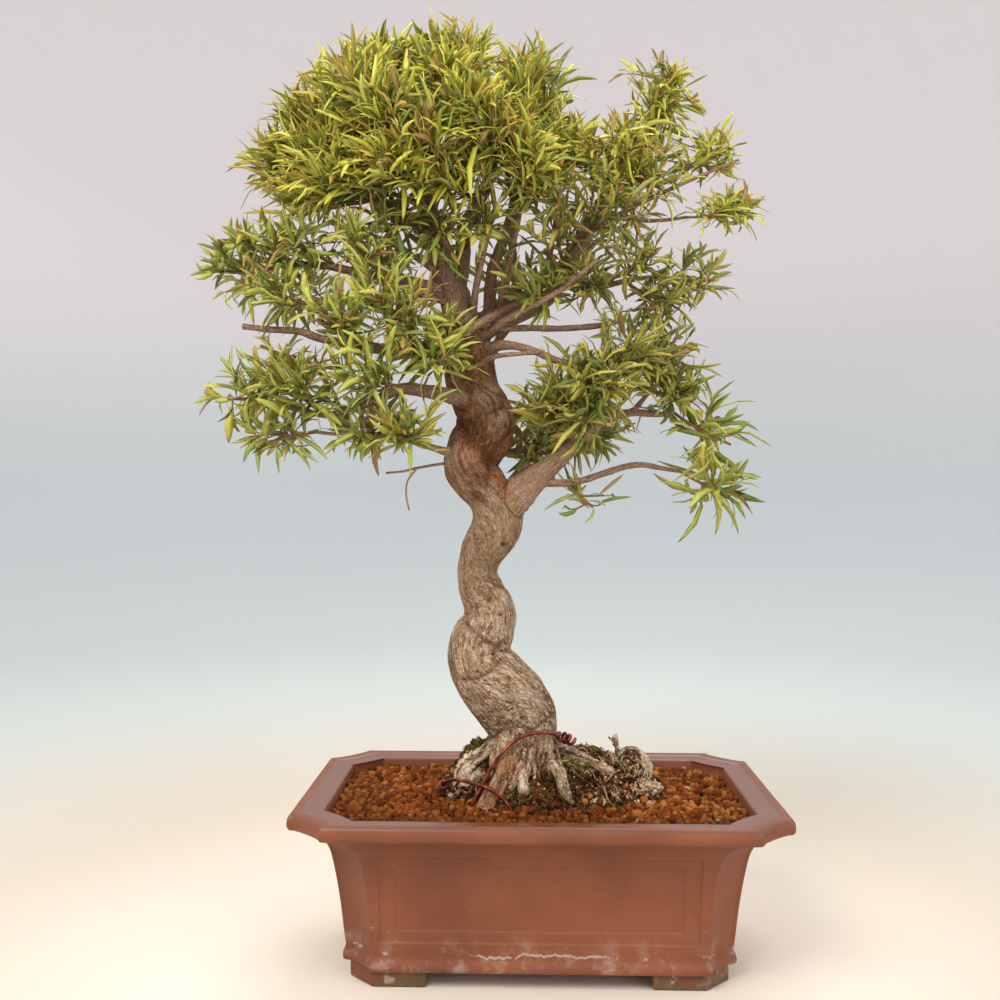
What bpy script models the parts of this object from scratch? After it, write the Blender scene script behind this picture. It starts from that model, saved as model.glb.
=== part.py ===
"""Willow leaf fig bonsai in a rectangular clay pot, in metres, with +Z up.

The pot is a lofted clay shell on four corner feet. It holds a block of grainy soil, and the soil holds the old
root ball, through which the tree's roots run. The wood is one solid: roots, winding trunk, fork, limbs and dead
stubs. Each leafy spray is a solid of its own: a stem that starts at the bark, its twigs and its narrow blades.
Everything is laid out round the middle of the pot's foot and is then moved, so that the origin lies under the
middle of the whole plant's box. +X is the viewer's right and -Y is the front.
"""

import math
import random

import bmesh
import bpy
import numpy as np
from mathutils import Matrix, Quaternion, Vector
from mathutils.bvhtree import BVHTree

# Clearance between pieces that touch
GAP = 0.0003
WELD = 2e-6
SHARP_ANGLE = math.radians(40.0)
POT_SHARP_ANGLE = math.radians(30.0)
WOOD_SHARP_ANGLE = math.radians(60.0)

# Pot: half sizes of the wall's foot, wall outline outwards from it, corners and panels
FOOT_HALF = (0.1205, 0.0665)
FOOT_CORNER = 0.0178
RIM_CORNER = 0.0230
CORNER_STEP = 0.0030
RIM_Z = 0.106
FOOT_Z = 0.010
WALL_PROFILE = (
    (0.0100, -0.0020), (0.0120, 0.0), (0.0155, 0.0), (0.0178, -0.0016), (0.0282, -0.0003), (0.0288, -0.0002),
    (0.0352, 0.0005), (0.0358, 0.0006), (0.0550, 0.0030), (0.0754, 0.0066), (0.0760, 0.0067), (0.0817, 0.0085),
    (0.0823, 0.0087), (0.0870, 0.0119), (0.0930, 0.0190), (0.0965, 0.0262), (0.0990, 0.0295), (0.1040, 0.0295),
)
RIM_TOP_PROFILE = ((0.1060, 0.0277), (0.1060, 0.0230), (0.1052, 0.0218))
FRONT_PANEL = (0.0955, 0.0855)
SIDE_PANEL = (0.0395, 0.0305)
PANEL_Z_OUTER = (0.0285, 0.0820)
PANEL_Z_INNER = (0.0355, 0.0758)
PANEL_DEPTH_OUTER = 0.0011
PANEL_DEPTH_INNER = 0.0008
PANEL_EDGE = 0.0002
CAVITY_PROFILE = (
    (0.018, -0.0080, 0.0150), (0.085, 0.0010, 0.0170), (0.096, 0.0100, 0.0185), (0.125, 0.0102, 0.0185),
)
DRAIN_HOLE_X = 0.060
DRAIN_HOLE_RADIUS = 0.009
LEG_INSET = 0.0045
LEG_FRONT_LENGTH = 0.048
LEG_SIDE_LENGTH = 0.034
LEG_WIDTH = 0.013
LEG_OVERLAP = 0.003

# Drain screens on the pot's floor
SCREEN_HALF = 0.016
SCREEN_THICKNESS = 0.0012
SCREEN_SLOTS = 3
SCREEN_SLOT_WIDTH = 0.004
SCREEN_BORDER = 0.004
POCKET_ROOM = 3.0 * GAP
DRILL_MARGIN = 0.002
DRAIN_SIDES = 20
PANEL_MARGIN = 0.001

# Soil
SOIL_EDGE_Z = 0.0985
SOIL_MOUND = 0.0115
MOUND_CENTRE_X = -0.010
MOUND_SPREAD = (0.062, 0.042)
SOIL_CELLS = (24, 15)
SOIL_OVERHANG = 0.014
GRAIN_RELIEF = 0.0026
GRAIN_SHIFT = 0.0016
SOIL_SEED = 11
GRAIN_CREST = (0.6, 1.0)
GRAIN_DIP = (-0.15, 0.15)

# Root ball
BALL_CENTRE = (0.006, 0.003)
BALL_HALF = (0.074, 0.050)
BALL_BOTTOM_Z = 0.055
BALL_EDGE_Z = 0.1035
BALL_RISE = 0.026
BALL_SECTORS = 20
BALL_RINGS = (0.34, 0.64, 0.87, 1.0)
BALL_LUMPS = 0.0026
BALL_DOME = 2.2
BALL_EDGE_CALM = 6
BALL_SEED = 23
# Waves of the ball's edge: size, times round and turn
BALL_LOBES = ((0.05, 3.0, 1.0), (0.03, 5.0, 0.0))
BALL_HOLE_TOP_Z = 0.166
MOSS_KNOLL = (-0.042, 0.006, 0.013, 0.018)

# Wood: each limb is a list of points x, y, z with the wood's radius there
TRUNK = (
    (-0.009, 0.002, 0.106, 0.0150), (-0.010, 0.002, 0.127, 0.0190), (-0.010, 0.000, 0.147, 0.0225),
    (-0.019, -0.003, 0.162, 0.0235), (-0.030, -0.006, 0.176, 0.0225), (-0.039, -0.006, 0.188, 0.0195),
    (-0.038, -0.003, 0.200, 0.0200), (-0.032, 0.002, 0.212, 0.0175), (-0.034, 0.006, 0.223, 0.0170),
    (-0.039, 0.008, 0.234, 0.0145), (-0.041, 0.008, 0.246, 0.0130), (-0.037, 0.005, 0.259, 0.0150),
    (-0.030, 0.000, 0.271, 0.0170), (-0.029, -0.004, 0.282, 0.0180), (-0.035, -0.007, 0.293, 0.0175),
    (-0.042, -0.008, 0.304, 0.0180), (-0.044, -0.006, 0.315, 0.0190), (-0.043, -0.002, 0.326, 0.0195),
    (-0.038, 0.003, 0.337, 0.0195), (-0.037, 0.006, 0.350, 0.0190), (-0.040, 0.008, 0.362, 0.0190),
    (-0.044, 0.008, 0.374, 0.0185), (-0.047, 0.006, 0.387, 0.0175), (-0.049, 0.003, 0.398, 0.0160),
    (-0.051, 0.000, 0.409, 0.0135),
)
LIMBS = {
    "left_leader": (
        (-0.050, 0.000, 0.406, 0.0120), (-0.055, -0.002, 0.423, 0.0105), (-0.061, -0.004, 0.439, 0.0095),
        (-0.066, -0.004, 0.456, 0.0085), (-0.071, -0.002, 0.472, 0.0072), (-0.075, 0.000, 0.489, 0.0060),
        (-0.078, 0.002, 0.506, 0.0050), (-0.084, 0.004, 0.523, 0.0040), (-0.089, 0.005, 0.540, 0.0030),
    ),
    "right_leader": (
        (-0.048, 0.002, 0.399, 0.0110), (-0.029, 0.006, 0.412, 0.0090), (-0.010, 0.010, 0.420, 0.0075),
        (0.005, 0.012, 0.429, 0.0065), (0.014, 0.010, 0.442, 0.0060), (0.022, 0.008, 0.454, 0.0055),
        (0.030, 0.006, 0.467, 0.0050), (0.037, 0.004, 0.483, 0.0044), (0.046, 0.002, 0.496, 0.0038),
        (0.056, 0.000, 0.509, 0.0030), (0.066, 0.000, 0.523, 0.0024), (0.071, 0.000, 0.536, 0.0019),
    ),
    "front_cross": (
        (-0.060, -0.010, 0.383, 0.0036), (-0.061, -0.021, 0.389, 0.0032), (-0.052, -0.023, 0.398, 0.0030),
        (-0.040, -0.020, 0.405, 0.0028), (-0.027, -0.012, 0.413, 0.0026), (-0.006, -0.002, 0.425, 0.0024),
        (0.012, 0.006, 0.437, 0.0022),
    ),
    "dome_left": (
        (-0.066, -0.004, 0.456, 0.0050), (-0.080, -0.012, 0.471, 0.0040), (-0.099, -0.016, 0.482, 0.0033),
        (-0.122, -0.015, 0.493, 0.0027), (-0.138, -0.011, 0.502, 0.0021),
    ),
    "dome_front": (
        (-0.071, -0.003, 0.472, 0.0042), (-0.073, -0.022, 0.483, 0.0035), (-0.082, -0.036, 0.499, 0.0028),
        (-0.087, -0.044, 0.509, 0.0021),
    ),
    "dome_middle": (
        (-0.055, 0.000, 0.422, 0.0055), (-0.051, 0.004, 0.450, 0.0050), (-0.050, 0.002, 0.471, 0.0048),
        (-0.042, 0.000, 0.485, 0.0044), (-0.034, -0.004, 0.501, 0.0038), (-0.030, -0.006, 0.520, 0.0030),
        (-0.034, -0.006, 0.538, 0.0022),
    ),
    "dome_back": (
        (-0.067, 0.000, 0.458, 0.0046), (-0.073, 0.024, 0.490, 0.0038), (-0.079, 0.042, 0.520, 0.0030),
        (-0.082, 0.050, 0.542, 0.0021),
    ),
    "dome_right": (
        (-0.033, 0.005, 0.410, 0.0046), (-0.033, 0.004, 0.427, 0.0042), (-0.031, 0.003, 0.445, 0.0038),
        (-0.023, 0.001, 0.466, 0.0034), (-0.017, -0.002, 0.485, 0.0030), (-0.008, -0.006, 0.502, 0.0024),
        (-0.001, -0.008, 0.514, 0.0019),
    ),
    "dome_back_right": (
        (-0.013, 0.010, 0.419, 0.0034), (-0.016, 0.016, 0.440, 0.0030), (-0.019, 0.024, 0.470, 0.0027),
        (-0.019, 0.032, 0.494, 0.0023), (-0.015, 0.042, 0.519, 0.0018),
    ),
    "left_high": (
        (-0.055, -0.002, 0.423, 0.0050), (-0.071, -0.010, 0.430, 0.0040), (-0.089, -0.016, 0.434, 0.0034),
        (-0.115, -0.018, 0.438, 0.0028), (-0.140, -0.018, 0.443, 0.0023), (-0.165, -0.015, 0.444, 0.0018),
    ),
    "left_middle": (
        (-0.048, 0.000, 0.394, 0.0060), (-0.064, -0.012, 0.389, 0.0048), (-0.087, -0.022, 0.387, 0.0038),
        (-0.113, -0.028, 0.390, 0.0032), (-0.137, -0.030, 0.394, 0.0027), (-0.153, -0.030, 0.399, 0.0023),
        (-0.170, -0.030, 0.400, 0.0020), (-0.188, -0.030, 0.402, 0.0018),
    ),
    "left_scarred": (
        (-0.112, -0.028, 0.389, 0.0030), (-0.118, -0.029, 0.397, 0.0029), (-0.129, -0.031, 0.405, 0.0027),
        (-0.139, -0.032, 0.411, 0.0024), (-0.147, -0.032, 0.416, 0.0019),
    ),
    "left_stub": (
        (-0.104, -0.026, 0.389, 0.0024), (-0.111, -0.035, 0.390, 0.0021), (-0.122, -0.040, 0.395, 0.0020),
        (-0.138, -0.042, 0.404, 0.0019),
    ),
    "left_low": (
        (-0.043, 0.004, 0.357, 0.0060), (-0.059, -0.014, 0.360, 0.0048), (-0.073, -0.022, 0.362, 0.0042),
        (-0.088, -0.027, 0.363, 0.0036), (-0.101, -0.029, 0.357, 0.0030), (-0.116, -0.030, 0.351, 0.0025),
        (-0.136, -0.030, 0.346, 0.0020), (-0.156, -0.028, 0.352, 0.0015),
    ),
    "left_low_twig": (
        (-0.099, -0.029, 0.358, 0.0018), (-0.106, -0.033, 0.347, 0.0014), (-0.115, -0.035, 0.339, 0.0013),
        (-0.126, -0.036, 0.334, 0.0012), (-0.140, -0.035, 0.335, 0.0010),
    ),
    "left_side_twig": (
        (-0.126, -0.030, 0.348, 0.0015), (-0.133, -0.021, 0.363, 0.0012), (-0.150, -0.014, 0.382, 0.0012),
        (-0.166, -0.012, 0.386, 0.0012), (-0.181, -0.012, 0.392, 0.0012),
    ),
    "low_branch": (
        (-0.044, -0.004, 0.320, 0.0040), (-0.061, -0.014, 0.324, 0.0026), (-0.071, -0.017, 0.327, 0.0021),
        (-0.085, -0.018, 0.331, 0.0017), (-0.098, -0.018, 0.336, 0.0012),
    ),
    "dead_twig": (
        (-0.050, -0.006, 0.317, 0.0016), (-0.063, -0.012, 0.316, 0.0010), (-0.080, -0.014, 0.313, 0.0009),
        (-0.088, -0.014, 0.311, 0.0008), (-0.099, -0.014, 0.310, 0.0007),
    ),
    "hanging_twig": (
        (-0.079, -0.014, 0.313, 0.0007), (-0.085, -0.014, 0.305, 0.0006), (-0.086, -0.014, 0.296, 0.0006),
        (-0.084, -0.014, 0.286, 0.0006),
    ),
    "right_low": (
        (-0.028, -0.004, 0.285, 0.0140), (-0.018, -0.006, 0.293, 0.0120), (-0.009, -0.006, 0.301, 0.0100),
        (0.001, -0.006, 0.310, 0.0075), (0.011, -0.006, 0.319, 0.0062), (0.028, -0.006, 0.334, 0.0052),
        (0.039, -0.005, 0.344, 0.0044), (0.049, -0.004, 0.348, 0.0029), (0.062, -0.003, 0.350, 0.0024),
        (0.076, -0.001, 0.349, 0.0019), (0.088, 0.000, 0.350, 0.0014),
    ),
    "right_low_up": (
        (0.060, -0.003, 0.350, 0.0020), (0.066, -0.004, 0.357, 0.0016), (0.070, -0.005, 0.362, 0.0013),
    ),
    "right_lowest": (
        (-0.001, -0.006, 0.308, 0.0040), (0.007, -0.006, 0.304, 0.0029), (0.025, -0.005, 0.305, 0.0023),
        (0.041, -0.004, 0.310, 0.0022), (0.057, -0.003, 0.315, 0.0021), (0.068, -0.002, 0.316, 0.0019),
        (0.079, 0.000, 0.314, 0.0016), (0.092, 0.002, 0.312, 0.0012),
    ),
    "fork_inner": (
        (-0.022, 0.000, 0.293, 0.0045), (-0.020, 0.006, 0.302, 0.0034), (-0.013, 0.008, 0.311, 0.0029),
        (-0.006, 0.010, 0.317, 0.0023),
    ),
    "fork_back": (
        (-0.040, 0.000, 0.322, 0.0050), (-0.026, 0.014, 0.324, 0.0030), (-0.013, 0.022, 0.326, 0.0025),
        (-0.003, 0.028, 0.331, 0.0018),
    ),
    "right_cut": (
        (-0.041, 0.002, 0.408, 0.0040), (-0.029, -0.008, 0.404, 0.0024), (-0.008, -0.010, 0.404, 0.0021),
        (0.013, -0.008, 0.404, 0.0020), (0.037, -0.006, 0.406, 0.0019), (0.051, -0.006, 0.409, 0.0016),
    ),
    "right_lower": (
        (-0.040, 0.002, 0.391, 0.0050), (-0.022, -0.010, 0.393, 0.0030), (-0.005, -0.014, 0.389, 0.0025),
        (0.009, -0.015, 0.383, 0.0024), (0.020, -0.015, 0.380, 0.0023), (0.040, -0.014, 0.374, 0.0021),
        (0.053, -0.013, 0.375, 0.0017),
    ),
    "right_middle": (
        (0.013, 0.010, 0.440, 0.0030), (0.029, 0.004, 0.433, 0.0023), (0.044, 0.002, 0.434, 0.0020),
        (0.059, 0.000, 0.437, 0.0017), (0.072, 0.000, 0.439, 0.0013),
    ),
    "right_top_side": (
        (0.038, 0.004, 0.486, 0.0028), (0.052, 0.000, 0.478, 0.0019), (0.066, 0.000, 0.476, 0.0015),
        (0.080, 0.000, 0.476, 0.0012), (0.096, 0.000, 0.478, 0.0010),
    ),
    "right_top_upper": (
        (0.046, 0.002, 0.496, 0.0026), (0.065, 0.002, 0.503, 0.0020), (0.082, 0.002, 0.507, 0.0015),
    ),
    "centre_back": (
        (-0.041, 0.012, 0.374, 0.0050), (-0.035, 0.032, 0.387, 0.0036), (-0.028, 0.050, 0.405, 0.0028),
        (-0.024, 0.058, 0.420, 0.0020),
    ),
    "left_back": (
        (-0.051, 0.004, 0.405, 0.0050), (-0.074, 0.024, 0.413, 0.0036), (-0.103, 0.038, 0.422, 0.0028),
        (-0.130, 0.044, 0.430, 0.0019),
    ),
    "right_back": (
        (0.006, 0.012, 0.431, 0.0036), (0.018, 0.030, 0.445, 0.0027), (0.031, 0.044, 0.462, 0.0022),
        (0.040, 0.050, 0.474, 0.0016),
    ),
    "low_back": (
        (-0.040, 0.012, 0.346, 0.0050), (-0.024, 0.034, 0.352, 0.0034), (0.000, 0.046, 0.358, 0.0026),
        (0.018, 0.051, 0.363, 0.0018),
    ),
    "snag": (
        (-0.058, -0.010, 0.384, 0.0032), (-0.062, -0.026, 0.391, 0.0026), (-0.057, -0.029, 0.404, 0.0023),
        (-0.053, -0.028, 0.418, 0.0020),
    ),
}
ROOTS = {
    "front_left": (
        (-0.011, -0.008, 0.147, 0.0140), (-0.017, -0.019, 0.133, 0.0110), (-0.022, -0.027, 0.120, 0.0092),
        (-0.027, -0.031, 0.109, 0.0082), (-0.030, -0.032, 0.097, 0.0064),
    ),
    "front_right": (
        (-0.001, -0.006, 0.147, 0.0130), (0.000, -0.017, 0.134, 0.0090), (-0.001, -0.023, 0.122, 0.0072),
        (-0.001, -0.026, 0.111, 0.0062), (0.000, -0.028, 0.098, 0.0050),
    ),
    "right": (
        (0.001, -0.008, 0.140, 0.0090), (0.008, -0.019, 0.127, 0.0050), (0.013, -0.025, 0.116, 0.0036),
        (0.018, -0.028, 0.105, 0.0030), (0.020, -0.029, 0.096, 0.0026),
    ),
    "left": (
        (-0.019, -0.003, 0.137, 0.0100), (-0.033, -0.010, 0.128, 0.0062), (-0.042, -0.013, 0.123, 0.0060),
        (-0.047, -0.014, 0.118, 0.0058), (-0.050, -0.013, 0.110, 0.0040), (-0.050, -0.012, 0.101, 0.0030),
    ),
    "back_left": (
        (-0.017, 0.008, 0.136, 0.0110), (-0.034, 0.021, 0.121, 0.0068), (-0.043, 0.026, 0.109, 0.0046),
        (-0.045, 0.027, 0.099, 0.0038),
    ),
    "back_right": (
        (-0.003, 0.008, 0.136, 0.0120), (0.016, 0.022, 0.122, 0.0075), (0.029, 0.028, 0.109, 0.0050),
        (0.033, 0.030, 0.099, 0.0040),
    ),
    "arch": (
        (0.000, 0.002, 0.134, 0.0100), (0.021, 0.002, 0.117, 0.0060), (0.038, 0.000, 0.109, 0.0044),
        (0.048, -0.002, 0.111, 0.0038), (0.052, -0.001, 0.120, 0.0034), (0.055, 0.000, 0.1265, 0.0030),
        (0.061, 0.001, 0.1292, 0.0030), (0.067, 0.002, 0.1258, 0.0031), (0.0705, 0.003, 0.1185, 0.0031),
        (0.071, 0.003, 0.110, 0.0029), (0.070, 0.004, 0.101, 0.0027),
    ),
    "stub": (
        (0.052, 0.000, 0.122, 0.0027), (0.050, 0.000, 0.131, 0.0021), (0.048, 0.000, 0.135, 0.0016),
        (0.045, 0.000, 0.139, 0.0010),
    ),
    "stub_prong": (
        (0.0505, 0.000, 0.130, 0.0018), (0.050, 0.001, 0.134, 0.0014), (0.0505, 0.001, 0.139, 0.0009),
    ),
}
TRUNK_SIDES = 10
TRUNK_STEP = 0.011
ROOT_STEP = 0.014
LIMB_STEP = 0.024
# Sides of a limb's tube: the first pair whose radius the limb is over
LIMB_SIDES = ((0.0055, 7), (0.0028, 5), (0.0, 4))

# Tie wires: points that they pass, before they are laid clear of the wood
WIRE_RADIUS = 0.0011
WIRE_SIDES = 5
WIRE_STEP = 0.006
UPPER_WIRE = (
    (-0.042, -0.030, 0.088), (-0.042, -0.030, 0.104), (-0.037, -0.032, 0.112), (-0.034, -0.033, 0.118),
    (-0.029, -0.034, 0.127), (-0.024, -0.034, 0.134), (-0.018, -0.032, 0.140), (-0.012, -0.030, 0.144),
    (-0.004, -0.028, 0.146), (0.004, -0.026, 0.146), (0.011, -0.022, 0.144),
)
UPPER_KNOT_END = (0.027, -0.014, 0.136)
LOWER_WIRE = (
    (-0.060, -0.026, 0.114), (-0.055, -0.028, 0.1165), (-0.047, -0.034, 0.117), (-0.040, -0.040, 0.117),
    (-0.032, -0.045, 0.116), (-0.025, -0.047, 0.112), (-0.018, -0.047, 0.104), (-0.014, -0.046, 0.090),
)
LOWER_KNOT_END = (-0.064, -0.015, 0.104)
KNOT_RADIUS = 0.0017
KNOT_TURNS = 2.0
KNOT_STEPS = 6
WIRE_ROOM = 1.05
WIRE_NUDGE = 0.0004
WIRE_TRIES = 200
SLEEVE_ROOM = 1.3

# Leaves and shoots
LEAF_WIDTH = 0.0098
LEAF_THICKNESS = 0.0011
LEAF_WIDEST = 0.42
LEAF_LENGTH = (0.021, 0.029)
LEAF_MARGIN = 0.00035
LEAF_TRIES = 30
LEAF_WIDTH_SPREAD = (0.88, 1.12)
LEAF_BEND = (0.03, 0.14)
LEAF_ARCH = 0.4
LEAF_ROOT_SHARE = 0.16
LEAF_SHRINK = 0.012
LEAF_WOBBLE = 0.06
LEAF_LEAST_RISE = 0.30
LEAF_TURN_OUT = 0.6
FACE_UP = 0.8
FACE_OUT = 0.5
FACE_ROLL = 0.6
FACE_LEAST = 0.05

# Stems: where they may leave a limb, their radius and taper, and how they bend in the search for a clear way
STEM_TRIES = 80
STEM_SIDES = 3
STEM_PLACES = (0.04, 0.96)
STEM_PLACE_STEP = 0.004
STEM_BEND_STEP = 0.0004
STEM_KNEE = 0.28
STEM_TAPER = (0.90, 0.82, 0.74)
STEM_ROOT_SHARE = 0.12
STEM_RADIUS = (0.0012, 0.0018)
STEM_RADIUS_SHARE = 0.5
STEM_TIP_FIT = 0.95
BARK_SEARCH = 0.006
LIMB_AIM_SHARE = 0.02

# Twigs and airy shoots
NODE_LENGTH = 0.0026
TWIG_RADIUS = 0.0010
TWIG_TAPER = (1.0, 0.85, 0.80)
TWIG_COLLAR = 0.0035
TWIG_BOW = 0.10
TWIG_BOW_END = 1.2
TWIG_WOBBLE = 0.05
TWIG_TURN_OUT = 0.25
TWIG_SHRINK = 0.02
TWIG_REACH = 0.55
TWIG_AHEAD = 0.45
TWIG_UP = 0.12
AIRY_STEM = 0.58
AIRY_NODE_SHARE = 0.75
AIRY_NODE_TAPER = (0.9, 0.8)
AIRY_AHEAD = 0.55
AIRY_SPREAD = 0.9
AIRY_RISE = 0.2
AIRY_UP = 0.18

# Cores of dense shoots: their rings as share along and share out, and their leaves
CORE_RINGS = ((-0.45, 0.89), (0.40, 0.92))
CORE_SCALE = 0.56
CORE_SHRINK = 0.9
CORE_TRIES = 12
CORE_ROOT = 0.0024
CORE_LIFT = 0.0003
CORE_LEAVES = 13
CORE_STEM = 0.62
DENSE_RISE = 0.5
DENSE_OUT = 0.6
DENSE_UP = 0.25
DENSE_REACH = (1.0, 1.22)
DENSE_LENGTH = (0.015, 0.030)
DENSE = "dense"
AIRY = "airy"

# Sprays: group, limb, place along the limb (1 is its tip), middle and half sizes of the leafy space, habit
SPRAYS = (
    ("dome", "dome_left", 1.00, (-0.162, -0.008, 0.505), (0.026, 0.024, 0.019), DENSE),
    ("dome", "dome_left", 0.80, (-0.143, -0.014, 0.533), (0.027, 0.024, 0.022), DENSE),
    ("dome", "dome_left", 0.55, (-0.121, -0.044, 0.484), (0.027, 0.024, 0.017), DENSE),
    ("dome", "dome_front", 1.00, (-0.091, -0.060, 0.520), (0.028, 0.026, 0.022), DENSE),
    ("dome", "dome_front", 0.60, (-0.089, -0.058, 0.487), (0.027, 0.024, 0.018), DENSE),
    ("dome", "left_leader", 1.00, (-0.098, 0.002, 0.570), (0.032, 0.028, 0.024), DENSE),
    ("dome", "dome_middle", 1.00, (-0.057, -0.006, 0.572), (0.031, 0.028, 0.023), DENSE),
    ("dome", "dome_middle", 0.80, (-0.047, -0.052, 0.523), (0.029, 0.028, 0.023), DENSE),
    ("dome", "dome_middle", 0.60, (-0.057, -0.046, 0.485), (0.026, 0.024, 0.017), DENSE),
    ("dome", "dome_right", 1.00, (0.011, -0.010, 0.509), (0.025, 0.026, 0.022), DENSE),
    ("dome", "dome_right", 0.85, (-0.011, -0.012, 0.552), (0.030, 0.028, 0.024), DENSE),
    ("dome", "dome_right", 0.60, (-0.014, -0.046, 0.494), (0.026, 0.026, 0.021), DENSE),
    ("dome", "dome_back", 1.00, (-0.078, 0.062, 0.578), (0.034, 0.028, 0.027), DENSE),
    ("dome", "dome_back", 0.60, (-0.116, 0.060, 0.541), (0.033, 0.028, 0.027), DENSE),
    ("dome", "dome_back", 0.35, (-0.067, 0.066, 0.527), (0.031, 0.026, 0.024), DENSE),
    ("dome", "dome_back_right", 1.00, (-0.022, 0.060, 0.559), (0.033, 0.028, 0.028), DENSE),
    ("dome", "dome_back_right", 0.60, (-0.002, 0.050, 0.518), (0.028, 0.026, 0.022), DENSE),
    ("dome", "left_leader", 0.60, (-0.144, 0.030, 0.531), (0.029, 0.028, 0.025), DENSE),
    ("left", "left_high", 1.00, (-0.191, -0.012, 0.440), (0.026, 0.024, 0.018), AIRY),
    ("left", "left_high", 0.70, (-0.138, -0.034, 0.453), (0.027, 0.026, 0.016), AIRY),
    ("left", "left_high", 0.40, (-0.101, -0.042, 0.449), (0.026, 0.026, 0.017), AIRY),
    ("left", "left_scarred", 1.00, (-0.158, -0.030, 0.423), (0.019, 0.020, 0.013), AIRY),
    ("left", "left_back", 1.00, (-0.152, 0.050, 0.438), (0.031, 0.028, 0.022), AIRY),
    ("left", "left_back", 0.50, (-0.104, 0.052, 0.460), (0.031, 0.028, 0.022), AIRY),
    ("left", "left_middle", 0.50, (-0.114, -0.054, 0.409), (0.027, 0.024, 0.019), AIRY),
    ("left", "left_middle", 0.20, (-0.078, -0.046, 0.408), (0.023, 0.024, 0.020), AIRY),
    ("lower_left", "left_low", 1.00, (-0.177, -0.028, 0.365), (0.028, 0.024, 0.021), AIRY),
    ("lower_left", "left_low", 0.72, (-0.137, -0.046, 0.367), (0.023, 0.022, 0.018), AIRY),
    ("lower_left", "left_low", 0.42, (-0.102, -0.050, 0.375), (0.026, 0.024, 0.017), AIRY),
    ("lower_left", "left_low_twig", 1.00, (-0.160, -0.032, 0.336), (0.024, 0.020, 0.014), AIRY),
    ("lower_left", "low_branch", 1.00, (-0.109, -0.020, 0.341), (0.023, 0.022, 0.015), AIRY),
    ("lower_left", "low_branch", 0.50, (-0.082, -0.042, 0.343), (0.021, 0.022, 0.016), AIRY),
    ("right_top", "right_leader", 1.00, (0.074, 0.000, 0.555), (0.028, 0.026, 0.024), AIRY),
    ("right_top", "right_leader", 0.85, (0.045, -0.032, 0.514), (0.026, 0.026, 0.021), AIRY),
    ("right_top", "right_top_upper", 1.00, (0.103, 0.002, 0.516), (0.028, 0.026, 0.020), AIRY),
    ("right_top", "right_top_side", 1.00, (0.116, 0.000, 0.481), (0.020, 0.016, 0.010), AIRY),
    ("right_top", "right_leader", 0.72, (0.069, 0.038, 0.527), (0.030, 0.028, 0.025), AIRY),
    ("right_middle", "right_leader", 0.55, (0.033, -0.036, 0.480), (0.024, 0.024, 0.019), AIRY),
    ("right_middle", "right_middle", 0.50, (0.050, -0.026, 0.447), (0.028, 0.026, 0.020), AIRY),
    ("right_middle", "right_middle", 1.00, (0.092, 0.000, 0.437), (0.026, 0.026, 0.022), AIRY),
    ("right_middle", "right_back", 1.00, (0.051, 0.058, 0.487), (0.031, 0.028, 0.024), AIRY),
    ("right_middle", "right_back", 0.40, (0.014, 0.050, 0.480), (0.027, 0.026, 0.022), AIRY),
    ("right_lower", "right_lower", 0.60, (0.033, -0.036, 0.369), (0.026, 0.024, 0.017), AIRY),
    ("right_lower", "right_lower", 1.00, (0.072, -0.008, 0.390), (0.026, 0.026, 0.025), AIRY),
    ("right_lower", "right_low", 0.70, (0.014, -0.030, 0.354), (0.025, 0.024, 0.020), AIRY),
    ("right_lower", "right_low_up", 1.00, (0.080, -0.004, 0.368), (0.022, 0.022, 0.017), AIRY),
    ("right_lower", "low_back", 1.00, (0.037, 0.058, 0.369), (0.031, 0.028, 0.025), AIRY),
    ("right_lower", "low_back", 0.50, (0.004, 0.052, 0.345), (0.027, 0.026, 0.024), AIRY),
    ("right_low", "right_low", 1.00, (0.107, 0.000, 0.339), (0.025, 0.024, 0.021), AIRY),
    ("right_low", "right_lowest", 1.00, (0.109, 0.002, 0.305), (0.022, 0.020, 0.017), AIRY),
    ("right_low", "right_lowest", 0.20, (0.026, -0.006, 0.295), (0.022, 0.018, 0.009), AIRY),
    ("inner", "centre_back", 1.00, (-0.028, 0.062, 0.452), (0.027, 0.028, 0.026), AIRY),
)

# Finishes: colour, roughness and, for metal, how metallic
FINISHES = {
    "fired_clay": ((0.27, 0.085, 0.047), 0.55),
    "screen_plastic": ((0.02, 0.02, 0.02), 0.6),
    "soil_grains": ((0.32, 0.115, 0.035), 0.95),
    "root_mat": ((0.14, 0.085, 0.045), 0.95),
    "bark": ((0.42, 0.27, 0.17), 0.85),
    "wire_lacquer": ((0.30, 0.055, 0.035), 0.35, 0.6),
    "leaf_yellow_green": ((0.30, 0.34, 0.055), 0.5),
    "leaf_lime": ((0.26, 0.34, 0.06), 0.5),
    "leaf_bright": ((0.28, 0.38, 0.05), 0.5),
    "leaf_fresh": ((0.27, 0.34, 0.06), 0.5),
    "leaf_mid": ((0.20, 0.29, 0.06), 0.5),
    "leaf_deep": ((0.15, 0.25, 0.06), 0.5),
    "leaf_soft": ((0.20, 0.31, 0.06), 0.5),
    "leaf_shade": ((0.12, 0.21, 0.06), 0.5),
}
GROUP_FINISH = {
    "dome": "leaf_yellow_green", "left": "leaf_lime", "lower_left": "leaf_bright", "right_top": "leaf_fresh",
    "right_middle": "leaf_mid", "right_lower": "leaf_deep", "right_low": "leaf_soft", "inner": "leaf_shade",
}

UP = Vector((0.0, 0.0, 1.0))


def clear_scene():
    """Remove every object, so that the model starts from nothing."""
    for old in list(bpy.data.objects):
        bpy.data.objects.remove(old, do_unlink=True)


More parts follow.
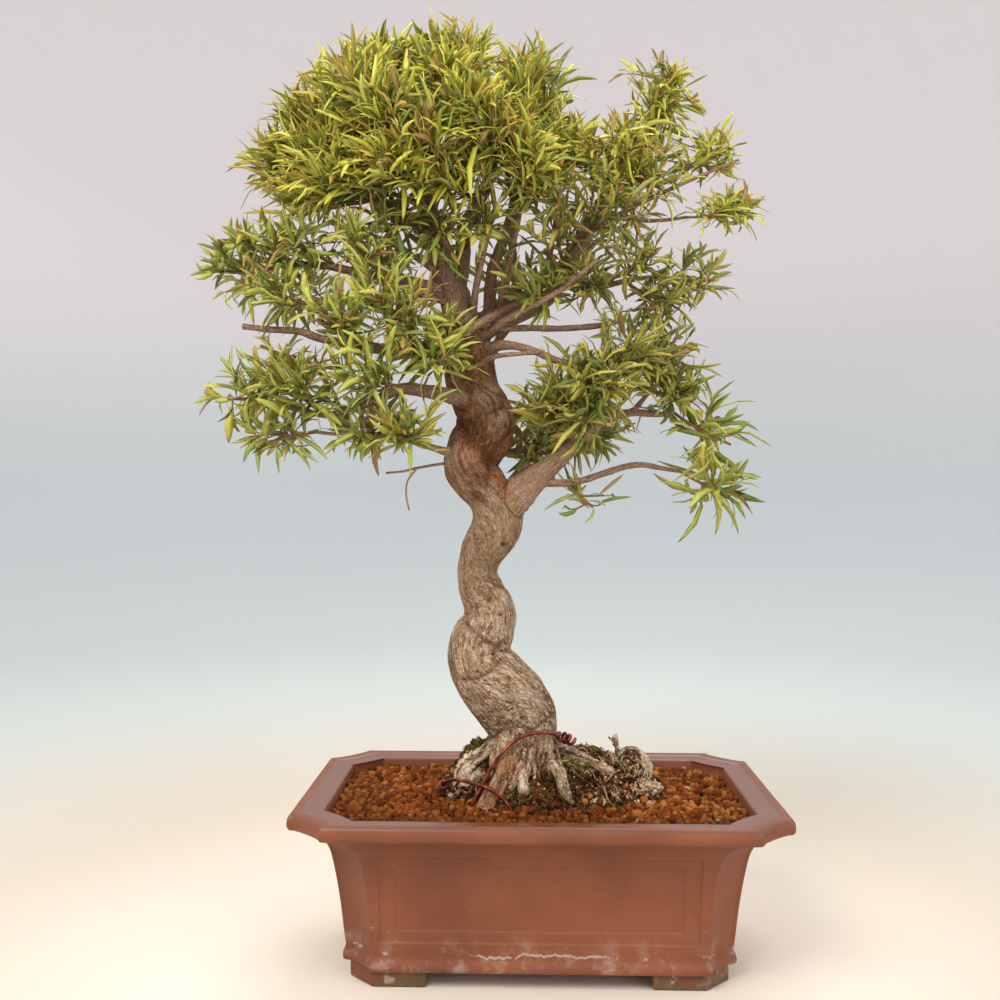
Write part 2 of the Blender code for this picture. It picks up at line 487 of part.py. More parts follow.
def material(name, colour, roughness, metallic=0.0):
    """Return a Principled material of one colour."""
    made = bpy.data.materials.new(name)
    made.use_nodes = True
    shader = made.node_tree.nodes["Principled BSDF"]
    shader.inputs["Base Color"].default_value = (*colour, 1.0)
    shader.inputs["Roughness"].default_value = roughness
    shader.inputs["Metallic"].default_value = metallic
    return made


def solid(name, vertices, faces, finish=None):
    """Make an object from points and faces, in triangles that point outwards."""
    mesh = bpy.data.meshes.new(name)
    mesh.from_pydata([tuple(point) for point in vertices], [], [tuple(face) for face in faces])
    shape = bmesh.new()
    shape.from_mesh(mesh)
    bmesh.ops.triangulate(shape, faces=shape.faces[:])
    bmesh.ops.recalc_face_normals(shape, faces=shape.faces[:])
    if shape.calc_volume(signed=True) < 0.0:
        bmesh.ops.reverse_faces(shape, faces=shape.faces[:])
    shape.to_mesh(mesh)
    shape.free()
    if finish:
        mesh.materials.append(finish)
    made = bpy.data.objects.new(name, mesh)
    bpy.context.scene.collection.objects.link(made)
    return made


def combine(body, others, operation, solver="EXACT"):
    """Unite the body with the others, or cut them out of it, and remove the others."""
    group = bpy.data.collections.new("operands")
    bpy.context.scene.collection.children.link(group)
    for other in others:
        bpy.context.scene.collection.objects.unlink(other)
        group.objects.link(other)
    change = body.modifiers.new("combine", "BOOLEAN")
    change.operation = operation
    change.operand_type = "COLLECTION"
    change.collection = group
    change.solver = solver
    view = bpy.context.evaluated_depsgraph_get()
    result = bpy.data.meshes.new_from_object(body.evaluated_get(view))
    body.modifiers.remove(change)
    body.data = result
    for other in others:
        bpy.data.objects.remove(other, do_unlink=True)
    bpy.data.collections.remove(group)
    keep_largest(body)


def keep_largest(body):
    """Drop the loose scraps that a cut or a union leaves, keep the largest closed piece, and triangulate it."""
    shape = bmesh.new()
    shape.from_mesh(body.data)
    bmesh.ops.remove_doubles(shape, verts=shape.verts[:], dist=WELD)
    bmesh.ops.dissolve_degenerate(shape, edges=shape.edges[:], dist=WELD)
    bmesh.ops.triangulate(shape, faces=shape.faces[:])
    unseen = set(shape.faces)
    pieces = []
    while unseen:
        stack = [unseen.pop()]
        piece = set(stack)
        while stack:
            for edge in stack.pop().edges:
                for face in edge.link_faces:
                    if face in unseen:
                        unseen.remove(face)
                        piece.add(face)
                        stack.append(face)
        pieces.append(piece)
    pieces.sort(key=lambda piece: sum(face.calc_area() for face in piece), reverse=True)
    scraps = [face for piece in pieces[1:] for face in piece]
    bmesh.ops.delete(shape, geom=scraps, context="FACES")
    shape.to_mesh(body.data)
    shape.free()


def shade(body, angle=SHARP_ANGLE):
    """Shade a rounded piece smooth, with its real edges kept sharp."""
    body.data.shade_smooth()
    body.data.set_sharp_from_angle(angle=angle)


def smooth_path(points, step):
    """Catmull-Rom curve through the points, radius included, with about one step between stations."""
    line = np.array(points, float)
    padded = np.vstack([2 * line[0] - line[1], line, 2 * line[-1] - line[-2]])
    stations = []
    for index in range(len(line) - 1):
        p0, p1, p2, p3 = padded[index:index + 4]
        count = max(1, round(float(np.linalg.norm((p2 - p1)[:3])) / step))
        for part in range(count):
            t = part / count
            stations.append(
                0.5 * (2 * p1 + (p2 - p0) * t + (2 * p0 - 5 * p1 + 4 * p2 - p3) * t ** 2
                       + (3 * p1 - p0 - 3 * p2 + p3) * t ** 3)
            )
    stations.append(line[-1])
    return np.array(stations)


def tube_arrays(stations, sides, grow=0.0):
    """Rings round a path, carried along it without twisting, with flat ends. Returns points and triangles."""
    places = stations[:, :3]
    radii = stations[:, 3] + grow
    ahead = np.gradient(places, axis=0)
    ahead /= np.linalg.norm(ahead, axis=1)[:, None]
    if grow:
        places = places.copy()
        places[0] -= ahead[0] * grow
        places[-1] += ahead[-1] * grow
    across = np.cross(ahead[0], (0.0, 0.0, 1.0) if abs(ahead[0][2]) < 0.9 else (1.0, 0.0, 0.0))
    across /= np.linalg.norm(across)
    rings = []
    angles = np.arange(sides) * 2.0 * math.pi / sides
    for place, direction, radius in zip(places, ahead, radii):
        across = across - direction * (across @ direction)
        across /= np.linalg.norm(across)
        other = np.cross(direction, across)
        rings.append(place + radius * (np.cos(angles)[:, None] * across + np.sin(angles)[:, None] * other))
    points = np.vstack(rings)
    triangles = []
    for ring in range(len(rings) - 1):
        for side in range(sides):
            a = ring * sides + side
            b = ring * sides + (side + 1) % sides
            triangles.append((a, b, b + sides))
            triangles.append((a, b + sides, a + sides))
    last = (len(rings) - 1) * sides
    for side in range(1, sides - 1):
        triangles.append((0, side + 1, side))
        triangles.append((last, last + side, last + side + 1))
    return points, triangles


def tube(name, stations, sides, finish=None, grow=0.0):
    """A solid rod of changing radius along a path."""
    points, triangles = tube_arrays(np.array(stations, float), sides, grow)
    return solid(name, points, triangles, finish)


def tree_of(body):
    """A search tree of an object's triangles."""
    return BVHTree.FromPolygons(
        [vertex.co.copy() for vertex in body.data.vertices],
        [tuple(face.vertices) for face in body.data.polygons],
    )


def side_columns(half_length, panel, sunk):
    """Places along one wall: its ends and, at the panels' height, both edges of each sunk panel."""
    columns = [half_length]
    for edge in panel if sunk else ():
        columns += [edge + PANEL_EDGE, edge - PANEL_EDGE]
    return [-place for place in columns] + columns[::-1]


def panel_depth(place, z, panel):
    """How far the wall is sunk at a place: one step inside the outer edge, two inside the inner one."""
    depth = 0.0
    if abs(place) < panel[0] and PANEL_Z_OUTER[0] < z < PANEL_Z_OUTER[1]:
        depth += PANEL_DEPTH_OUTER
        if abs(place) < panel[1] and PANEL_Z_INNER[0] < z < PANEL_Z_INNER[1]:
            depth += PANEL_DEPTH_INNER
    return depth


def wall_ring(z, offset):
    """The outline at one height, as four pairs: a wall's points, and both points of the corner after it."""
    half_x = FOOT_HALF[0] + offset
    half_y = FOOT_HALF[1] + offset
    rise = min(1.0, max(0.0, (z - FOOT_Z) / (RIM_Z - FOOT_Z)))
    corner = FOOT_CORNER + (RIM_CORNER - FOOT_CORNER) * rise
    sunk = PANEL_Z_OUTER[0] - PANEL_MARGIN < z < PANEL_Z_OUTER[1] + PANEL_MARGIN
    ring = []
    for turn in range(4):
        length, reach, panel = (half_x, half_y, FRONT_PANEL) if turn % 2 == 0 else (half_y, half_x, SIDE_PANEL)
        places = side_columns(length - corner, panel, sunk)
        wall = [(place, -reach + panel_depth(place, z, panel)) for place in places]
        cut = [(length - corner, -reach + CORNER_STEP), (length - CORNER_STEP, -reach + corner)]
        cosine, sine = ((1, 0), (0, 1), (-1, 0), (0, -1))[turn]
        turned = [[(x * cosine - y * sine, x * sine + y * cosine, z) for x, y in part] for part in (wall, cut)]
        ring.append(turned)
    return ring


def outer_pot(name, finish):
    """The pot's outer form: wall rings joined by quads, and by one face where the panels begin."""
    points, levels = [], []
    for z, offset in WALL_PROFILE + RIM_TOP_PROFILE:
        level = []
        for wall, cut in wall_ring(z, offset):
            first = len(points)
            points += wall + cut
            level.append((list(range(first, first + len(wall))), [first + len(wall), first + len(wall) + 1]))
        levels.append(level)
    faces = []
    for low, high in zip(levels, levels[1:]):
        for turn in range(4):
            lower, upper = low[turn][0], high[turn][0]
            if len(lower) == len(upper):
                chains = [(lower, upper)]
            else:
                faces.append(lower + upper[::-1])
                chains = []
            after = (turn + 1) % 4
            corner_low = [lower[-1], *low[turn][1], low[after][0][0]]
            corner_high = [upper[-1], *high[turn][1], high[after][0][0]]
            chains.append((corner_low, corner_high))
            for c, d in chains:
                faces += [(c[k], c[k + 1], d[k + 1], d[k]) for k in range(len(c) - 1)]
    ends = [[index for wall, cut in level for index in wall + cut] for level in (levels[0], levels[-1])]
    faces += [ends[0][::-1], ends[1]]
    return solid(name, points, faces, finish)


def loft(name, rings, finish=None):
    """A closed solid through rings of equal length, with flat ends."""
    count = len(rings[0])
    points = [point for ring in rings for point in ring]
    faces = [tuple(range(count))[::-1], tuple(range(len(points) - count, len(points)))]
    for ring in range(len(rings) - 1):
        for side in range(count):
            a = ring * count + side
            b = ring * count + (side + 1) % count
            faces.append((a, b, b + count, a + count))
    return solid(name, points, faces, finish)


def cavity_ring(z, offset, corner, shrink=0.0):
    """The inner outline at one height: a rectangle with cut corners."""
    half_x = FOOT_HALF[0] + offset - shrink
    half_y = FOOT_HALF[1] + offset - shrink
    cut = corner - shrink * (2.0 - math.sqrt(2.0))
    return [
        (-half_x + cut, -half_y, z), (half_x - cut, -half_y, z),
        (half_x, -half_y + cut, z), (half_x, half_y - cut, z),
        (half_x - cut, half_y, z), (-half_x + cut, half_y, z),
        (-half_x, half_y - cut, z), (-half_x, -half_y + cut, z),
    ]


def cavity(name, shrink=0.0):
    """The space inside the pot."""
    floor = CAVITY_PROFILE[0][0]
    rings = []
    for z, offset, corner in CAVITY_PROFILE:
        rings.append(cavity_ring(z + shrink if z == floor else z, offset, corner, shrink))
    return loft(name, rings)


def leg(name, sign_x, sign_y):
    """One corner foot: an L in plan with a cut outer corner, sunk a little into the pot's floor."""
    outer_x = FOOT_HALF[0] - LEG_INSET
    outer_y = FOOT_HALF[1] - LEG_INSET
    cut = FOOT_CORNER - LEG_INSET / 2
    plan = [
        (outer_x - LEG_FRONT_LENGTH, outer_y), (outer_x - cut, outer_y), (outer_x, outer_y - cut),
        (outer_x, outer_y - LEG_SIDE_LENGTH), (outer_x - LEG_WIDTH, outer_y - LEG_SIDE_LENGTH),
        (outer_x - LEG_WIDTH, outer_y - cut), (outer_x - cut, outer_y - LEG_WIDTH),
        (outer_x - LEG_FRONT_LENGTH, outer_y - LEG_WIDTH),
    ]
    rings = [[(sign_x * x, sign_y * y, z) for x, y in plan] for z in (0.0, FOOT_Z + LEG_OVERLAP)]
    return loft(name, rings)


def cylinder(name, x, y, radius, low, high, sides=DRAIN_SIDES):
    """An upright round rod."""
    angles = [2.0 * math.pi * side / sides for side in range(sides)]
    rings = [[(x + radius * math.cos(a), y + radius * math.sin(a), z) for a in angles] for z in (low, high)]
    return loft(name, rings)


def make_pot(finish):
    """The clay pot: outer loft, feet, then the space for the soil and the drain holes cut out."""
    pot = outer_pot("pot", finish)
    combine(pot, [leg("leg", sx, sy) for sx in (-1, 1) for sy in (-1, 1)], "UNION")
    floor_z = CAVITY_PROFILE[0][0]
    low, high = FOOT_Z - DRILL_MARGIN, floor_z + DRILL_MARGIN
    holes = [cylinder("drain", sign * DRAIN_HOLE_X, 0.0, DRAIN_HOLE_RADIUS, low, high) for sign in (-1, 1)]
    combine(pot, [cavity("hollow")] + holes, "DIFFERENCE")
    shade(pot, POT_SHARP_ANGLE)
    return pot


def make_screen(name, x, finish):
    """A drain screen: a thin square plate with slots, lying on the pot's floor over a drain hole."""
    columns = [-SCREEN_HALF]
    free = 2.0 * (SCREEN_HALF - SCREEN_BORDER) - SCREEN_SLOTS * SCREEN_SLOT_WIDTH
    bar = free / (SCREEN_SLOTS - 1)
    place = -SCREEN_HALF + SCREEN_BORDER
    for _ in range(SCREEN_SLOTS):
        columns += [place, place + SCREEN_SLOT_WIDTH]
        place += SCREEN_SLOT_WIDTH + bar
    columns.append(SCREEN_HALF)
    rows = [-SCREEN_HALF, -SCREEN_HALF + SCREEN_BORDER, SCREEN_HALF - SCREEN_BORDER, SCREEN_HALF]
    shape = bmesh.new()
    low = CAVITY_PROFILE[0][0] + GAP
    grid = [[shape.verts.new((x + u, v, low)) for u in columns] for v in rows]
    plate = []
    for j in range(len(rows) - 1):
        for i in range(len(columns) - 1):
            if j == 1 and i % 2 == 1:
                continue
            plate.append(shape.faces.new((grid[j][i], grid[j][i + 1], grid[j + 1][i + 1], grid[j + 1][i])))
    raised = bmesh.ops.extrude_face_region(shape, geom=plate)
    moved = [item for item in raised["geom"] if isinstance(item, bmesh.types.BMVert)]
    bmesh.ops.translate(shape, verts=moved, vec=(0.0, 0.0, SCREEN_THICKNESS))
    mesh = bpy.data.meshes.new(name)
    shape.to_mesh(mesh)
    shape.free()
    faces = [tuple(face.vertices) for face in mesh.polygons]
    return solid(name, [tuple(vertex.co) for vertex in mesh.vertices], faces, finish)


def soil_height(x, y):
    """The soil's surface without its grains: level at the wall and mounded to the trunk."""
    u = (x - MOUND_CENTRE_X) / MOUND_SPREAD[0]
    v = y / MOUND_SPREAD[1]
    return SOIL_EDGE_Z + SOIL_MOUND * math.exp(-u * u - v * v)


def make_soil(finish):
    """Soil block: a sheet of raised grains over the pot's inner form."""
    chance = random.Random(SOIL_SEED)
    half_x, half_y = FOOT_HALF[0] + SOIL_OVERHANG, FOOT_HALF[1] + SOIL_OVERHANG
    count_x, count_y = SOIL_CELLS
    points = []
    for j in range(count_y + 1):
        for i in range(count_x + 1):
            shift_x = chance.uniform(-GRAIN_SHIFT, GRAIN_SHIFT)
            shift_y = chance.uniform(-GRAIN_SHIFT, GRAIN_SHIFT)
            lift = chance.uniform(*GRAIN_CREST) if (i + j) % 2 == 0 else chance.uniform(*GRAIN_DIP)
            edge = i in (0, count_x) or j in (0, count_y)
            x = -half_x + 2 * half_x * i / count_x + (0.0 if edge else shift_x)
            y = -half_y + 2 * half_y * j / count_y + (0.0 if edge else shift_y)
            points.append((x, y, soil_height(x, y) + GRAIN_RELIEF * lift))
    row = count_x + 1
    faces = []
    for j in range(count_y):
        for i in range(count_x):
            a = j * row + i
            if (i + j) % 2 == 0:
                faces += [(a, a + 1, a + row + 1), (a, a + row + 1, a + row)]
            else:
                faces += [(a, a + 1, a + row), (a + 1, a + row + 1, a + row)]
    edge = list(range(row)) + [j * row + count_x for j in range(1, count_y + 1)]
    edge += [count_y * row + i for i in range(count_x - 1, -1, -1)]
    edge += [j * row for j in range(count_y - 1, 0, -1)]
    start = len(points)
    points += [(points[k][0], points[k][1], 0.0) for k in edge]
    for k in range(len(edge)):
        after = (k + 1) % len(edge)
        faces.append((edge[k], start + k, start + after, edge[after]))
    faces.append(tuple(range(len(points) - 1, start - 1, -1)))
    soil = solid("soil", points, faces, finish)
    combine(soil, [cavity("inner_form", GAP)], "INTERSECT")
    return soil


def ball_edge(angle, grow=0.0):
    """The root ball's outline in plan: an oval with a few soft lobes."""
    cosine, sine = math.cos(angle), math.sin(angle)
    reach = 1.0 / math.hypot(cosine / BALL_HALF[0], sine / BALL_HALF[1])
    reach *= 1.0 + sum(size * math.sin(times * angle + turn) for size, times, turn in BALL_LOBES)
    return BALL_CENTRE[0] + (reach + grow) * cosine, BALL_CENTRE[1] + (reach + grow) * sine


def ball_height(x, y, share, lump):
    """The root ball's top: a dome that falls to the soil at its edge, with a mossy knoll at the left."""
    knoll_x, knoll_y, knoll_rise, knoll_reach = MOSS_KNOLL
    knoll = knoll_rise * math.exp(-((x - knoll_x) ** 2 + (y - knoll_y) ** 2) / knoll_reach ** 2)
    dome = BALL_RISE * (1.0 - share ** BALL_DOME)
    relief = BALL_LUMPS * lump * (1.0 - share ** BALL_EDGE_CALM)
    return BALL_EDGE_Z + dome + knoll + relief


def make_root_ball(finish):
    """The old root mat: a plug with a lumpy domed top."""
    chance = random.Random(BALL_SEED)
    angles = [2.0 * math.pi * k / BALL_SECTORS for k in range(BALL_SECTORS)]
    centre = (BALL_CENTRE[0], BALL_CENTRE[1], ball_height(*BALL_CENTRE, 0.0, 0.0))
    points = [centre]
    for share in BALL_RINGS:
        for angle in angles:
            edge_x, edge_y = ball_edge(angle)
            x = BALL_CENTRE[0] + (edge_x - BALL_CENTRE[0]) * share
            y = BALL_CENTRE[1] + (edge_y - BALL_CENTRE[1]) * share
            points.append((x, y, ball_height(x, y, share, chance.uniform(-1.0, 1.0))))
    faces = [(0, 1 + k, 1 + (k + 1) % BALL_SECTORS) for k in range(BALL_SECTORS)]
    for ring in range(len(BALL_RINGS) - 1):
        for k in range(BALL_SECTORS):
            a = 1 + ring * BALL_SECTORS + k
            b = 1 + ring * BALL_SECTORS + (k + 1) % BALL_SECTORS
            faces.append((a, a + BALL_SECTORS, b + BALL_SECTORS, b))
    rim = 1 + (len(BALL_RINGS) - 1) * BALL_SECTORS
    start = len(points)
    points += [(points[rim + k][0], points[rim + k][1], BALL_BOTTOM_Z) for k in range(BALL_SECTORS)]
    for k in range(BALL_SECTORS):
        after = (k + 1) % BALL_SECTORS
        faces.append((rim + k, start + k, start + after, rim + after))
    faces.append(tuple(range(len(points) - 1, start - 1, -1)))
    return solid("root_ball", points, faces, finish)


def ball_hole():
    """The plain hole in the soil that the root ball stands in."""
    angles = [2.0 * math.pi * k / BALL_SECTORS for k in range(BALL_SECTORS)]
    rings = [[(*ball_edge(angle, GAP), z) for angle in angles] for z in (BALL_BOTTOM_Z - GAP, BALL_HOLE_TOP_Z)]
    return loft("ball_hole", rings)


def limb_sides(radius):
    """Sides of a limb's tube: more on thick wood."""
    return next(sides for least, sides in LIMB_SIDES if radius > least)


def root_tubes(grow=0.0):
    """The trunk's foot and its roots, as separate rods."""
    rods = [tube("trunk_foot", smooth_path(TRUNK[:4], TRUNK_STEP), TRUNK_SIDES, None, grow)]
    for name, points in ROOTS.items():
        rods.append(tube("root_" + name, smooth_path(points, ROOT_STEP), limb_sides(points[0][3]), None, grow))
    return rods


def make_wood(finish):
    """All of the tree's wood, united."""
    wood = tube("trunk_and_branches", smooth_path(TRUNK, TRUNK_STEP), TRUNK_SIDES, finish)
    parts = root_tubes()[1:]
    bpy.data.objects.remove(bpy.data.objects["trunk_foot"], do_unlink=True)
    for name, points in LIMBS.items():
        parts.append(tube("limb_" + name, smooth_path(points, LIMB_STEP), limb_sides(points[0][3])))
    combine(wood, parts, "UNION")
    shade(wood, WOOD_SHARP_ANGLE)
    return wood


def knot(start, end):
    """A twist of wire: a helix of a few tight turns from start to end."""
    start, end = Vector(start), Vector(end)
    axis = (end - start).normalized()
    side = axis.cross(UP).normalized()
    other = axis.cross(side)
    count = round(KNOT_TURNS * KNOT_STEPS)
    twist = []
    for k in range(1, count + 1):
        angle = 2.0 * math.pi * k / KNOT_STEPS
        reach = KNOT_RADIUS * min(1.0, 2.0 * k / KNOT_STEPS)
        swing = side * (reach * math.sin(angle)) + other * (reach * math.cos(angle))
        twist.append(start.lerp(end, k / count) + swing)
    return twist


def laid_clear(points, trees, clearance):
    """Push each point forward until it lies clear of what the wire is laid over."""
    placed = []
    for point in points:
        place = Vector(point)
        for _ in range(WIRE_TRIES):
            near = [tree.find_nearest(place) for tree in trees]
            inside = any((place - spot).dot(normal) < 0.0 for spot, normal, _, _ in near)
            if not inside and min(distance for _, _, _, distance in near) >= clearance:
                break
            place = place + Vector((0.0, -WIRE_NUDGE, 0.0))
        placed.append(place)
    return placed


def make_wire(name, route, twist, trees, finish, knot_first=False):
    """A tie wire: its route, smoothed and laid clear of the wood, with a twist at one end."""
    line = smooth_path([(*point, WIRE_RADIUS) for point in route], WIRE_STEP)
    line = [Vector(station[:3]) for station in line]
    line = twist[::-1] + line if knot_first else line + twist
    line = laid_clear(line, trees, WIRE_RADIUS * WIRE_ROOM + GAP)
    stations = [(*place, WIRE_RADIUS) for place in line]
    return tube(name, stations, WIRE_SIDES, finish), stations


def wire_sleeve(stations):
    """The plain hole that a wire needs in what it is stuck into."""
    return tube("sleeve", stations, WIRE_SIDES, None, GAP * SLEEVE_ROOM)


def box_around(body):
    """A plain box with the gap's room on every side of a piece, down through the floor's gap."""
    corners = np.array([tuple(vertex.co) for vertex in body.data.vertices])
    low, high = corners.min(axis=0) - POCKET_ROOM, corners.max(axis=0) + POCKET_ROOM
    high[2] -= POCKET_ROOM - GAP
    rings = [
        [(low[0], low[1], z), (high[0], low[1], z), (high[0], high[1], z), (low[0], high[1], z)]
        for z in (low[2], high[2])
    ]
    return loft("pocket", rings)


class Shoot:
    """A closed mesh in the making: stem, twigs, core and leaves are raised from its triangles, ring by ring."""

    def __init__(self, name, ring):
        self.points = list(ring)
        self.triangles = [(0, 2, 1), (0, 1, 2)]
        self.name = name

    def middle(self, face):
        """The middle of a triangle."""
        return sum((self.points[k] for k in self.triangles[face]), Vector()) / 3.0

    def normal(self, face):
        """The outward normal of a triangle."""
        a, b, c = (self.points[k] for k in self.triangles[face])
        return (b - a).cross(c - a).normalized()

    def lift(self, face, ring):
        """Raise a triangle to a new ring of three points. Returns the six triangles that now flank it."""
        low = self.triangles[face]
        start = len(self.points)
        self.points += ring
        high = (start, start + 1, start + 2)
        flank = []
        for k in range(3):
            after = (k + 1) % 3
            flank += [len(self.triangles), len(self.triangles) + 1]
            self.triangles += [(low[k], low[after], high[after]), (low[k], high[after], high[k])]
        self.triangles[face] = high
        return flank

    def point(self, face, tip):
        """Close a triangle to a sharp tip."""
        low = self.triangles[face]
        self.points.append(tip)
        last = len(self.points) - 1
        self.triangles[face] = (low[0], low[1], last)
        self.triangles += [(low[1], low[2], last), (low[2], low[0], last)]

    def ring_ahead(self, face, place, direction, radius):
        """A round ring of three points, turned like the triangle that it is raised from."""
        across = self.points[self.triangles[face][0]] - self.middle(face)
        across = (across - direction * across.dot(direction)).normalized()
        turns = (Quaternion(direction, 2.0 * math.pi * k / STEM_SIDES) for k in range(STEM_SIDES))
        return [place + turn @ across * radius for turn in turns]

    def grow(self, face, path):
        """Raise a triangle along a path of places and radii. Returns the flanks of its last stretch."""
        flank = []
        before = self.middle(face)
        for place, radius in path:
            flank = self.lift(face, self.ring_ahead(face, place, (place - before).normalized(), radius))
            before = place
        return flank

    def bulb(self, face, centre, half):
        """Swell a triangle into a core: six points round, six more, then a tip. Returns its triangles."""
        low = self.triangles[face]
        axis = (centre - self.middle(face)).normalized()
        across = self.points[low[0]] - self.middle(face)
        across = (across - axis * across.dot(axis)).normalized()
        start = len(self.points)
        for level, ring in CORE_RINGS:
            for k in range(6):
                way = axis * level + Quaternion(axis, math.pi * k / 3.0) @ across * ring
                self.points.append(centre + Vector((way.x * half[0], way.y * half[1], way.z * half[2])))
        self.points.append(centre + Vector((axis.x * half[0], axis.y * half[1], axis.z * half[2])))
        tip = len(self.points) - 1
        made = []
        for k in range(3):
            after = (k + 1) % 3
            between, here, there = start + 2 * k + 1, start + 2 * k, start + 2 * after
            made += [(low[k], low[after], between), (low[k], between, here), (low[after], there, between)]
        for k in range(6):
            after = (k + 1) % 6
            a, b, c, d = start + k, start + after, start + 6 + after, start + 6 + k
            made += [(a, b, c), (a, c, d), (d, c, tip)]
        self.triangles[face] = made[0]
        faces = [face] + list(range(len(self.triangles), len(self.triangles) + len(made) - 1))
        self.triangles += made[1:]
        return faces

    def tree(self):
        """A search tree of the triangles so far."""
        return BVHTree.FromPolygons(self.points, self.triangles)

    def crosses_itself(self):
        """True where two triangles that share no point cross."""
        tree = self.tree()
        for a, b in tree.overlap(tree):
            if a < b and not set(self.triangles[a]) & set(self.triangles[b]):
                return True
        return False

    def copy(self):
        """A second shoot of the same shape, to try a change on."""
        twin = Shoot(self.name, self.points)
        twin.triangles = list(self.triangles)
        return twin


class Foliage:
    """Keeps what is already in place, so that each new stem, twig and blade stays clear of it."""

    def __init__(self, wood, others):
        self.wood = tree_of(wood)
        self.fixed = [self.wood] + [tree_of(other) for other in others]
        self.placed = {}

    def keep(self, name, shoot):
        """Remember a spray as it stands."""
        centre = sum(shoot.points, Vector()) / len(shoot.points)
        reach = max((point - centre).length for point in shoot.points)
        self.placed[name] = (shoot.tree(), centre, reach)

    def blocked(self, points, triangles, owner):
        """True where a trial shape crosses a fixed piece or another spray."""
        trial = BVHTree.FromPolygons(points, triangles)
        if any(trial.overlap(tree) for tree in self.fixed):
            return True
        centre = sum(points, Vector()) / len(points)
        reach = max((point - centre).length for point in points)
        for name, (tree, other, other_reach) in self.placed.items():
            if name != owner and (other - centre).length < reach + other_reach and trial.overlap(tree):
                return True
        return False


def trial_rod(rings, tip=None):
    """A closed trial shape through rings of three points, fatter by the margin that it has to keep clear."""
    points = []
    for ring in rings:
        middle = sum(ring, Vector()) / 3.0
        points += [point + (point - middle).normalized() * LEAF_MARGIN for point in ring]
    triangles = [(0, 2, 1)]
    for start in range(0, len(points) - 3, 3):
        for k in range(3):
            a, b = start + k, start + (k + 1) % 3
            triangles += [(a, b, b + 3), (a, b + 3, a + 3)]
    last = len(points) - 3
    if tip is None:
        triangles.append((last, last + 1, last + 2))
    else:
        middle = sum(rings[-1], Vector()) / 3.0
        points.append(tip + (tip - middle).normalized() * LEAF_MARGIN)
        triangles += [(last + k, last + (k + 1) % 3, last + 3) for k in range(3)]
    return points, triangles


def spaced(base, ring, share):
    """A ring part of the way from the triangle that is raised to the next ring."""
    return [low.lerp(high, share) for low, high in zip(base, ring)]


def leaf_face(direction, outward, chance):
    """The way that a leaf's upper side turns: mostly to the sky, a little outwards, with some roll."""
    face = UP * FACE_UP + outward * FACE_OUT
    face = face - direction * face.dot(direction)
    if face.length < FACE_LEAST:
        face = direction.orthogonal()
    return Quaternion(direction, chance.uniform(-FACE_ROLL, FACE_ROLL)) @ face.normalized()


def add_leaf(shoot, face, aim, outward, length, foliage, chance):
    """Raise a triangle into a leaf: narrow root, widest part with a keel below, sharp drooping tip."""
    normal = shoot.normal(face)
    base = [shoot.points[k] for k in shoot.triangles[face]]
    root = shoot.middle(face)
    own = shoot.tree()
    for attempt in range(LEAF_TRIES):
        wobble = Vector([chance.uniform(-1.0, 1.0) for _ in range(3)]) * (LEAF_WOBBLE * attempt)
        direction = (aim + wobble).normalized()
        if direction.dot(normal) < LEAF_LEAST_RISE:
            direction = (direction + normal * LEAF_TURN_OUT).normalized()
        size = length * (1.0 - LEAF_SHRINK * attempt)
        upper = leaf_face(direction, outward, chance)
        side = direction.cross(upper).normalized()
        width = LEAF_WIDTH * chance.uniform(*LEAF_WIDTH_SPREAD) / 2.0
        bend = chance.uniform(*LEAF_BEND) * size
        middle = root + direction * (size * LEAF_WIDEST) + upper * (bend * LEAF_ARCH)
        tip = root + direction * size - upper * (bend * (1.0 - LEAF_ARCH))
        section = [middle + side * width, middle - upper * LEAF_THICKNESS, middle - side * width]
        turns = [section[k:] + section[:k] for k in range(3)]
        section = min(turns, key=lambda turn: sum((a - b).length_squared for a, b in zip(base, turn)))
        points, triangles = trial_rod([spaced(base, section, LEAF_ROOT_SHARE), section], tip)
        crossing = BVHTree.FromPolygons(points, triangles).overlap(own)
        if crossing or foliage.blocked(points, triangles, shoot.name):
            continue
        twin = shoot.copy()
        twin.lift(face, section)
        twin.point(face, tip)
        if not twin.crosses_itself():
            shoot.points, shoot.triangles = twin.points, twin.triangles
            return True
    return False


def add_twig(shoot, face, aim, length, foliage, chance):
    """Raise a triangle into a side twig with a node near its end. Returns the node's flanks, or nothing."""
    normal = shoot.normal(face)
    base = [shoot.points[k] for k in shoot.triangles[face]]
    root = shoot.middle(face)
    for attempt in range(LEAF_TRIES):
        wobble = Vector([chance.uniform(-1.0, 1.0) for _ in range(3)]) * (TWIG_WOBBLE * attempt)
        direction = (aim + wobble + normal * TWIG_TURN_OUT).normalized()
        size = length * (1.0 - TWIG_SHRINK * attempt)
        bow = UP * (TWIG_BOW * size)
        places = (
            root + direction * TWIG_COLLAR, root + direction * size + bow,
            root + direction * (size + NODE_LENGTH) + bow * TWIG_BOW_END,
        )
        path = [(place, TWIG_RADIUS * taper) for place, taper in zip(places, TWIG_TAPER)]
        twin = shoot.copy()
        flank = twin.grow(face, path)
        rings = [twin.points[-9:-6], twin.points[-6:-3], twin.points[-3:]]
        points, triangles = trial_rod([spaced(base, rings[0], 0.5)] + rings)
        if foliage.blocked(points, triangles, shoot.name) or twin.crosses_itself():
            continue
        shoot.points, shoot.triangles = twin.points, twin.triangles
        return flank
    return None


def limb_end(stations):
    """A limb's last point, the way that it faces and its radius."""
    end, before = Vector(stations[-1][:3]), Vector(stations[-2][:3])
    return end, (end - before).normalized(), float(stations[-1][3])


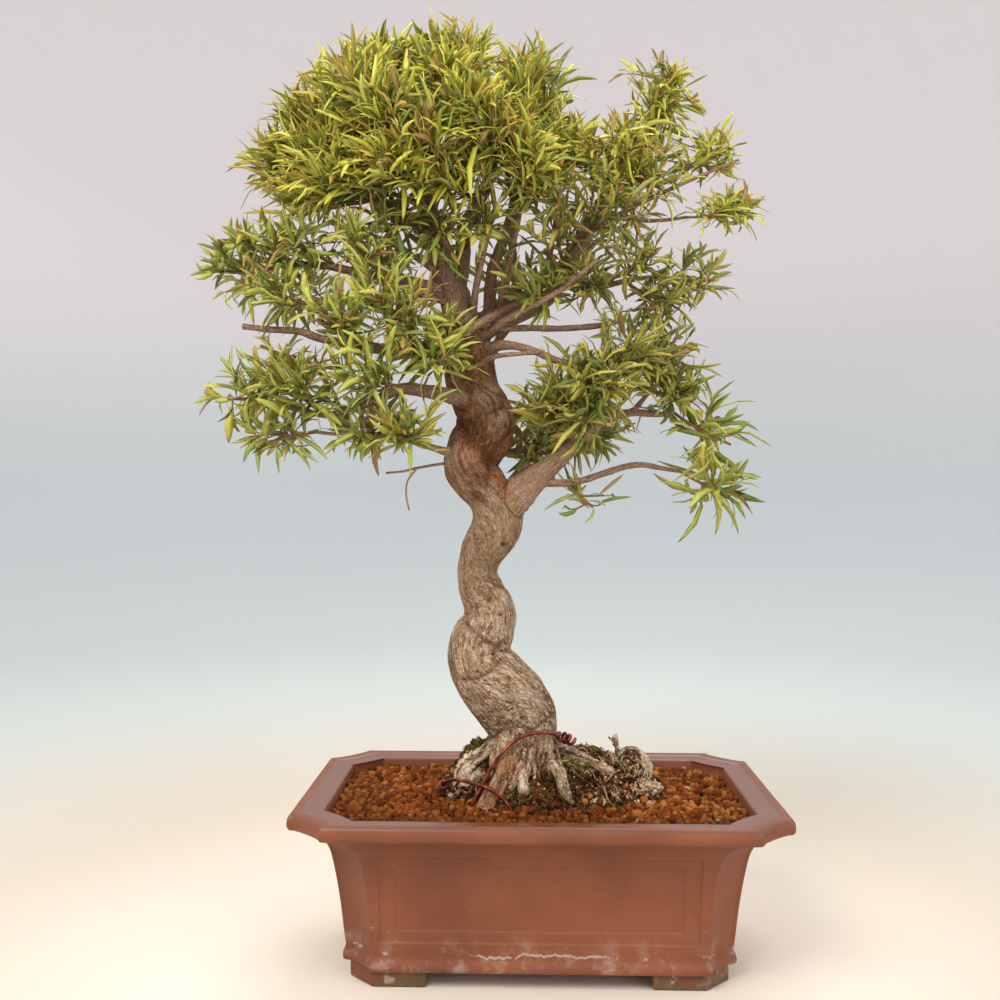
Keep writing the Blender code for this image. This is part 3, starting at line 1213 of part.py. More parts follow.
def stem_start(foliage, limb, share, target):
    """Where a spray's stem leaves the bark, just clear of it, which way it faces there, and how thick it is."""
    stations = smooth_path(limb, LIMB_STEP)
    if share >= 1.0:
        end, ahead, radius = limb_end(stations)
        return end + ahead * GAP, ahead, radius * STEM_TIP_FIT
    steps = np.linalg.norm(np.diff(stations[:, :3], axis=0), axis=1)
    run = np.concatenate([[0.0], np.cumsum(steps)])
    place = Vector([float(np.interp(share * run[-1], run, stations[:, k])) for k in range(3)])
    radius = float(np.interp(share * run[-1], run, stations[:, 3]))
    ahead = Vector([
        float(np.interp(min(1.0, share + LIMB_AIM_SHARE) * run[-1], run, stations[:, k]))
        - float(np.interp(max(0.0, share - LIMB_AIM_SHARE) * run[-1], run, stations[:, k]))
        for k in range(3)
    ]).normalized()
    outward = target - place
    outward = (outward - ahead * outward.dot(ahead)).normalized()
    spot, normal, _, _ = foliage.wood.ray_cast(place + outward * (radius + BARK_SEARCH), -outward)
    if spot is None:
        return None
    return spot + normal * GAP, normal, min(STEM_RADIUS[1], max(STEM_RADIUS[0], radius * STEM_RADIUS_SHARE))


def stem_shoot(name, foliage, limb, share, centre, end_share, chance):
    """A stem that leaves the bark squarely and bows to its leafy space, tried until it runs clear."""
    for attempt in range(STEM_TRIES):
        place = share
        if share < 1.0:
            place = share + chance.uniform(-1.0, 1.0) * STEM_PLACE_STEP * attempt
            place = min(STEM_PLACES[1], max(STEM_PLACES[0], place))
        begin = stem_start(foliage, limb, place, centre)
        if begin is None:
            continue
        start, outward, radius = begin
        across = outward.orthogonal().normalized()
        turn = chance.uniform(0.0, 2.0)
        ring = [start + Quaternion(outward, turn + 2.0 * math.pi * k / 3.0) @ across * radius for k in range(3)]
        shoot = Shoot(name, ring)
        length = (centre - start).length
        bend = Vector([chance.uniform(-1.0, 1.0) for _ in range(3)]) * (STEM_BEND_STEP * attempt)
        knee = start + outward * (STEM_KNEE * length)
        end = start.lerp(centre, end_share)
        elbow = knee.lerp(end, 0.5) + bend
        shoot.grow(1, [(place, radius * taper) for place, taper in zip((knee, elbow, end), STEM_TAPER)])
        rings = [shoot.points[k:k + 3] for k in (3, 6, 9)]
        points, triangles = trial_rod([spaced(ring, rings[0], STEM_ROOT_SHARE)] + rings)
        bare = shoot.tree()
        if foliage.blocked(points, triangles, name) or any(bare.overlap(tree) for tree in foliage.fixed):
            continue
        if not shoot.crosses_itself():
            return shoot, (end - elbow).normalized()
    raise RuntimeError(name + " has no clear way from the bark to its leaves")


def add_core(shoot, foliage, centre, half):
    """Swell a stem's end into the small core of a dense spray. Returns the core's triangles."""
    core = [size * CORE_SCALE for size in half]
    for _ in range(CORE_TRIES):
        twin = shoot.copy()
        faces = twin.bulb(1, centre, core)
        if not foliage.blocked(twin.points, twin.triangles, shoot.name) and not twin.crosses_itself():
            shoot.points, shoot.triangles = twin.points, twin.triangles
            return faces
        core = [size * CORE_SHRINK for size in core]
    raise RuntimeError(shoot.name + " has no room for its core")


def dense_leaves(shoot, faces, foliage, centre, half, chance):
    """Leaves that stand out of a core on all sides, the outermost first."""
    stem = shoot.points[0]
    order = sorted(faces, key=lambda face: -shoot.normal(face).dot((shoot.middle(face) - stem).normalized()))
    count = 0
    for face in order:
        if count == CORE_LEAVES:
            break
        root, normal = shoot.middle(face), shoot.normal(face)
        before = shoot.copy()
        shrink = CORE_ROOT / max((shoot.points[k] - root).length for k in shoot.triangles[face])
        corners = [root.lerp(shoot.points[k], shrink) + normal * CORE_LIFT for k in shoot.triangles[face]]
        shoot.lift(face, corners)
        outward = (root - centre).normalized()
        aim = (normal * DENSE_RISE + outward * DENSE_OUT + UP * DENSE_UP).normalized()
        reach = Vector((aim.x * half[0], aim.y * half[1], aim.z * half[2]))
        goal = centre + reach * chance.uniform(*DENSE_REACH)
        length = min(DENSE_LENGTH[1], max(DENSE_LENGTH[0], (goal - root).length))
        if add_leaf(shoot, face, aim, outward, length, foliage, chance):
            count += 1
        else:
            shoot.points, shoot.triangles = before.points, before.triangles


def airy_leaves(shoot, ahead, foliage, centre, half, chance):
    """The stem forks into twigs, with leaves at the fork, at the nodes and at the tips."""
    fork = shoot.middle(1)
    flank = shoot.grow(1, [(fork + ahead * NODE_LENGTH, TWIG_RADIUS)])
    size = (centre - fork).length
    middle = fork + ahead * (NODE_LENGTH + size * AIRY_NODE_SHARE)
    places = (middle, middle + ahead * NODE_LENGTH)
    node = shoot.grow(1, [(place, TWIG_RADIUS * taper) for place, taper in zip(places, AIRY_NODE_TAPER)])
    spots = []
    for k in range(2):
        face = flank[2 * k]
        aim = (shoot.normal(face) + ahead * TWIG_AHEAD + UP * TWIG_UP).normalized()
        reach = Vector((aim.x * half[0], aim.y * half[1], aim.z * half[2])).length * TWIG_REACH
        made = add_twig(shoot, face, aim, reach, foliage, chance)
        if made is not None:
            spots.append((face, aim, 0.0))
            spots += [(made[0], aim, 1.0), (made[3], aim, 1.0)]
    spots.append((1, ahead, 0.0))
    spots += [(node[0], ahead, 1.0), (node[2], ahead, 1.0), (node[4], ahead, 1.0), (flank[4], ahead, 1.0)]
    for face, along, spread in spots:
        normal = shoot.normal(face)
        aim = (along * AIRY_AHEAD + normal * (AIRY_SPREAD * spread + AIRY_RISE) + UP * AIRY_UP).normalized()
        outward = (shoot.middle(face) - centre + aim * NODE_LENGTH).normalized()
        add_leaf(shoot, face, aim, outward, chance.uniform(*LEAF_LENGTH), foliage, chance)


def make_sprays(foliage, finishes):
    """Every spray: all stems and cores are placed first, then the leaves, so that none grows across a stem."""
    counts = {}
    begun = []
    for group, limb, share, centre, half, habit in SPRAYS:
        counts[group] = counts.get(group, 0) + 1
        name = "spray_%s_%02d" % (group, counts[group])
        chance = random.Random(name)
        centre = Vector(centre)
        end_share = CORE_STEM if habit == DENSE else AIRY_STEM
        shoot, ahead = stem_shoot(name, foliage, LIMBS[limb], share, centre, end_share, chance)
        faces = add_core(shoot, foliage, centre, half) if habit == DENSE else None
        foliage.keep(name, shoot)
        begun.append((shoot, ahead, faces, centre, half, chance, finishes[group]))
    for shoot, ahead, faces, centre, half, chance, finish in begun:
        if faces:
            dense_leaves(shoot, faces, foliage, centre, half, chance)
        else:
            airy_leaves(shoot, ahead, foliage, centre, half, chance)
        foliage.keep(shoot.name, shoot)
        solid(shoot.name, shoot.points, shoot.triangles, finish)


def centre_on_bounds():
    """Move everything so that the origin is under the middle of the whole plant's box."""
    bodies = list(bpy.context.scene.collection.objects)
    corners = np.array([tuple(vertex.co) for body in bodies for vertex in body.data.vertices])
    middle = (corners.min(axis=0) + corners.max(axis=0)) / 2.0
    shift = Matrix.Translation((-middle[0], -middle[1], -corners[:, 2].min()))
    for body in bodies:
        body.data.transform(shift)


def build():
    """Make every piece, from the pot upwards."""
    clear_scene()
    finish = {name: material(name, *values) for name, values in FINISHES.items()}
    pot = make_pot(finish["fired_clay"])
    screens = [make_screen("drain_screen_" + side, sign * DRAIN_HOLE_X, finish["screen_plastic"])
               for side, sign in (("left", -1), ("right", 1))]
    wood = make_wood(finish["bark"])
    soil = make_soil(finish["soil_grains"])
    ball = make_root_ball(finish["root_mat"])
    wood_tree = tree_of(wood)
    copper = finish["wire_lacquer"]
    upper_twist = knot(UPPER_WIRE[-1], UPPER_KNOT_END)
    upper, upper_line = make_wire("tie_wire_upper", UPPER_WIRE, upper_twist, [wood_tree], copper)
    lower_twist = knot(LOWER_WIRE[0], LOWER_KNOT_END)
    trees = [wood_tree, tree_of(upper)]
    lower, lower_line = make_wire("tie_wire_lower", LOWER_WIRE, lower_twist, trees, copper, knot_first=True)
    pockets = [box_around(screen) for screen in screens]
    sleeves = [wire_sleeve(upper_line), wire_sleeve(lower_line)]
    combine(soil, [ball_hole()] + pockets + sleeves, "DIFFERENCE")
    combine(ball, root_tubes(GAP) + [wire_sleeve(upper_line), wire_sleeve(lower_line)], "DIFFERENCE")
    foliage = Foliage(wood, [soil, ball, pot, upper, lower])
    make_sprays(foliage, {group: finish[name] for group, name in GROUP_FINISH.items()})
    centre_on_bounds()


build()
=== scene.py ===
"""Looks of a potted willow leaf fig bonsai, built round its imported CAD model.

Each piece is worked out with numpy from the same named sizes as the CAD model, and takes the place of the CAD
nodes that it stands for. Sizes are in metres, or in millimetres inside metres(), in the pot's own frame: its
origin is under the middle of the pot, +X is the viewer's right and -Y is the front. PLACE moves them to the
frame of the CAD model.
"""

import math
from collections import defaultdict, namedtuple
from itertools import product

import bpy
import numpy as np
from mathutils import Matrix, Vector
from mathutils.bvhtree import BVHTree


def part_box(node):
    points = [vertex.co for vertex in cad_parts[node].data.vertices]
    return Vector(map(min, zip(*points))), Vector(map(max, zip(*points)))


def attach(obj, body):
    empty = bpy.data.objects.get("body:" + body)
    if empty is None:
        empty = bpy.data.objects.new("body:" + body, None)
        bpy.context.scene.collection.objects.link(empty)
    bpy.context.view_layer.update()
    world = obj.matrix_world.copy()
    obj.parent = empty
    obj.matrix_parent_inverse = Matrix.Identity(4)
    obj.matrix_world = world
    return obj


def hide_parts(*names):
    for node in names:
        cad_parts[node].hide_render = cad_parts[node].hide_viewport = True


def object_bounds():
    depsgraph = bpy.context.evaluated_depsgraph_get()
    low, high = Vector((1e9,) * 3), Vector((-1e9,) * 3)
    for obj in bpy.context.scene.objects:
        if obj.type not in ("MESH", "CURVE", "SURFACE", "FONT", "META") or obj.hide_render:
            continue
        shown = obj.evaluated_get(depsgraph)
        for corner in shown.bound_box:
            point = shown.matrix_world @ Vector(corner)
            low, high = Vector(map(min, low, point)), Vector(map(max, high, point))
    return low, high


bl_info = {
    "name": "Potted willow leaf fig",
    "version": (1, 0, 0),
    "blender": (4, 5, 0),
    "location": "3D View > Sidebar > Bonsai",
    "description": "Builds the pot, soil, root mat, wood, wires and leafy shoots of a potted fig tree",
    "category": "Object",
}

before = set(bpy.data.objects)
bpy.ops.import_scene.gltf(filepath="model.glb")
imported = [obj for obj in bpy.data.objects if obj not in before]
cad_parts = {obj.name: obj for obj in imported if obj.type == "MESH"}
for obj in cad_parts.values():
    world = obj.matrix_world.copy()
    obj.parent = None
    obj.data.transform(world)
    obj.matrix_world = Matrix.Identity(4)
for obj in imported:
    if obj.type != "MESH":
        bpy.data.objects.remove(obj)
CAD_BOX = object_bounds()
POT_LOW, POT_HIGH = (np.array(corner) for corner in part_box("pot"))
PLACE = np.array([*((POT_LOW + POT_HIGH) / 2.0)[:2], 0.0])
UP = np.array([0.0, 0.0, 1.0])
GOLDEN_ANGLE = math.pi * (3.0 - math.sqrt(5.0))
BODY = "root"


def metres(table):
    """A number of millimetres in metres, or each number of a nested table of them."""
    if isinstance(table, dict):
        return {key: metres(rows) for key, rows in table.items()}
    if isinstance(table, (tuple, list)):
        return tuple(metres(rows) for rows in table)
    return round(table / 1000.0, 6)


# Camera: level, in front of the pot, turned and rolled a little
CAMERA_PLACE = (-0.0103, -0.7214, 0.2960)
CAMERA_TURN = math.radians(1.23)
CAMERA_ROLL = math.radians(0.19)
CAMERA_LENS = 39.6
CAMERA_SHIFT_Y = -0.005

# Pot: outline of the foot, corner cuts and sunk panels
FOOT_HALF = (0.1205, 0.0665)
FOOT_Z = 0.010
RIM_Z = 0.106
FOOT_CORNER = 0.0178
RIM_CORNER = 0.0230
INNER_CORNER = 0.0185
CORNER_STEP = 0.0030
INNER_STEP = 0.0003
CORNER_TRIM = 0.0015
FACET_HOLLOW = 0.0009
# Stations across a wall's middle, with its panels' half lengths
FRONT_WALL = (22, (0.0955, 0.0855))
SIDE_WALL = (9, (0.0395, 0.0305))
PANEL_Z = ((0.0284, 0.0820), (0.0355, 0.0760))
PANEL_DEPTH = (0.0011, 0.0008)
PANEL_SOFTNESS = 0.0011
# Edge of a sunk panel: stations across its soft step
PANEL_EDGE = (-1.0, -0.5, 0.0, 0.5, 1.0)
# Heights between which the outer wall gets stations at the panels' edges, and above which it has no panel
WALL_Z = (0.0102, 0.090)
LIP_Z = RIM_Z - 0.0075
# The clay's waves: size and height
CLAY_WAVE = (0.045, 0.00018)
DRAIN_HOLE_X = 0.060
DRAIN_HOLE_RADIUS = 0.009
DRILL_Z = (0.002, 0.010, 0.018, 0.024)
SHARP_ANGLE = math.radians(50.0)
# The pot's outer wall, from its underside up to the lip: height and outward offset from the foot's outline
OUTER_PROFILE = metres((
    (10, -2.6), (10.2, -1.2), (11.2, -0.2), (13.4, 0.2), (15.5, -0.2), (17.1, -1.3), (18.6, -1.6), (23, -1),
    (28.4, -0.3), (35.5, 0.5), (45, 1.6), (55, 3), (65, 4.6), (76, 6.7), (82, 8.6), (86, 11.1), (90, 15),
    (93, 19), (95.2, 23.5), (96.1, 26.5), (96.9, 28.5), (98.6, 29.6), (101, 29.8), (103.6, 29.5),
    (105.3, 28.5), (106, 26.8), (106, 25), (105.6, 23.6), (105, 22.7), (104.8, 21.4),
))
# The rim's inner band and the inner wall, down to the floor
INNER_PROFILE = metres((
    (104.7, 18), (104.6, 14), (104.4, 11.3), (104, 10.4), (103, 10), (98, 9.8), (90, 5.5), (80, 1),
    (30, -6.8), (19, -8), (18, -9.5),
))
LEG_INSET = 0.0045
LEG_FRONT_LENGTH = 0.048
LEG_SIDE_LENGTH = 0.034
LEG_WIDTH = 0.013
LEG_OVERLAP = 0.003
LEG_EDGE = 0.0013

# Soil: level at the wall, mound, opening, and the block under the grains as height and offset
SOIL_SEED = 41
SOIL_EDGE_Z = 0.0985
SOIL_MOUND = 0.0115
MOUND_CENTRE_X = -0.010
MOUND_SPREAD = (0.062, 0.042)
SOIL_HALF = (0.1290, 0.0755)
BED_SIDES = 120
BED_SINK = 0.0016
BED_TONE = 0.12
BED_SHARES = (1.0, 0.97, 0.93, 0.88, 0.82, 0.75, 0.67, 0.58, 0.48, 0.36, 0.22, 0.1)
BED_PROFILE = metres(((18.8, -10.5), (30, -7.8), (80, 0.2), (90, 4.6)))
# Grains by size: share of the usual width, and how many of them
GRAIN_SIZES = ((0.72, 0.9, 1.05, 1.3), (0.3, 0.35, 0.25, 0.1))
GRAIN_TONES = (0.46, 0.22)
GRAIN_SQUASH = (0.72, 1.08)

# Root ball: middle, reach, level at its edge, rise to its middle, mossy knoll and rings
MAT_SEED = 77
BALL_CENTRE = (0.006, 0.003)
BALL_HALF = (0.074, 0.050)
BALL_EDGE_Z = 0.1035
BALL_RISE = 0.026
BALL_BASE_Z = 0.060
BALL_SIDES = 150
BALL_RINGS = 46
MOSS_KNOLL = (-0.042, 0.006, 0.013, 0.018)
# Crumbs all over the mat, and clumps of them: middle, half sizes, count, and darkest and palest tone
CRUMB_COUNT = 5000
CRUMB_CLUMPS = (
    ((0.0612, 0.0020, 0.1150), (0.0085, 0.0055, 0.0125), 560, 0.30, 0.95),
    ((0.0660, -0.0120, 0.1080), (0.0140, 0.0100, 0.0042), 420, 0.72, 1.00),
    ((-0.0460, -0.0240, 0.1080), (0.0120, 0.0080, 0.0050), 260, 0.10, 0.70),
)
CHIP_COUNT = 420
CHIP_TONES = ((0.1, 0.35, 0.6, 0.9), (0.3, 0.3, 0.25, 0.15))
# Fine roots: count, middle, reach, length, thickness, and darkest and palest tone
FINE_ROOTS = (
    (260, BALL_CENTRE, (0.070, 0.047), 0.007, 0.00024, 0.10, 0.60),
    (80, (0.044, -0.012), (0.028, 0.020), 0.006, 0.00032, 0.30, 0.95),
    (12, (0.026, -0.004), (0.024, 0.014), 0.014, 0.00080, 0.45, 0.70),
    (24, (0.030, -0.010), (0.034, 0.022), 0.011, 0.00055, 0.30, 0.75),
    (40, (-0.040, -0.018), (0.018, 0.014), 0.010, 0.00050, 0.20, 0.80),
    (50, (0.066, -0.008), (0.009, 0.008), 0.004, 0.00040, 0.70, 1.0),
)
FINE_ROOT_STATIONS = 7
# Moss: count of blades, middle and spread
MOSS_CLUMPS = (
    (800, (-0.044, -0.006), (0.009, 0.010)), (700, (0.020, -0.016), (0.014, 0.010)),
    (300, (-0.030, 0.026), (0.016, 0.010)), (400, (0.040, 0.014), (0.020, 0.014)),
    (200, (-0.008, -0.040), (0.016, 0.006)), (500, (0.062, 0.002), (0.006, 0.005)),
)
# A blade of moss from its foot to its tip: share of its height, radius, and how much paler it gets
MOSS_BLADE = ((0.0, 0.5, 1.0), (0.00030, 0.00034, 0.00006), (0.0, 0.25, 0.5))

# Wood: each limb is a list of points x, y, z with the wood's radius there
TRUNK = metres((
    (-9, 2, 106, 15), (-10, 2, 127, 19), (-10, 0, 147, 22.5), (-19, -3, 162, 23.5), (-30, -6, 176, 22.5),
    (-39, -6, 188, 19.5), (-38, -3, 200, 20), (-32, 2, 212, 17.5), (-34, 6, 223, 17), (-39, 8, 234, 14.5),
    (-41, 8, 246, 13), (-37, 5, 259, 15), (-30, 0, 271, 17), (-28, -4, 282, 16.2), (-31.5, -6, 293, 15),
    (-39.5, -8, 304, 16), (-45.5, -7, 315, 16.5), (-42, -3, 326, 18.8), (-37, 3, 337, 19.5),
    (-37, 6, 350, 19), (-42, 8, 362, 17.2), (-45, 8, 374, 17.2), (-47, 6, 387, 17.5), (-49, 3, 398, 16),
    (-51, 0, 409, 13.5),
))
LIMBS = metres({
    "left_leader": (
        (-50, 0, 406, 12), (-55, -2, 423, 10.5), (-61, -4, 439, 9.5), (-66, -4, 456, 8.5),
        (-71, -2, 472, 7.2), (-75, 0, 489, 6), (-78, 2, 506, 5), (-84, 4, 523, 4), (-89, 5, 540, 3),
    ),
    "right_leader": (
        (-48, 2, 399, 11), (-29, 6, 412, 9), (-10, 10, 420, 7.5), (5, 12, 429, 6.5), (14, 10, 442, 6),
        (22, 8, 454, 5.5), (30, 6, 467, 5), (37, 4, 483, 4.4), (46, 2, 496, 3.8), (56, 0, 509, 3),
        (66, 0, 523, 2.4), (71, 0, 536, 1.9),
    ),
    "front_cross": (
        (-60, -10, 383, 3.6), (-61, -21, 389, 3.2), (-52, -23, 398, 3), (-40, -20, 405, 2.8),
        (-27, -12, 413, 2.6), (-6, -2, 425, 2.4), (12, 6, 437, 2.2),
    ),
    "dome_left": (
        (-66, -4, 456, 5), (-80, -12, 471, 4), (-99, -16, 482, 3.3), (-122, -15, 493, 2.7),
        (-138, -11, 502, 2.1),
    ),
    "dome_front": ((-71, -3, 472, 4.2), (-73, -22, 483, 3.5), (-82, -36, 499, 2.8), (-87, -44, 509, 2.1)),
    "dome_middle": (
        (-55, 0, 422, 5.5), (-51, 4, 450, 5), (-50, 2, 471, 4.8), (-42, 0, 485, 4.4), (-34, -4, 501, 3.8),
        (-30, -6, 520, 3), (-34, -6, 538, 2.2),
    ),
    "dome_back": ((-67, 0, 458, 4.6), (-73, 24, 490, 3.8), (-79, 42, 520, 3), (-82, 50, 542, 2.1)),
    "dome_right": (
        (-33, 5, 410, 4.6), (-33, 4, 427, 4.2), (-31, 3, 445, 3.8), (-23, 1, 466, 3.4), (-17, -2, 485, 3),
        (-8, -6, 502, 2.4), (-1, -8, 514, 1.9),
    ),
    "dome_back_right": (
        (-13, 10, 419, 3.4), (-16, 16, 440, 3), (-19, 24, 470, 2.7), (-19, 32, 494, 2.3),
        (-15, 42, 519, 1.8),
    ),
    "left_high": (
        (-55, -2, 423, 5), (-71, -10, 430, 4), (-89, -16, 434, 3.4), (-115, -18, 438, 2.8),
        (-140, -18, 443, 2.3), (-165, -15, 444, 1.8),
    ),
    "left_middle": (
        (-48, 0, 394, 6), (-64, -12, 389, 4.8), (-87, -22, 387, 3.8), (-113, -28, 390, 3.2),
        (-137, -30, 394, 2.7), (-153, -30, 399, 2.3), (-170, -30, 400, 2), (-188, -30, 402, 1.8),
    ),
    "left_scarred": (
        (-112, -28, 389, 3), (-118, -29, 397, 2.9), (-129, -31, 405, 2.7), (-139, -32, 411, 2.4),
        (-147, -32, 416, 1.9),
    ),
    "left_stub": ((-104, -26, 389, 2.4), (-111, -35, 390, 2.1), (-122, -40, 395, 2), (-138, -42, 404, 1.9)),
    "left_low": (
        (-43, 4, 357, 6), (-59, -14, 360, 4.8), (-73, -22, 362, 4.2), (-88, -27, 363, 3.6),
        (-101, -29, 357, 3), (-116, -30, 351, 2.5), (-136, -30, 346, 2), (-156, -28, 352, 1.5),
    ),
    "left_low_twig": (
        (-99, -29, 358, 1.8), (-106, -33, 347, 1.4), (-115, -35, 339, 1.3), (-126, -36, 334, 1.2),
        (-140, -35, 335, 1),
    ),
    "left_side_twig": (
        (-126, -30, 348, 1.5), (-133, -21, 363, 1.2), (-150, -14, 382, 1.2), (-166, -12, 386, 1.2),
        (-181, -12, 392, 1.2),
    ),
    "low_branch": (
        (-44, -4, 320, 4), (-61, -14, 324, 2.6), (-71, -17, 327, 2.1), (-85, -18, 331, 1.7),
        (-98, -18, 336, 1.2),
    ),
    "dead_twig": (
        (-50, -6, 317, 1.6), (-63, -12, 316, 1), (-80, -14, 313, 0.9), (-88, -14, 311, 0.8),
        (-99, -14, 310, 0.7),
    ),
    "hanging_twig": ((-79, -14, 313, 0.7), (-85, -14, 305, 0.6), (-86, -14, 296, 0.6), (-84, -14, 286, 0.6)),
    "right_low": (
        (-28, -4, 285, 14), (-18, -6, 293, 12), (-9, -6, 301, 10), (1, -6, 310, 7.5), (11, -6, 319, 6.2),
        (28, -6, 334, 5.2), (39, -5, 344, 4.4), (49, -4, 348, 2.9), (62, -3, 350, 2.4), (76, -1, 349, 1.9),
        (88, 0, 350, 1.4),
    ),
    "right_low_up": ((60, -3, 350, 2), (66, -4, 357, 1.6), (70, -5, 362, 1.3)),
    "right_lowest": (
        (-1, -6, 308, 4), (7, -6, 304, 2.9), (25, -5, 305, 2.3), (41, -4, 310, 2.2), (57, -3, 315, 2.1),
        (68, -2, 316, 1.9), (79, 0, 314, 1.6), (92, 2, 312, 1.2),
    ),
    "fork_inner": ((-22, 0, 293, 4.5), (-20, 6, 302, 3.4), (-13, 8, 311, 2.9), (-6, 10, 317, 2.3)),
    "fork_back": ((-40, 0, 322, 5), (-26, 14, 324, 3), (-13, 22, 326, 2.5), (-3, 28, 331, 1.8)),
    "right_cut": (
        (-41, 2, 408, 4), (-29, -8, 404, 2.4), (-8, -10, 404, 2.1), (13, -8, 404, 2), (37, -6, 406, 1.9),
        (51, -6, 409, 1.6),
    ),
    "right_lower": (
        (-40, 2, 391, 5), (-22, -10, 393, 3), (-5, -14, 389, 2.5), (9, -15, 383, 2.4), (20, -15, 380, 2.3),
        (40, -14, 374, 2.1), (53, -13, 375, 1.7),
    ),
    "right_middle": (
        (13, 10, 440, 3), (29, 4, 433, 2.3), (44, 2, 434, 2), (59, 0, 437, 1.7), (72, 0, 439, 1.3),
    ),
    "right_top_side": (
        (38, 4, 486, 2.8), (52, 0, 478, 1.9), (66, 0, 476, 1.5), (80, 0, 476, 1.2), (96, 0, 478, 1),
    ),
    "right_top_upper": ((46, 2, 496, 2.6), (65, 2, 503, 2), (82, 2, 507, 1.5)),
    "centre_back": ((-41, 12, 374, 5), (-35, 32, 387, 3.6), (-28, 50, 405, 2.8), (-24, 58, 420, 2)),
    "left_back": ((-51, 4, 405, 5), (-74, 24, 413, 3.6), (-103, 38, 422, 2.8), (-130, 44, 430, 1.9)),
    "right_back": ((6, 12, 431, 3.6), (18, 30, 445, 2.7), (31, 44, 462, 2.2), (40, 50, 474, 1.6)),
    "low_back": ((-40, 12, 346, 5), (-24, 34, 352, 3.4), (0, 46, 358, 2.6), (18, 51, 363, 1.8)),
    "snag": ((-58, -10, 384, 3.2), (-62, -26, 391, 2.6), (-57, -29, 404, 2.3), (-53, -28, 418, 2)),
})
ROOTS = metres({
    "front_left": (
        (-11, -8, 147, 14), (-17, -19, 133, 11), (-22, -27, 120, 9.2), (-28.5, -34.5, 108, 9.2),
        (-33, -38.5, 97.5, 7.4),
    ),
    "front_right": (
        (-1, -6, 147, 13), (0, -17, 134, 9), (-1, -23, 122, 7.2), (-1, -26, 111, 6.2), (0, -28, 98, 5),
    ),
    "right": ((1, -8, 140, 9), (8, -19, 127, 5), (13, -25, 116, 3.6), (18, -28, 105, 3), (20, -29, 96, 2.6)),
    "left": (
        (-19, -3, 137, 10), (-33, -10, 128, 6.2), (-42, -13, 123, 6), (-47, -14, 118, 5.8),
        (-50, -13, 110, 4), (-50, -12, 101, 3),
    ),
    "back_left": ((-17, 8, 136, 11), (-34, 21, 121, 6.8), (-43, 26, 109, 4.6), (-45, 27, 99, 3.8)),
    "back_right": ((-3, 8, 136, 12), (16, 22, 122, 7.5), (29, 28, 109, 5), (33, 30, 99, 4)),
    "arch": (
        (0, 2, 134, 10), (21, 2, 117, 6), (38, 0, 109, 4.4), (48, -2, 111, 3.8), (52, -1, 120, 3.4),
        (55, 0, 126.5, 3), (61, 1, 129.2, 3), (67, 2, 125.8, 3.1), (70.5, 3, 118.5, 3.1), (71, 3, 110, 2.9),
        (70, 4, 101, 2.7),
    ),
    "stub": ((52, 0, 122, 2.7), (50, 0, 131, 2.1), (48, 0, 135, 1.6), (45, 0, 139, 1)),
    "stub_prong": ((50.5, 0, 130, 1.8), (50, 1, 134, 1.4), (50.5, 1, 139, 0.9)),
})
# Thin roots that lie on the mat: places across and back, and thickness from the middle line
LYING_ROOTS = metres((
    ((4, -17, 4.8), (12, -28, 3.6), (17, -36, 3), (21, -44, 2)),
    ((10, -6, 4.4), (26, -12, 2.8), (38, -10, 2.4), (50, -12, 1.8)),
    ((-36, -20, 4), (-46, -24, 3.4), (-54, -23, 2.8), (-61, -18, 2)),
    ((-6, -22, 4.4), (-10, -33, 3), (-9, -41, 2)),
))
LYING_RISE = 0.45
# Distance between the stations of thick wood and of limbs
WOOD_STEP = 0.0022
LIMB_STEP = 0.003
# Sides of a rod of wood, and the depth of the folds that wind round it
ROD_FORMS = {"trunk": (40, 0.022), "root": (20, 0.10), "limb": (12, 0.04)}
# Limbs from this radius on are grown into the trunk
GROWN_LIMB = 0.0029
THIN_LIMB_SIDES = 10
# Gap between the runs of two rods, so that no two share a pattern, and where the thin limbs' runs start
RUN_GAP = 0.05
THIN_RUN = 9.0
# How far the grain winds round the wood, in radians a metre
GRAIN_SPIN = 14.0

# Knots and scars on the trunk: place across and up, and radius of the ring
SCARS = metres(((-10.5, 286, 2.4), (-23.2, 264, 2.8), (-25, 219, 2.4), (-32, 228.5, 2.4)))
# Folds where the winding trunk is pressed together: width, depth, and places across and up that they pass
CREASES = metres((
    (2, 2.2, ((-48.7, 215.1), (-41, 208.7), (-34, 203), (-27, 199.2), (-22.5, 201.1))),
    (2.6, 1.4, ((-49, 178.5), (-40, 179.5), (-32, 184), (-25, 190.5))),
    (3.4, 1.4, ((-18.3, 338), (-25.5, 330), (-30.5, 319), (-32.5, 308), (-34, 300))),
    (3.2, 3.8, ((-53, 344), (-43.3, 332.4), (-38.1, 326.4), (-33.8, 320.3), (-30, 315))),
    (3.4, 1.6, ((-46, 370), (-37, 367), (-28, 362), (-20, 360))),
    (1.2, 1.4, ((-33.8, 347.5), (-29.5, 350), (-25.5, 352))),
    (2.2, 1.4, ((-33, 242), (-29, 237), (-23, 235))),
))
# Painted shade along the folds: strength and width of the dark line
CREASE_SHADE = 0.46
CREASE_SHADE_WIDTH = 0.0012
# Dark brown patches on the front of the wood, rusty low on the roots: place across and up, and size
STAINS = metres((
    (-20, 126, 9), (-28, 109, 11), (-54, 349, 8), (-41.6, 337.7, 9), (-32, 329, 9), (-31.1, 318, 8),
    (-38.1, 305, 8), (-39, 295, 6), (-26, 196, 7), (3, 166, 6), (6, 156, 6),
))
# Painted light on crests of the upper trunk: place across and up, and size
LIT_CRESTS = metres(((-24, 345, 10), (-33, 362, 9), (-56, 320, 9)))
LIT_CREST_STRENGTH = 0.60
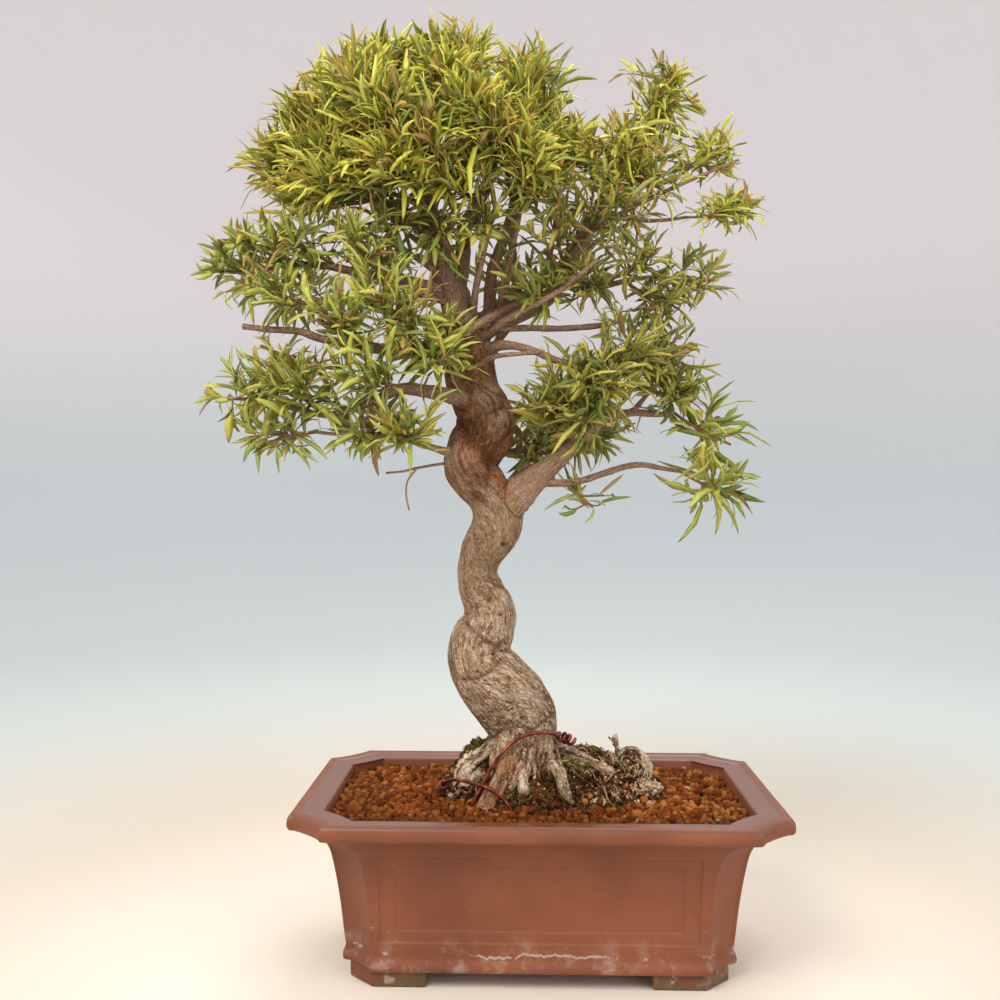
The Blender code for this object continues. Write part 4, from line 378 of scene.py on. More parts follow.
# Swellings between the folds: place across and up, reach and rise
SWELLINGS = metres((
    (-52, 317, 13, 2), (-27, 346, 13, 2.6), (-25, 240, 10, 1.2), (-40, 190, 14, 1.4), (-12, 168, 14, 1.2),
))
# Bare twigs inside the crown, each from a limb outwards
BARE_TWIGS = metres((
    ((-58, -4, 432, 2.2), (-74, -18, 444, 1.9), (-98, -30, 456, 1.5), (-124, -36, 464, 1)),
    ((-54, -4, 420, 2.2), (-78, -20, 424, 1.8), (-106, -30, 434, 1.4), (-134, -34, 440, 0.9)),
    ((-26, 5, 413, 2.6), (-24, -12, 430, 2.2), (-18, -22, 452, 1.8), (-12, -28, 480, 1.3)),
    ((-44, 0, 404, 2.8), (-42, -16, 424, 2.3), (-36, -26, 450, 1.8), (-28, -32, 478, 1.3)),
    ((6, 12, 430, 2.2), (6, -4, 448, 1.8), (10, -16, 474, 1.3)),
    ((-40, -4, 398, 2.6), (-18, -18, 410, 2.2), (10, -26, 424, 1.8), (36, -30, 444, 1.3)),
    ((-64, -4, 450, 2), (-84, -22, 462, 1.6), (-104, -34, 482, 1.1)),
    ((36, 4, 480, 2), (56, -6, 494, 1.7), (72, -10, 520, 1.4), (77, -12, 552, 1.1), (78.5, -12, 582, 0.7)),
    ((30, 6, 468, 2), (60, -2, 484, 1.6), (96, -6, 500, 1.2), (128, -8, 513, 0.8)),
    ((-46, -4, 376, 2), (-30, -20, 384, 1.6), (0, -28, 386, 1.1)),
))

# Tie wires: points that they pass before they are laid clear of the wood, the end of the knot, and if it
# comes first
WIRES = {
    "upper": (metres((
        (-42.5, -38.5, 92), (-41.5, -38, 104), (-37.5, -37, 111), (-34, -35.5, 118), (-29, -34, 127),
        (-24, -34, 134), (-18, -32, 140), (-12, -30, 144), (-4, -28, 146), (4, -26, 146), (11, -22, 144),
    )), metres((27, -14, 136)), False),
    "lower": (metres((
        (-60, -26, 114), (-55, -28, 116.5), (-47, -34, 117), (-40, -40, 117), (-32, -45, 116),
        (-25, -47, 112), (-18, -47, 104), (-14, -46, 90),
    )), metres((-64, -15, 104)), True),
}
WIRE_SIDES = 14
# A wire is laid clear of the wood in steps of this length, at most this many
LAY_STEP = 0.0003
LAY_STEPS = 160
# The twisted ends: share of the way to the knot's end that the twist takes, its turns and its reach
KNOT_SHARE = 0.66
KNOT_TURNS = 3.4
KNOT_REACH = 0.0030

# Sprays by group: limb, place along the limb in hundredths (100 is its tip), and the middle and half sizes of
# the leafy space in millimetres
SPRAYS = (
    ("dome", (
        ("dome_left", 100, -162, -8, 505, 26, 24, 19), ("dome_left", 80, -143, -14, 533, 27, 24, 22),
        ("dome_left", 55, -121, -44, 484, 27, 24, 17), ("dome_front", 100, -91, -60, 520, 28, 26, 22),
        ("dome_front", 60, -89, -58, 487, 27, 24, 18), ("left_leader", 100, -98, 2, 570, 32, 28, 24),
        ("dome_middle", 100, -57, -6, 572, 31, 28, 23), ("dome_middle", 80, -47, -52, 523, 29, 28, 23),
        ("dome_middle", 60, -57, -46, 485, 26, 24, 17), ("dome_right", 100, 11, -10, 509, 25, 26, 22),
        ("dome_right", 85, -11, -12, 552, 30, 28, 24), ("dome_right", 60, -14, -46, 494, 26, 26, 21),
        ("dome_back", 100, -78, 62, 578, 34, 28, 27), ("dome_back", 60, -116, 60, 541, 33, 28, 27),
        ("dome_back", 35, -67, 66, 527, 31, 26, 24), ("dome_back_right", 100, -22, 60, 559, 33, 28, 28),
        ("dome_back_right", 60, -2, 50, 518, 28, 26, 22), ("left_leader", 60, -144, 30, 531, 29, 28, 25),
    )),
    ("left", (
        ("left_high", 100, -191, -12, 440, 26, 24, 18), ("left_high", 70, -138, -34, 453, 27, 26, 16),
        ("left_high", 40, -101, -42, 449, 26, 26, 17), ("left_scarred", 100, -158, -30, 423, 19, 20, 13),
        ("left_back", 100, -152, 50, 438, 31, 28, 22), ("left_back", 50, -104, 52, 460, 31, 28, 22),
        ("left_middle", 50, -114, -54, 409, 27, 24, 19), ("left_middle", 20, -78, -46, 408, 23, 24, 20),
    )),
    ("lower_left", (
        ("left_low", 100, -177, -28, 365, 28, 24, 21), ("left_low", 72, -137, -46, 367, 23, 22, 18),
        ("left_low", 42, -102, -50, 375, 26, 24, 17), ("left_low_twig", 100, -160, -32, 336, 24, 20, 14),
        ("low_branch", 100, -109, -20, 341, 23, 22, 15), ("low_branch", 50, -82, -42, 343, 21, 22, 16),
    )),
    ("right_top", (
        ("right_leader", 100, 74, 0, 555, 28, 26, 24), ("right_leader", 85, 45, -32, 514, 26, 26, 21),
        ("right_top_upper", 100, 103, 2, 516, 28, 26, 20), ("right_top_side", 100, 116, 0, 481, 20, 16, 10),
        ("right_leader", 72, 69, 38, 527, 30, 28, 25),
    )),
    ("right_middle", (
        ("right_leader", 55, 33, -36, 480, 24, 24, 19), ("right_middle", 50, 50, -26, 447, 28, 26, 20),
        ("right_middle", 100, 92, 0, 437, 26, 26, 22), ("right_back", 100, 51, 58, 487, 31, 28, 24),
        ("right_back", 40, 14, 50, 480, 27, 26, 22),
    )),
    ("right_lower", (
        ("right_lower", 60, 33, -36, 369, 26, 24, 17), ("right_lower", 100, 72, -8, 390, 26, 26, 25),
        ("right_low", 70, 14, -30, 354, 25, 24, 20), ("right_low_up", 100, 80, -4, 368, 22, 22, 17),
        ("low_back", 100, 37, 58, 369, 31, 28, 25), ("low_back", 50, 4, 52, 345, 27, 26, 24),
    )),
    ("right_low", (
        ("right_low", 100, 107, 0, 339, 25, 24, 21), ("right_lowest", 100, 109, 2, 305, 22, 20, 17),
        ("right_lowest", 20, 26, -6, 295, 22, 18, 9),
    )),
    ("inner", (("centre_back", 100, -28, 62, 452, 27, 28, 26),)),
)
# Sprays that fill the crown between the CAD model's, in the same form
FILLING = (
    ("dome", (
        ("dome_left", 70, -128, -28, 508, 34, 26, 22), ("dome_front", 80, -112, -48, 540, 30, 26, 24),
        ("dome_middle", 90, -60, -40, 546, 30, 26, 24), ("dome_middle", 70, -30, -54, 508, 28, 22, 22),
        ("dome_front", 40, -70, -62, 504, 30, 22, 22), ("dome_middle", 85, -60, 26, 560, 30, 24, 22),
        ("left_leader", 85, -112, 30, 546, 30, 24, 22), ("dome_right", 80, -8, 24, 538, 28, 22, 22),
        ("left_leader", 80, -128, 10, 552, 28, 28, 22), ("dome_left", 60, -146, -18, 482, 26, 24, 18),
        ("dome_front", 35, -106, -50, 488, 30, 22, 16),
    )),
    ("left", (
        ("left_high", 85, -168, -24, 452, 26, 24, 16), ("left_middle", 35, -88, -50, 424, 26, 22, 16),
    )),
    ("lower_left", (
        ("left_middle", 10, -64, -42, 388, 20, 18, 18), ("left_low", 85, -156, -36, 378, 24, 22, 18),
    )),
    ("inner", (
        ("dome_middle", 30, -34, -36, 466, 24, 20, 18), ("right_leader", 45, -4, -40, 476, 28, 20, 18),
    )),
    ("right_middle", (("right_middle", 75, 68, -16, 420, 26, 22, 16),)),
    ("right_lower", (
        ("right_lower", 80, 48, -24, 392, 24, 22, 16), ("right_low", 40, 4, -28, 368, 18, 16, 18),
        ("low_back", 75, 14, 26, 356, 24, 20, 20), ("low_back", 40, -4, 24, 332, 18, 16, 14),
        ("right_low", 55, 26, 12, 338, 22, 18, 13),
    )),
    ("inner", (
        ("right_leader", 30, -8, -20, 428, 24, 18, 13), ("centre_back", 60, -10, 30, 440, 26, 20, 20),
    )),
    ("right_middle", (("right_middle", 30, 22, -12, 434, 22, 18, 15),)),
    ("inner", (
        ("dome_left", 30, -84, -30, 464, 26, 20, 16), ("dome_front", 20, -58, -36, 452, 22, 20, 16),
    )),
    ("right_top", (
        ("right_leader", 78, 60, -14, 494, 26, 24, 20), ("right_leader", 70, 38, -24, 500, 22, 22, 22),
        ("right_leader", 95, 74, -8, 540, 14, 16, 26),
    )),
)
SPRAY_SEED = 1000
# Habit: leaves on a shoot, their size, how far out the stem reaches, the shoots' lean outwards and up, their
# reach and sag, the lowest leaf's place, how far leaves turn up and the share of broad leaves
Habit = namedtuple("Habit", "leaves size stem lean lift reach sag lowest rise broad")
DENSE = Habit(9, 1.0, 0.30, 0.70, 0.30, 1.08, -0.10, 0.22, 0.34, 0.05)
AIRY = Habit(9, 1.0, 0.85, 0.45, 0.15, 1.12, -0.16, 0.10, 0.16, 0.10)
SPARSE = AIRY._replace(leaves=4, size=0.62)
# Sprays lower than this, from their middle up, are sparse
SPARSE_BELOW = 0.0095
# Groups of leaves: habit, shoots in a spray, share of orange-brown young leaves, length and width as shares
# of the usual ones, slot, and the settings of the older and the younger leaves' colours
# The colour settings are copies of one leaf colour with painted light and shade: brightest for the dome and
# the top right, darkest for the shaded middle, lower right and inner sprays
GROUPS = {
    "dome": (DENSE, 24, 0.9, 1.00, 1.08, "leaf_yellow_green", "lit_dome_dark", "lit_dome_light"),
    "left": (AIRY, 11, 0.8, 0.88, 1.12, "leaf_lime", "left_dark", "left_light"),
    "lower_left": (AIRY, 10, 0.7, 0.95, 1.15, "leaf_bright", "left_dark", "low_light"),
    "right_top": (AIRY, 14, 1.0, 0.72, 0.92, "leaf_fresh", "lit_dome_dark", "lit_dome_light"),
    "right_middle": (AIRY, 11, 0.5, 0.78, 0.95, "leaf_mid", "shade_dark", "shade_light"),
    "right_lower": (AIRY, 14, 0.3, 0.88, 1.15, "leaf_deep", "shade_dark", "shade_light"),
    "right_low": (AIRY, 6, 0.1, 1.12, 1.55, "leaf_soft", "left_dark", "left_light"),
    "inner": (AIRY, 8, 0.2, 0.95, 1.15, "leaf_shade", "shade_dark", "shade_light"),
}
# Sprays further back than this have fewer shoots
BACK_FROM = 0.020
BACK_SHARE = 0.75
CROWN_CENTRE = np.array([-0.050, 0.000, 0.440])
# A blade's stations along its length and the share of its width there
BLADE_ALONG = np.array([0.07, 0.27, 0.62, 0.87])
BLADE_WIDTH = np.array([0.26, 0.92, 1.00, 0.55])
BLADE_FOLD = 0.30
BLADE_BOW = 0.11
BLADE_THICKNESS = 0.00016
# Usual value and spread of a blade's droop, sweep to a side and twist
BLADE_BENDS = ((0.12, 0.25), (0.0, 0.27), (0.0, 0.9))
STEM_STATIONS = 6
# Radii of a spray's stem and of its shoots, from their foot to their tip
STEM_RADII = (0.0016, 0.0009)
SHOOT_RADII = (0.00085, 0.00035)
# How far leaves may pass the CAD model's box, as shares of its sides; back and up they stay a little inside
SIZE_MARGIN = (0.020, -0.012, -0.012)

# Middle of the lime line and of the wet edge on the pot's front
LIME_MIDDLE_X = 0.032

# Lights: place, aim, size and colour
LIGHTS = {
    "key": ((-0.75, -1.05, 1.45), (0.0, 0.0, 0.30), 0.9, (1.0, 0.98, 0.95)),
    "fill": ((1.15, -0.95, 0.85), (0.0, 0.0, 0.25), 1.2, (0.95, 0.98, 1.0)),
    "back": ((0.25, 1.10, 1.55), (0.0, 0.0, 0.40), 1.0, (1.0, 1.0, 1.0)),
}
# The studio cove: distance from the plant and height along its profile, and its step, sides and drop
COVE_PROFILE = (
    (0.10, 0.0), (0.60, 0.0), (1.20, 0.0), (1.60, 0.05), (1.95, 0.28), (2.10, 0.75), (2.12, 1.40),
    (2.12, 2.10),
)
COVE_STEP = 0.06
COVE_SIDES = 96
COVE_DROP = 0.0002


def unit(vectors):
    """The vectors with length one."""
    return vectors / np.maximum(np.linalg.norm(vectors, axis=-1, keepdims=True), 1e-12)


def lattice(corners, seed):
    """A fixed random value from -1 to 1 at each lattice corner: the fraction left by a large sine."""
    mixed = corners @ np.array([127.1, 311.7, 74.7]) + seed * 19.19
    return 2.0 * np.modf(np.abs(np.sin(mixed) * 43758.5453))[0] - 1.0


def noise(points, size, seed=0):
    """Smooth random values from -1 to 1: lattice values, eased between the eight corners of each cell."""
    cell = points / size
    whole = np.floor(cell)
    part = cell - whole
    ease = part * part * (3.0 - 2.0 * part)
    total = np.zeros(points.shape[:-1])
    for corner in range(8):
        step = np.array([corner & 1, corner >> 1 & 1, corner >> 2 & 1])
        weight = np.prod(np.where(step, ease, 1.0 - ease), axis=-1)
        total = total + weight * lattice(whole + step, seed)
    return total


def rough(points, size, octaves, seed):
    """Noise of several sizes added up: each octave is half as large and half as strong as the one before."""
    total = np.zeros(points.shape[:-1])
    for octave in range(octaves):
        total = total + noise(points, size / 2.0 ** octave, seed + octave) / 2.0 ** octave
    return total


def eased(values, low, high):
    """0 below low, 1 above high, and an S-shaped rise between."""
    share = np.clip((values - low) / (high - low), 0.0, 1.0)
    return share * share * (3.0 - 2.0 * share)


def curve_through(points, step):
    """Catmull-Rom curve through the points, with about one step between stations. A radius in the fourth
    column is carried along."""
    line = np.array(points, float)
    padded = np.vstack([2 * line[0] - line[1], line, 2 * line[-1] - line[-2]])
    stations = []
    for index in range(len(line) - 1):
        p0, p1, p2, p3 = padded[index:index + 4]
        count = max(1, round(float(np.linalg.norm((p2 - p1)[:3])) / step))
        t = (np.arange(count) / count)[:, None]
        stations.append(
            0.5 * (2 * p1 + (p2 - p0) * t + (2 * p0 - 5 * p1 + 4 * p2 - p3) * t ** 2
                   + (3 * p1 - p0 - 3 * p2 + p3) * t ** 3)
        )
    return np.vstack([*stations, line[-1:]])


def run_along(line):
    """The distance from a line's start to each of its stations."""
    return np.concatenate([[0.0], np.cumsum(np.linalg.norm(np.diff(line[:, :3], axis=0), axis=1))])


def towards(angle):
    """Directions in plan at the given angles."""
    return np.stack([np.cos(angle), np.sin(angle)], axis=-1)


def circle(count):
    """Directions all round."""
    return towards(2.0 * math.pi * np.arange(count) / count)


def raised(plan, height):
    """Places in plan with their heights."""
    return np.concatenate([plan, np.broadcast_to(height, plan.shape[:-1])[..., None]], axis=-1)


def ring_quads(rows, columns):
    """Quads between neighbouring rings of a grid that is closed round its columns."""
    row, column = np.meshgrid(np.arange(rows - 1), np.arange(columns), indexing="ij")
    here = row * columns + column
    after = row * columns + (column + 1) % columns
    return np.stack([here, after, after + columns, here + columns], axis=-1).reshape(-1, 4)


def fans(rows, columns):
    """Triangles from the first pole to the first ring and from the last ring to the last pole."""
    side = np.arange(columns)
    after = (side + 1) % columns
    first = np.full(columns, rows * columns)
    start = (rows - 1) * columns
    return np.concatenate([
        np.stack([first, after, side], axis=-1), np.stack([first + 1, start + side, start + after], axis=-1),
    ])


def closed(rings, first, last):
    """A closed mesh from a stack of rings and a pole before the first and after the last."""
    rows, columns = rings.shape[:2]
    points = np.vstack([rings.reshape(-1, 3), first, last])
    return points, [ring_quads(rows, columns), fans(rows, columns)]


def repeated(faces, count, size):
    """The same faces for many copies of a shape of that many points."""
    return (faces[None] + (np.arange(count) * size)[:, None, None]).reshape(-1, faces.shape[-1])


def closed_copies(rings, first, last):
    """Many closed meshes of the same form: stacks of rings, each with its two poles."""
    count, rows, columns = rings.shape[:3]
    poles = np.stack([first, last], axis=1)
    points = np.concatenate([rings.reshape(count, -1, 3), poles], axis=1)
    forms = (ring_quads(rows, columns), fans(rows, columns))
    faces = [repeated(form, count, rows * columns + 2) for form in forms]
    return points.reshape(-1, 3), faces


def carried_frames(paths):
    """Directions ahead and across along many paths; the one across is carried on from station to station
    untwisted."""
    ahead = unit(np.gradient(paths, axis=1))
    seed = np.where(np.abs(ahead[:, 0, 2:]) < 0.9, UP, np.array([1.0, 0.0, 0.0]))
    step = np.cross(ahead[:, 0], seed)
    across = np.empty_like(ahead)
    for station in range(paths.shape[1]):
        facing = ahead[:, station]
        step = unit(step - facing * np.sum(step * facing, axis=-1, keepdims=True))
        across[:, station] = step
    return ahead, across, np.cross(ahead, across)


def rings_round(paths, reach, sides):
    """Rings of points round many paths, each point at its reach from the path."""
    _, across, other = carried_frames(paths)
    ring = circle(sides)
    facing = ring[:, :1] * across[:, :, None] + ring[:, 1:] * other[:, :, None]
    return paths[:, :, None] + reach[..., None] * facing


def tubes(paths, radii, sides):
    """Closed rods along many paths: a circle of the local radius round each station, and a pole at each
    end."""
    return closed_copies(rings_round(paths, radii[:, :, None], sides), paths[:, 0], paths[:, -1])


def joined(parts):
    """Several meshes as one: points stacked, and faces of equal size gathered with their numbers moved on."""
    points, faces, start = [], defaultdict(list), 0
    for part_points, part_faces in parts:
        points.append(part_points)
        for group in part_faces:
            faces[group.shape[1]].append(group + start)
        start += len(part_points)
    return np.concatenate(points), [np.concatenate(groups) for groups in faces.values()]


def keep_values(mesh, values):
    """Keep numbers or vectors on a mesh's points."""
    for key, value in values.items():
        kind, field = ("FLOAT", "value") if value.ndim == 1 else ("FLOAT_VECTOR", "vector")
        made = mesh.attributes.new(key, kind, "POINT")
        made.data.foreach_set(field, np.asarray(value, np.float32).ravel())


def mesh_from(name, points, faces):
    """A mesh from arrays of points and faces."""
    mesh = bpy.data.meshes.new(name)
    mesh.vertices.add(len(points))
    mesh.vertices.foreach_set("co", np.asarray(points, np.float32).ravel())
    corners = np.concatenate([group.ravel() for group in faces])
    totals = np.concatenate([np.full(len(group), group.shape[1]) for group in faces])
    mesh.loops.add(len(corners))
    mesh.loops.foreach_set("vertex_index", corners.astype(np.int32))
    mesh.polygons.add(len(totals))
    mesh.polygons.foreach_set("loop_start", (np.cumsum(totals) - totals).astype(np.int32))
    mesh.update(calc_edges=True)
    mesh.validate()
    return mesh


def linked(name, data):
    """A new object in the scene."""
    made = bpy.data.objects.new(name, data)
    bpy.context.scene.collection.objects.link(made)
    return made


def smooth_mesh(mesh, finish):
    """Shade a mesh smoothly, with one material."""
    mesh.polygons.foreach_set("use_smooth", np.full(len(mesh.polygons), True))
    mesh.materials.clear()
    mesh.materials.append(finish)


def piece(name, mesh, finish, nodes=()):
    """Put a mesh into the scene as a finished piece that rides on the plant and stands for its CAD nodes."""
    smooth_mesh(mesh, finish)
    made = linked(name, mesh)
    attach(made, BODY)
    if nodes:
        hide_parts(*nodes)


def piece_from(name, shape, finish, slot, nodes=(), **values):
    """A piece from points and faces in the pot's frame, with the given values kept on its points."""
    points, faces = shape
    mesh = mesh_from(name, points + PLACE, faces)
    keep_values(mesh, values)
    piece(name, mesh, finish, nodes)


def worked(mesh, *modifiers):
    """A mesh after modifiers: each is a type with its settings."""
    holder = linked("holder", mesh)
    for kind, settings in modifiers:
        change = holder.modifiers.new(kind.lower(), kind)
        for key, value in settings.items():
            setattr(change, key, value)
    view = bpy.context.evaluated_depsgraph_get()
    result = bpy.data.meshes.new_from_object(holder.evaluated_get(view))
    bpy.data.objects.remove(holder, do_unlink=True)
    return result


def merged(name, meshes):
    """Several finished meshes in one."""
    holders = [linked("part", mesh) for mesh in meshes]
    with bpy.context.temp_override(active_object=holders[0], selected_editable_objects=holders):
        bpy.ops.object.join()
    mesh = holders[0].data
    mesh.name = name
    bpy.data.objects.remove(holders[0], do_unlink=True)
    return mesh


def read_points(mesh, field="co"):
    """A mesh's points, or another field of them, as an array."""
    flat = np.empty(len(mesh.vertices) * 3, np.float32)
    mesh.vertices.foreach_get(field, flat)
    return flat.reshape(-1, 3).astype(float)


def operation(kind, swapped=False):
    """An operator of Socket that adds a Math node; swapped, its other value comes first."""

    def method(self, other):
        return self.paint.maths(kind, *((other, self) if swapped else (self, other)))

    return method


class Socket:
    """An output of a material's node, with arithmetic that adds Math nodes."""

    __add__ = operation("ADD")
    __radd__ = operation("ADD", swapped=True)
    __sub__ = operation("SUBTRACT")
    __rsub__ = operation("SUBTRACT", swapped=True)
    __mul__ = operation("MULTIPLY")
    __rmul__ = operation("MULTIPLY", swapped=True)
    __pow__ = operation("POWER")

    def __init__(self, paint, socket):
        self.paint = paint
        self.socket = socket

    def rise(self, low, high):
        """0 below low, 1 above high, and an S-shaped rise between."""
        values = {"Value": self, "From Min": low, "From Max": high}
        return self.paint.node("ShaderNodeMapRange", {"interpolation_type": "SMOOTHSTEP"}, values)

    def fall(self, low, high):
        """1 below low, 0 above high, and an S-shaped fall between."""
        return 1.0 - self.rise(low, high)

    def band(self, low, high):
        """1 between a rise and a fall, each given by its two ends."""
        return self.rise(*low) * self.fall(*high)


class Paint:
    """One material in the making: its place on the piece, and the colour so far."""

    def __init__(self, name, roughness, specular, metallic=0.0):
        self.material = bpy.data.materials.new(name)
        self.material.use_nodes = True
        self.tree = self.material.node_tree
        self.shader = self.tree.nodes["Principled BSDF"]
        self.shader.inputs["Roughness"].default_value = roughness
        self.shader.inputs["Metallic"].default_value = metallic
        self.shader.inputs["Specular IOR Level"].default_value = specular
        self.place = self.node("ShaderNodeTexCoord", output=3)
        self.colour = None

    def node(self, kind, settings=None, values=None, output=0):
        """Any node: its settings are set first, then its sockets are given values or links."""
        made = self.tree.nodes.new(kind)
        for key, value in (settings or {}).items():
            setattr(made, key, value)
        for key, value in (values or {}).items():
            if isinstance(value, Socket):
                self.tree.links.new(value.socket, made.inputs[key])
            else:
                made.inputs[key].default_value = value
        return Socket(self, made.outputs[output])

    def maths(self, kind, *values):
        """A Math node on values."""
        return self.node("ShaderNodeMath", {"operation": kind}, dict(enumerate(values)))

    def kept(self, name, output=2):
        """A number kept on the mesh's points, or a vector with output 1."""
        return self.node("ShaderNodeAttribute", {"attribute_name": name}, output=output)

    def parts(self, vector):
        """The three numbers of a vector."""
        split = self.node("ShaderNodeSeparateXYZ", None, {0: vector})
        return [Socket(self, output) for output in split.socket.node.outputs]

    def placed(self, scale, vector=None):
        """A pattern's place, the piece's own or a kept vector, stretched."""
        return self.node("ShaderNodeMapping", None, {"Vector": vector or self.place, "Scale": scale})

    def noise(self, scale, detail=3.0, roughness=0.55, distortion=0.0, at=None):
        """Soft random values from 0 to 1."""
        values = {
            "Vector": at or self.place, "Scale": scale, "Detail": detail, "Roughness": roughness,
            "Distortion": distortion,
        }
        return self.node("ShaderNodeTexNoise", None, values)

    def cells(self, scale, feature="F1", at=None):
        """Distance to the nearest of many scattered points, or to the edge between two of them."""
        values = {"Vector": at or self.place, "Scale": scale}
        return self.node("ShaderNodeTexVoronoi", {"feature": feature}, values)

    def mix(self, share, colour_a, colour_b):
        """Two colours mixed by a share."""
        values = {0: share, 6: with_alpha(colour_a), 7: with_alpha(colour_b)}
        return self.node("ShaderNodeMix", {"data_type": "RGBA"}, values, output=2)

    def start(self, share, colour_a, colour_b):
        """Begin with two colours mixed by a share."""
        self.colour = self.mix(share, colour_a, colour_b)

    def start_ramp(self, value, *stops):
        """Begin with a colour that changes with a value through the given stops of place and colour."""
        self.colour = self.node("ShaderNodeValToRGB", None, {0: value})
        ramp = self.colour.socket.node.color_ramp
        while len(ramp.elements) < len(stops):
            ramp.elements.new(1.0)
        for element, (place, colour) in zip(ramp.elements, stops):
            element.position = place
            element.color = (*colour, 1.0)

    def cover(self, share, colour):
        """Lay a colour over the ones so far, by a share."""
        self.colour = self.mix(share, self.colour, colour)

    def finished(self, relief=None, distance=0.0, strength=1.0, roughness=None):
        """Link the colour, a varying roughness and a relief in metres to the shader, and give the
        material."""
        inputs = {"Base Color": self.colour, "Roughness": roughness}
        if relief:
            values = {"Height": relief, "Distance": distance, "Strength": strength}
            inputs["Normal"] = self.node("ShaderNodeBump", None, values)
        for key, value in inputs.items():
            if value:
                self.tree.links.new(value.socket, self.shader.inputs[key])
        return self.material


def with_alpha(colour):
    """A colour that a socket accepts: a link as it is, or three numbers with a fourth added."""
    return colour if isinstance(colour, Socket) else (*colour[:3], 1.0)


def clay_finish(settings):
    """Unglazed brown clay: mottled by the fire, paler where it was rubbed, with lime streaks near the foot,
    fine pits, a smoother, greyer band on the rim and painted shade under the lip."""
    paint = Paint("clay_wall", 0.5, 0.45)
    x, y, z = paint.parts(paint.place)
    fine = paint.noise(190.0, 4.0, 0.65)
    brushed = paint.noise(1.0, at=paint.placed((18.0, 18.0, 260.0)))
    paint.start(paint.noise(14.0, 4.0).rise(0.32, 0.70), settings.clay_dark, settings.clay_light)
    paint.cover(brushed.rise(0.45, 0.75) * 0.12, settings.clay_rubbed)
    speckle = paint.cells(420.0).rise(0.0, 0.16)
    paint.cover((1.0 - speckle) * fine.rise(0.52, 0.62) * 0.55, settings.lime)
    wall = paint.placed((1.0, 1.0, 0.0))
    waves = paint.noise(42.0, 4.0, 0.7, at=wall) * 0.014 + paint.noise(230.0, 2.0, at=wall) * 0.006
    off_line = paint.maths("ABSOLUTE", z - (0.0105 + waves))
    off_middle = paint.maths("ABSOLUTE", x - LIME_MIDDLE_X)
    patchy = paint.noise(60.0, 4.0, 0.6) + 0.12 * off_middle.fall(0.030, 0.048)
    paint.cover(off_line.fall(0.0002, 0.0011) * patchy.rise(0.53, 0.60) * 0.80, settings.lime)
    dust = z.fall(0.012, 0.040) * paint.noise(60.0, 4.0, 0.7).rise(0.46, 0.72)
    paint.cover(dust * 0.42, settings.lime)
    scuffs = paint.noise(1.0, 5.0, 0.75, at=paint.placed((28.0, 28.0, 90.0))).rise(0.62, 0.74)
    paint.cover(scuffs * 0.33 * z.rise(0.02, 0.03), settings.lime)
    rim = z.band((0.1036, 0.1046), (0.1052, 0.1057))
    paint.cover(rim * 0.65, settings.rim_grey)
    foot = z.fall(0.0092, 0.0104)
    paint.cover(foot * paint.noise(95.0, 5.0, 0.7).rise(0.36, 0.56) * 0.85, settings.foot_stain)
    paint.cover(foot * paint.noise(130.0, 4.0).rise(0.60, 0.68) * 0.5, settings.lime)
    # Painted shade: a darker band under the overhang of the lip
    paint.cover(z.band((0.0835, 0.091), (0.094, 0.098)) * 0.20, (0.10, 0.045, 0.03))
    wet = (0.0 - y).band((0.0790, 0.0820), (0.0880, 0.0910)) * z.rise(0.098, 0.101)
    wet = wet * (off_middle + (fine - 0.5) * 0.02).fall(0.028, 0.052)
    paint.cover(wet * 0.60, settings.clay_wet)
    shine = 0.50 + 0.16 * fine - 0.26 * rim + 0.25 * foot - 0.12 * wet
    return paint.finished(fine * 0.35 + brushed * 0.15 + speckle * 0.35, 0.00045, 0.55, shine)


def grain_finish(settings):
    """Baked clay grains: orange-brown lumps, each of its own tone, darker where wet, with pale and white ones
    among them and a dusty, crumbled surface."""
    paint = Paint("soil_grain", 0.93, 0.07)
    paint.start_ramp(
        paint.kept("tone"), (0.0, settings.wet), (0.35, settings.brown), (0.70, settings.orange),
        (0.93, settings.pale), (0.975, (0.42, 0.36, 0.27)),
    )
    front = 0.0 - paint.parts(paint.place)[1]
    paint.cover(paint.noise(24.0).rise(0.42, 0.62) * 0.55, settings.wet)
    paint.cover(front.rise(0.040, 0.072) * 0.45, settings.wet)
    crumb = paint.noise(900.0, 4.0, 0.7)
    paint.cover(crumb.rise(0.45, 0.75) * 0.35, settings.pale)
    paint.cover(paint.noise(1500.0, 2.0).fall(0.30, 0.44) * 0.35, (0.05, 0.015, 0.005))
    return paint.finished(crumb, 0.0006, 0.8)


def mat_finish(settings):
    """The old root mat: dark crumbly earth with pale patches and moss in patches."""
    paint = Paint("root_mat_earth", 0.96, 0.15)
    cloud = paint.noise(120.0, 5.0, 0.7)
    paint.start_ramp(
        cloud, (0.34, (0.008, 0.005, 0.003)), (0.52, settings.earth), (0.66, settings.fibre_dark),
        (0.80, settings.fibre),
    )
    paint.cover(paint.noise(38.0).rise(0.52, 0.62) * 0.6, settings.moss_dark)
    paint.cover(paint.noise(70.0).rise(0.58, 0.66) * 0.7, (0.13, 0.035, 0.012))
    return paint.finished(cloud, 0.0016, 0.9)


def crumb_finish(settings):
    """Crumbs of the root mat: near-black earth, brown crumbs and pale bits of dry root."""
    paint = Paint("root_mat_crumb", 0.96, 0.05)
    grit = paint.noise(1100.0, 3.0, 0.7)
    paint.start_ramp(
        paint.kept("tone"), (0.0, (0.010, 0.006, 0.004)), (0.30, settings.earth), (0.55, settings.fibre_dark),
        (0.80, settings.fibre), (1.0, (0.62, 0.52, 0.36)),
    )
    paint.cover(grit.rise(0.50, 0.70) * 0.5, settings.earth)
    return paint.finished(grit, 0.0004, 0.6)


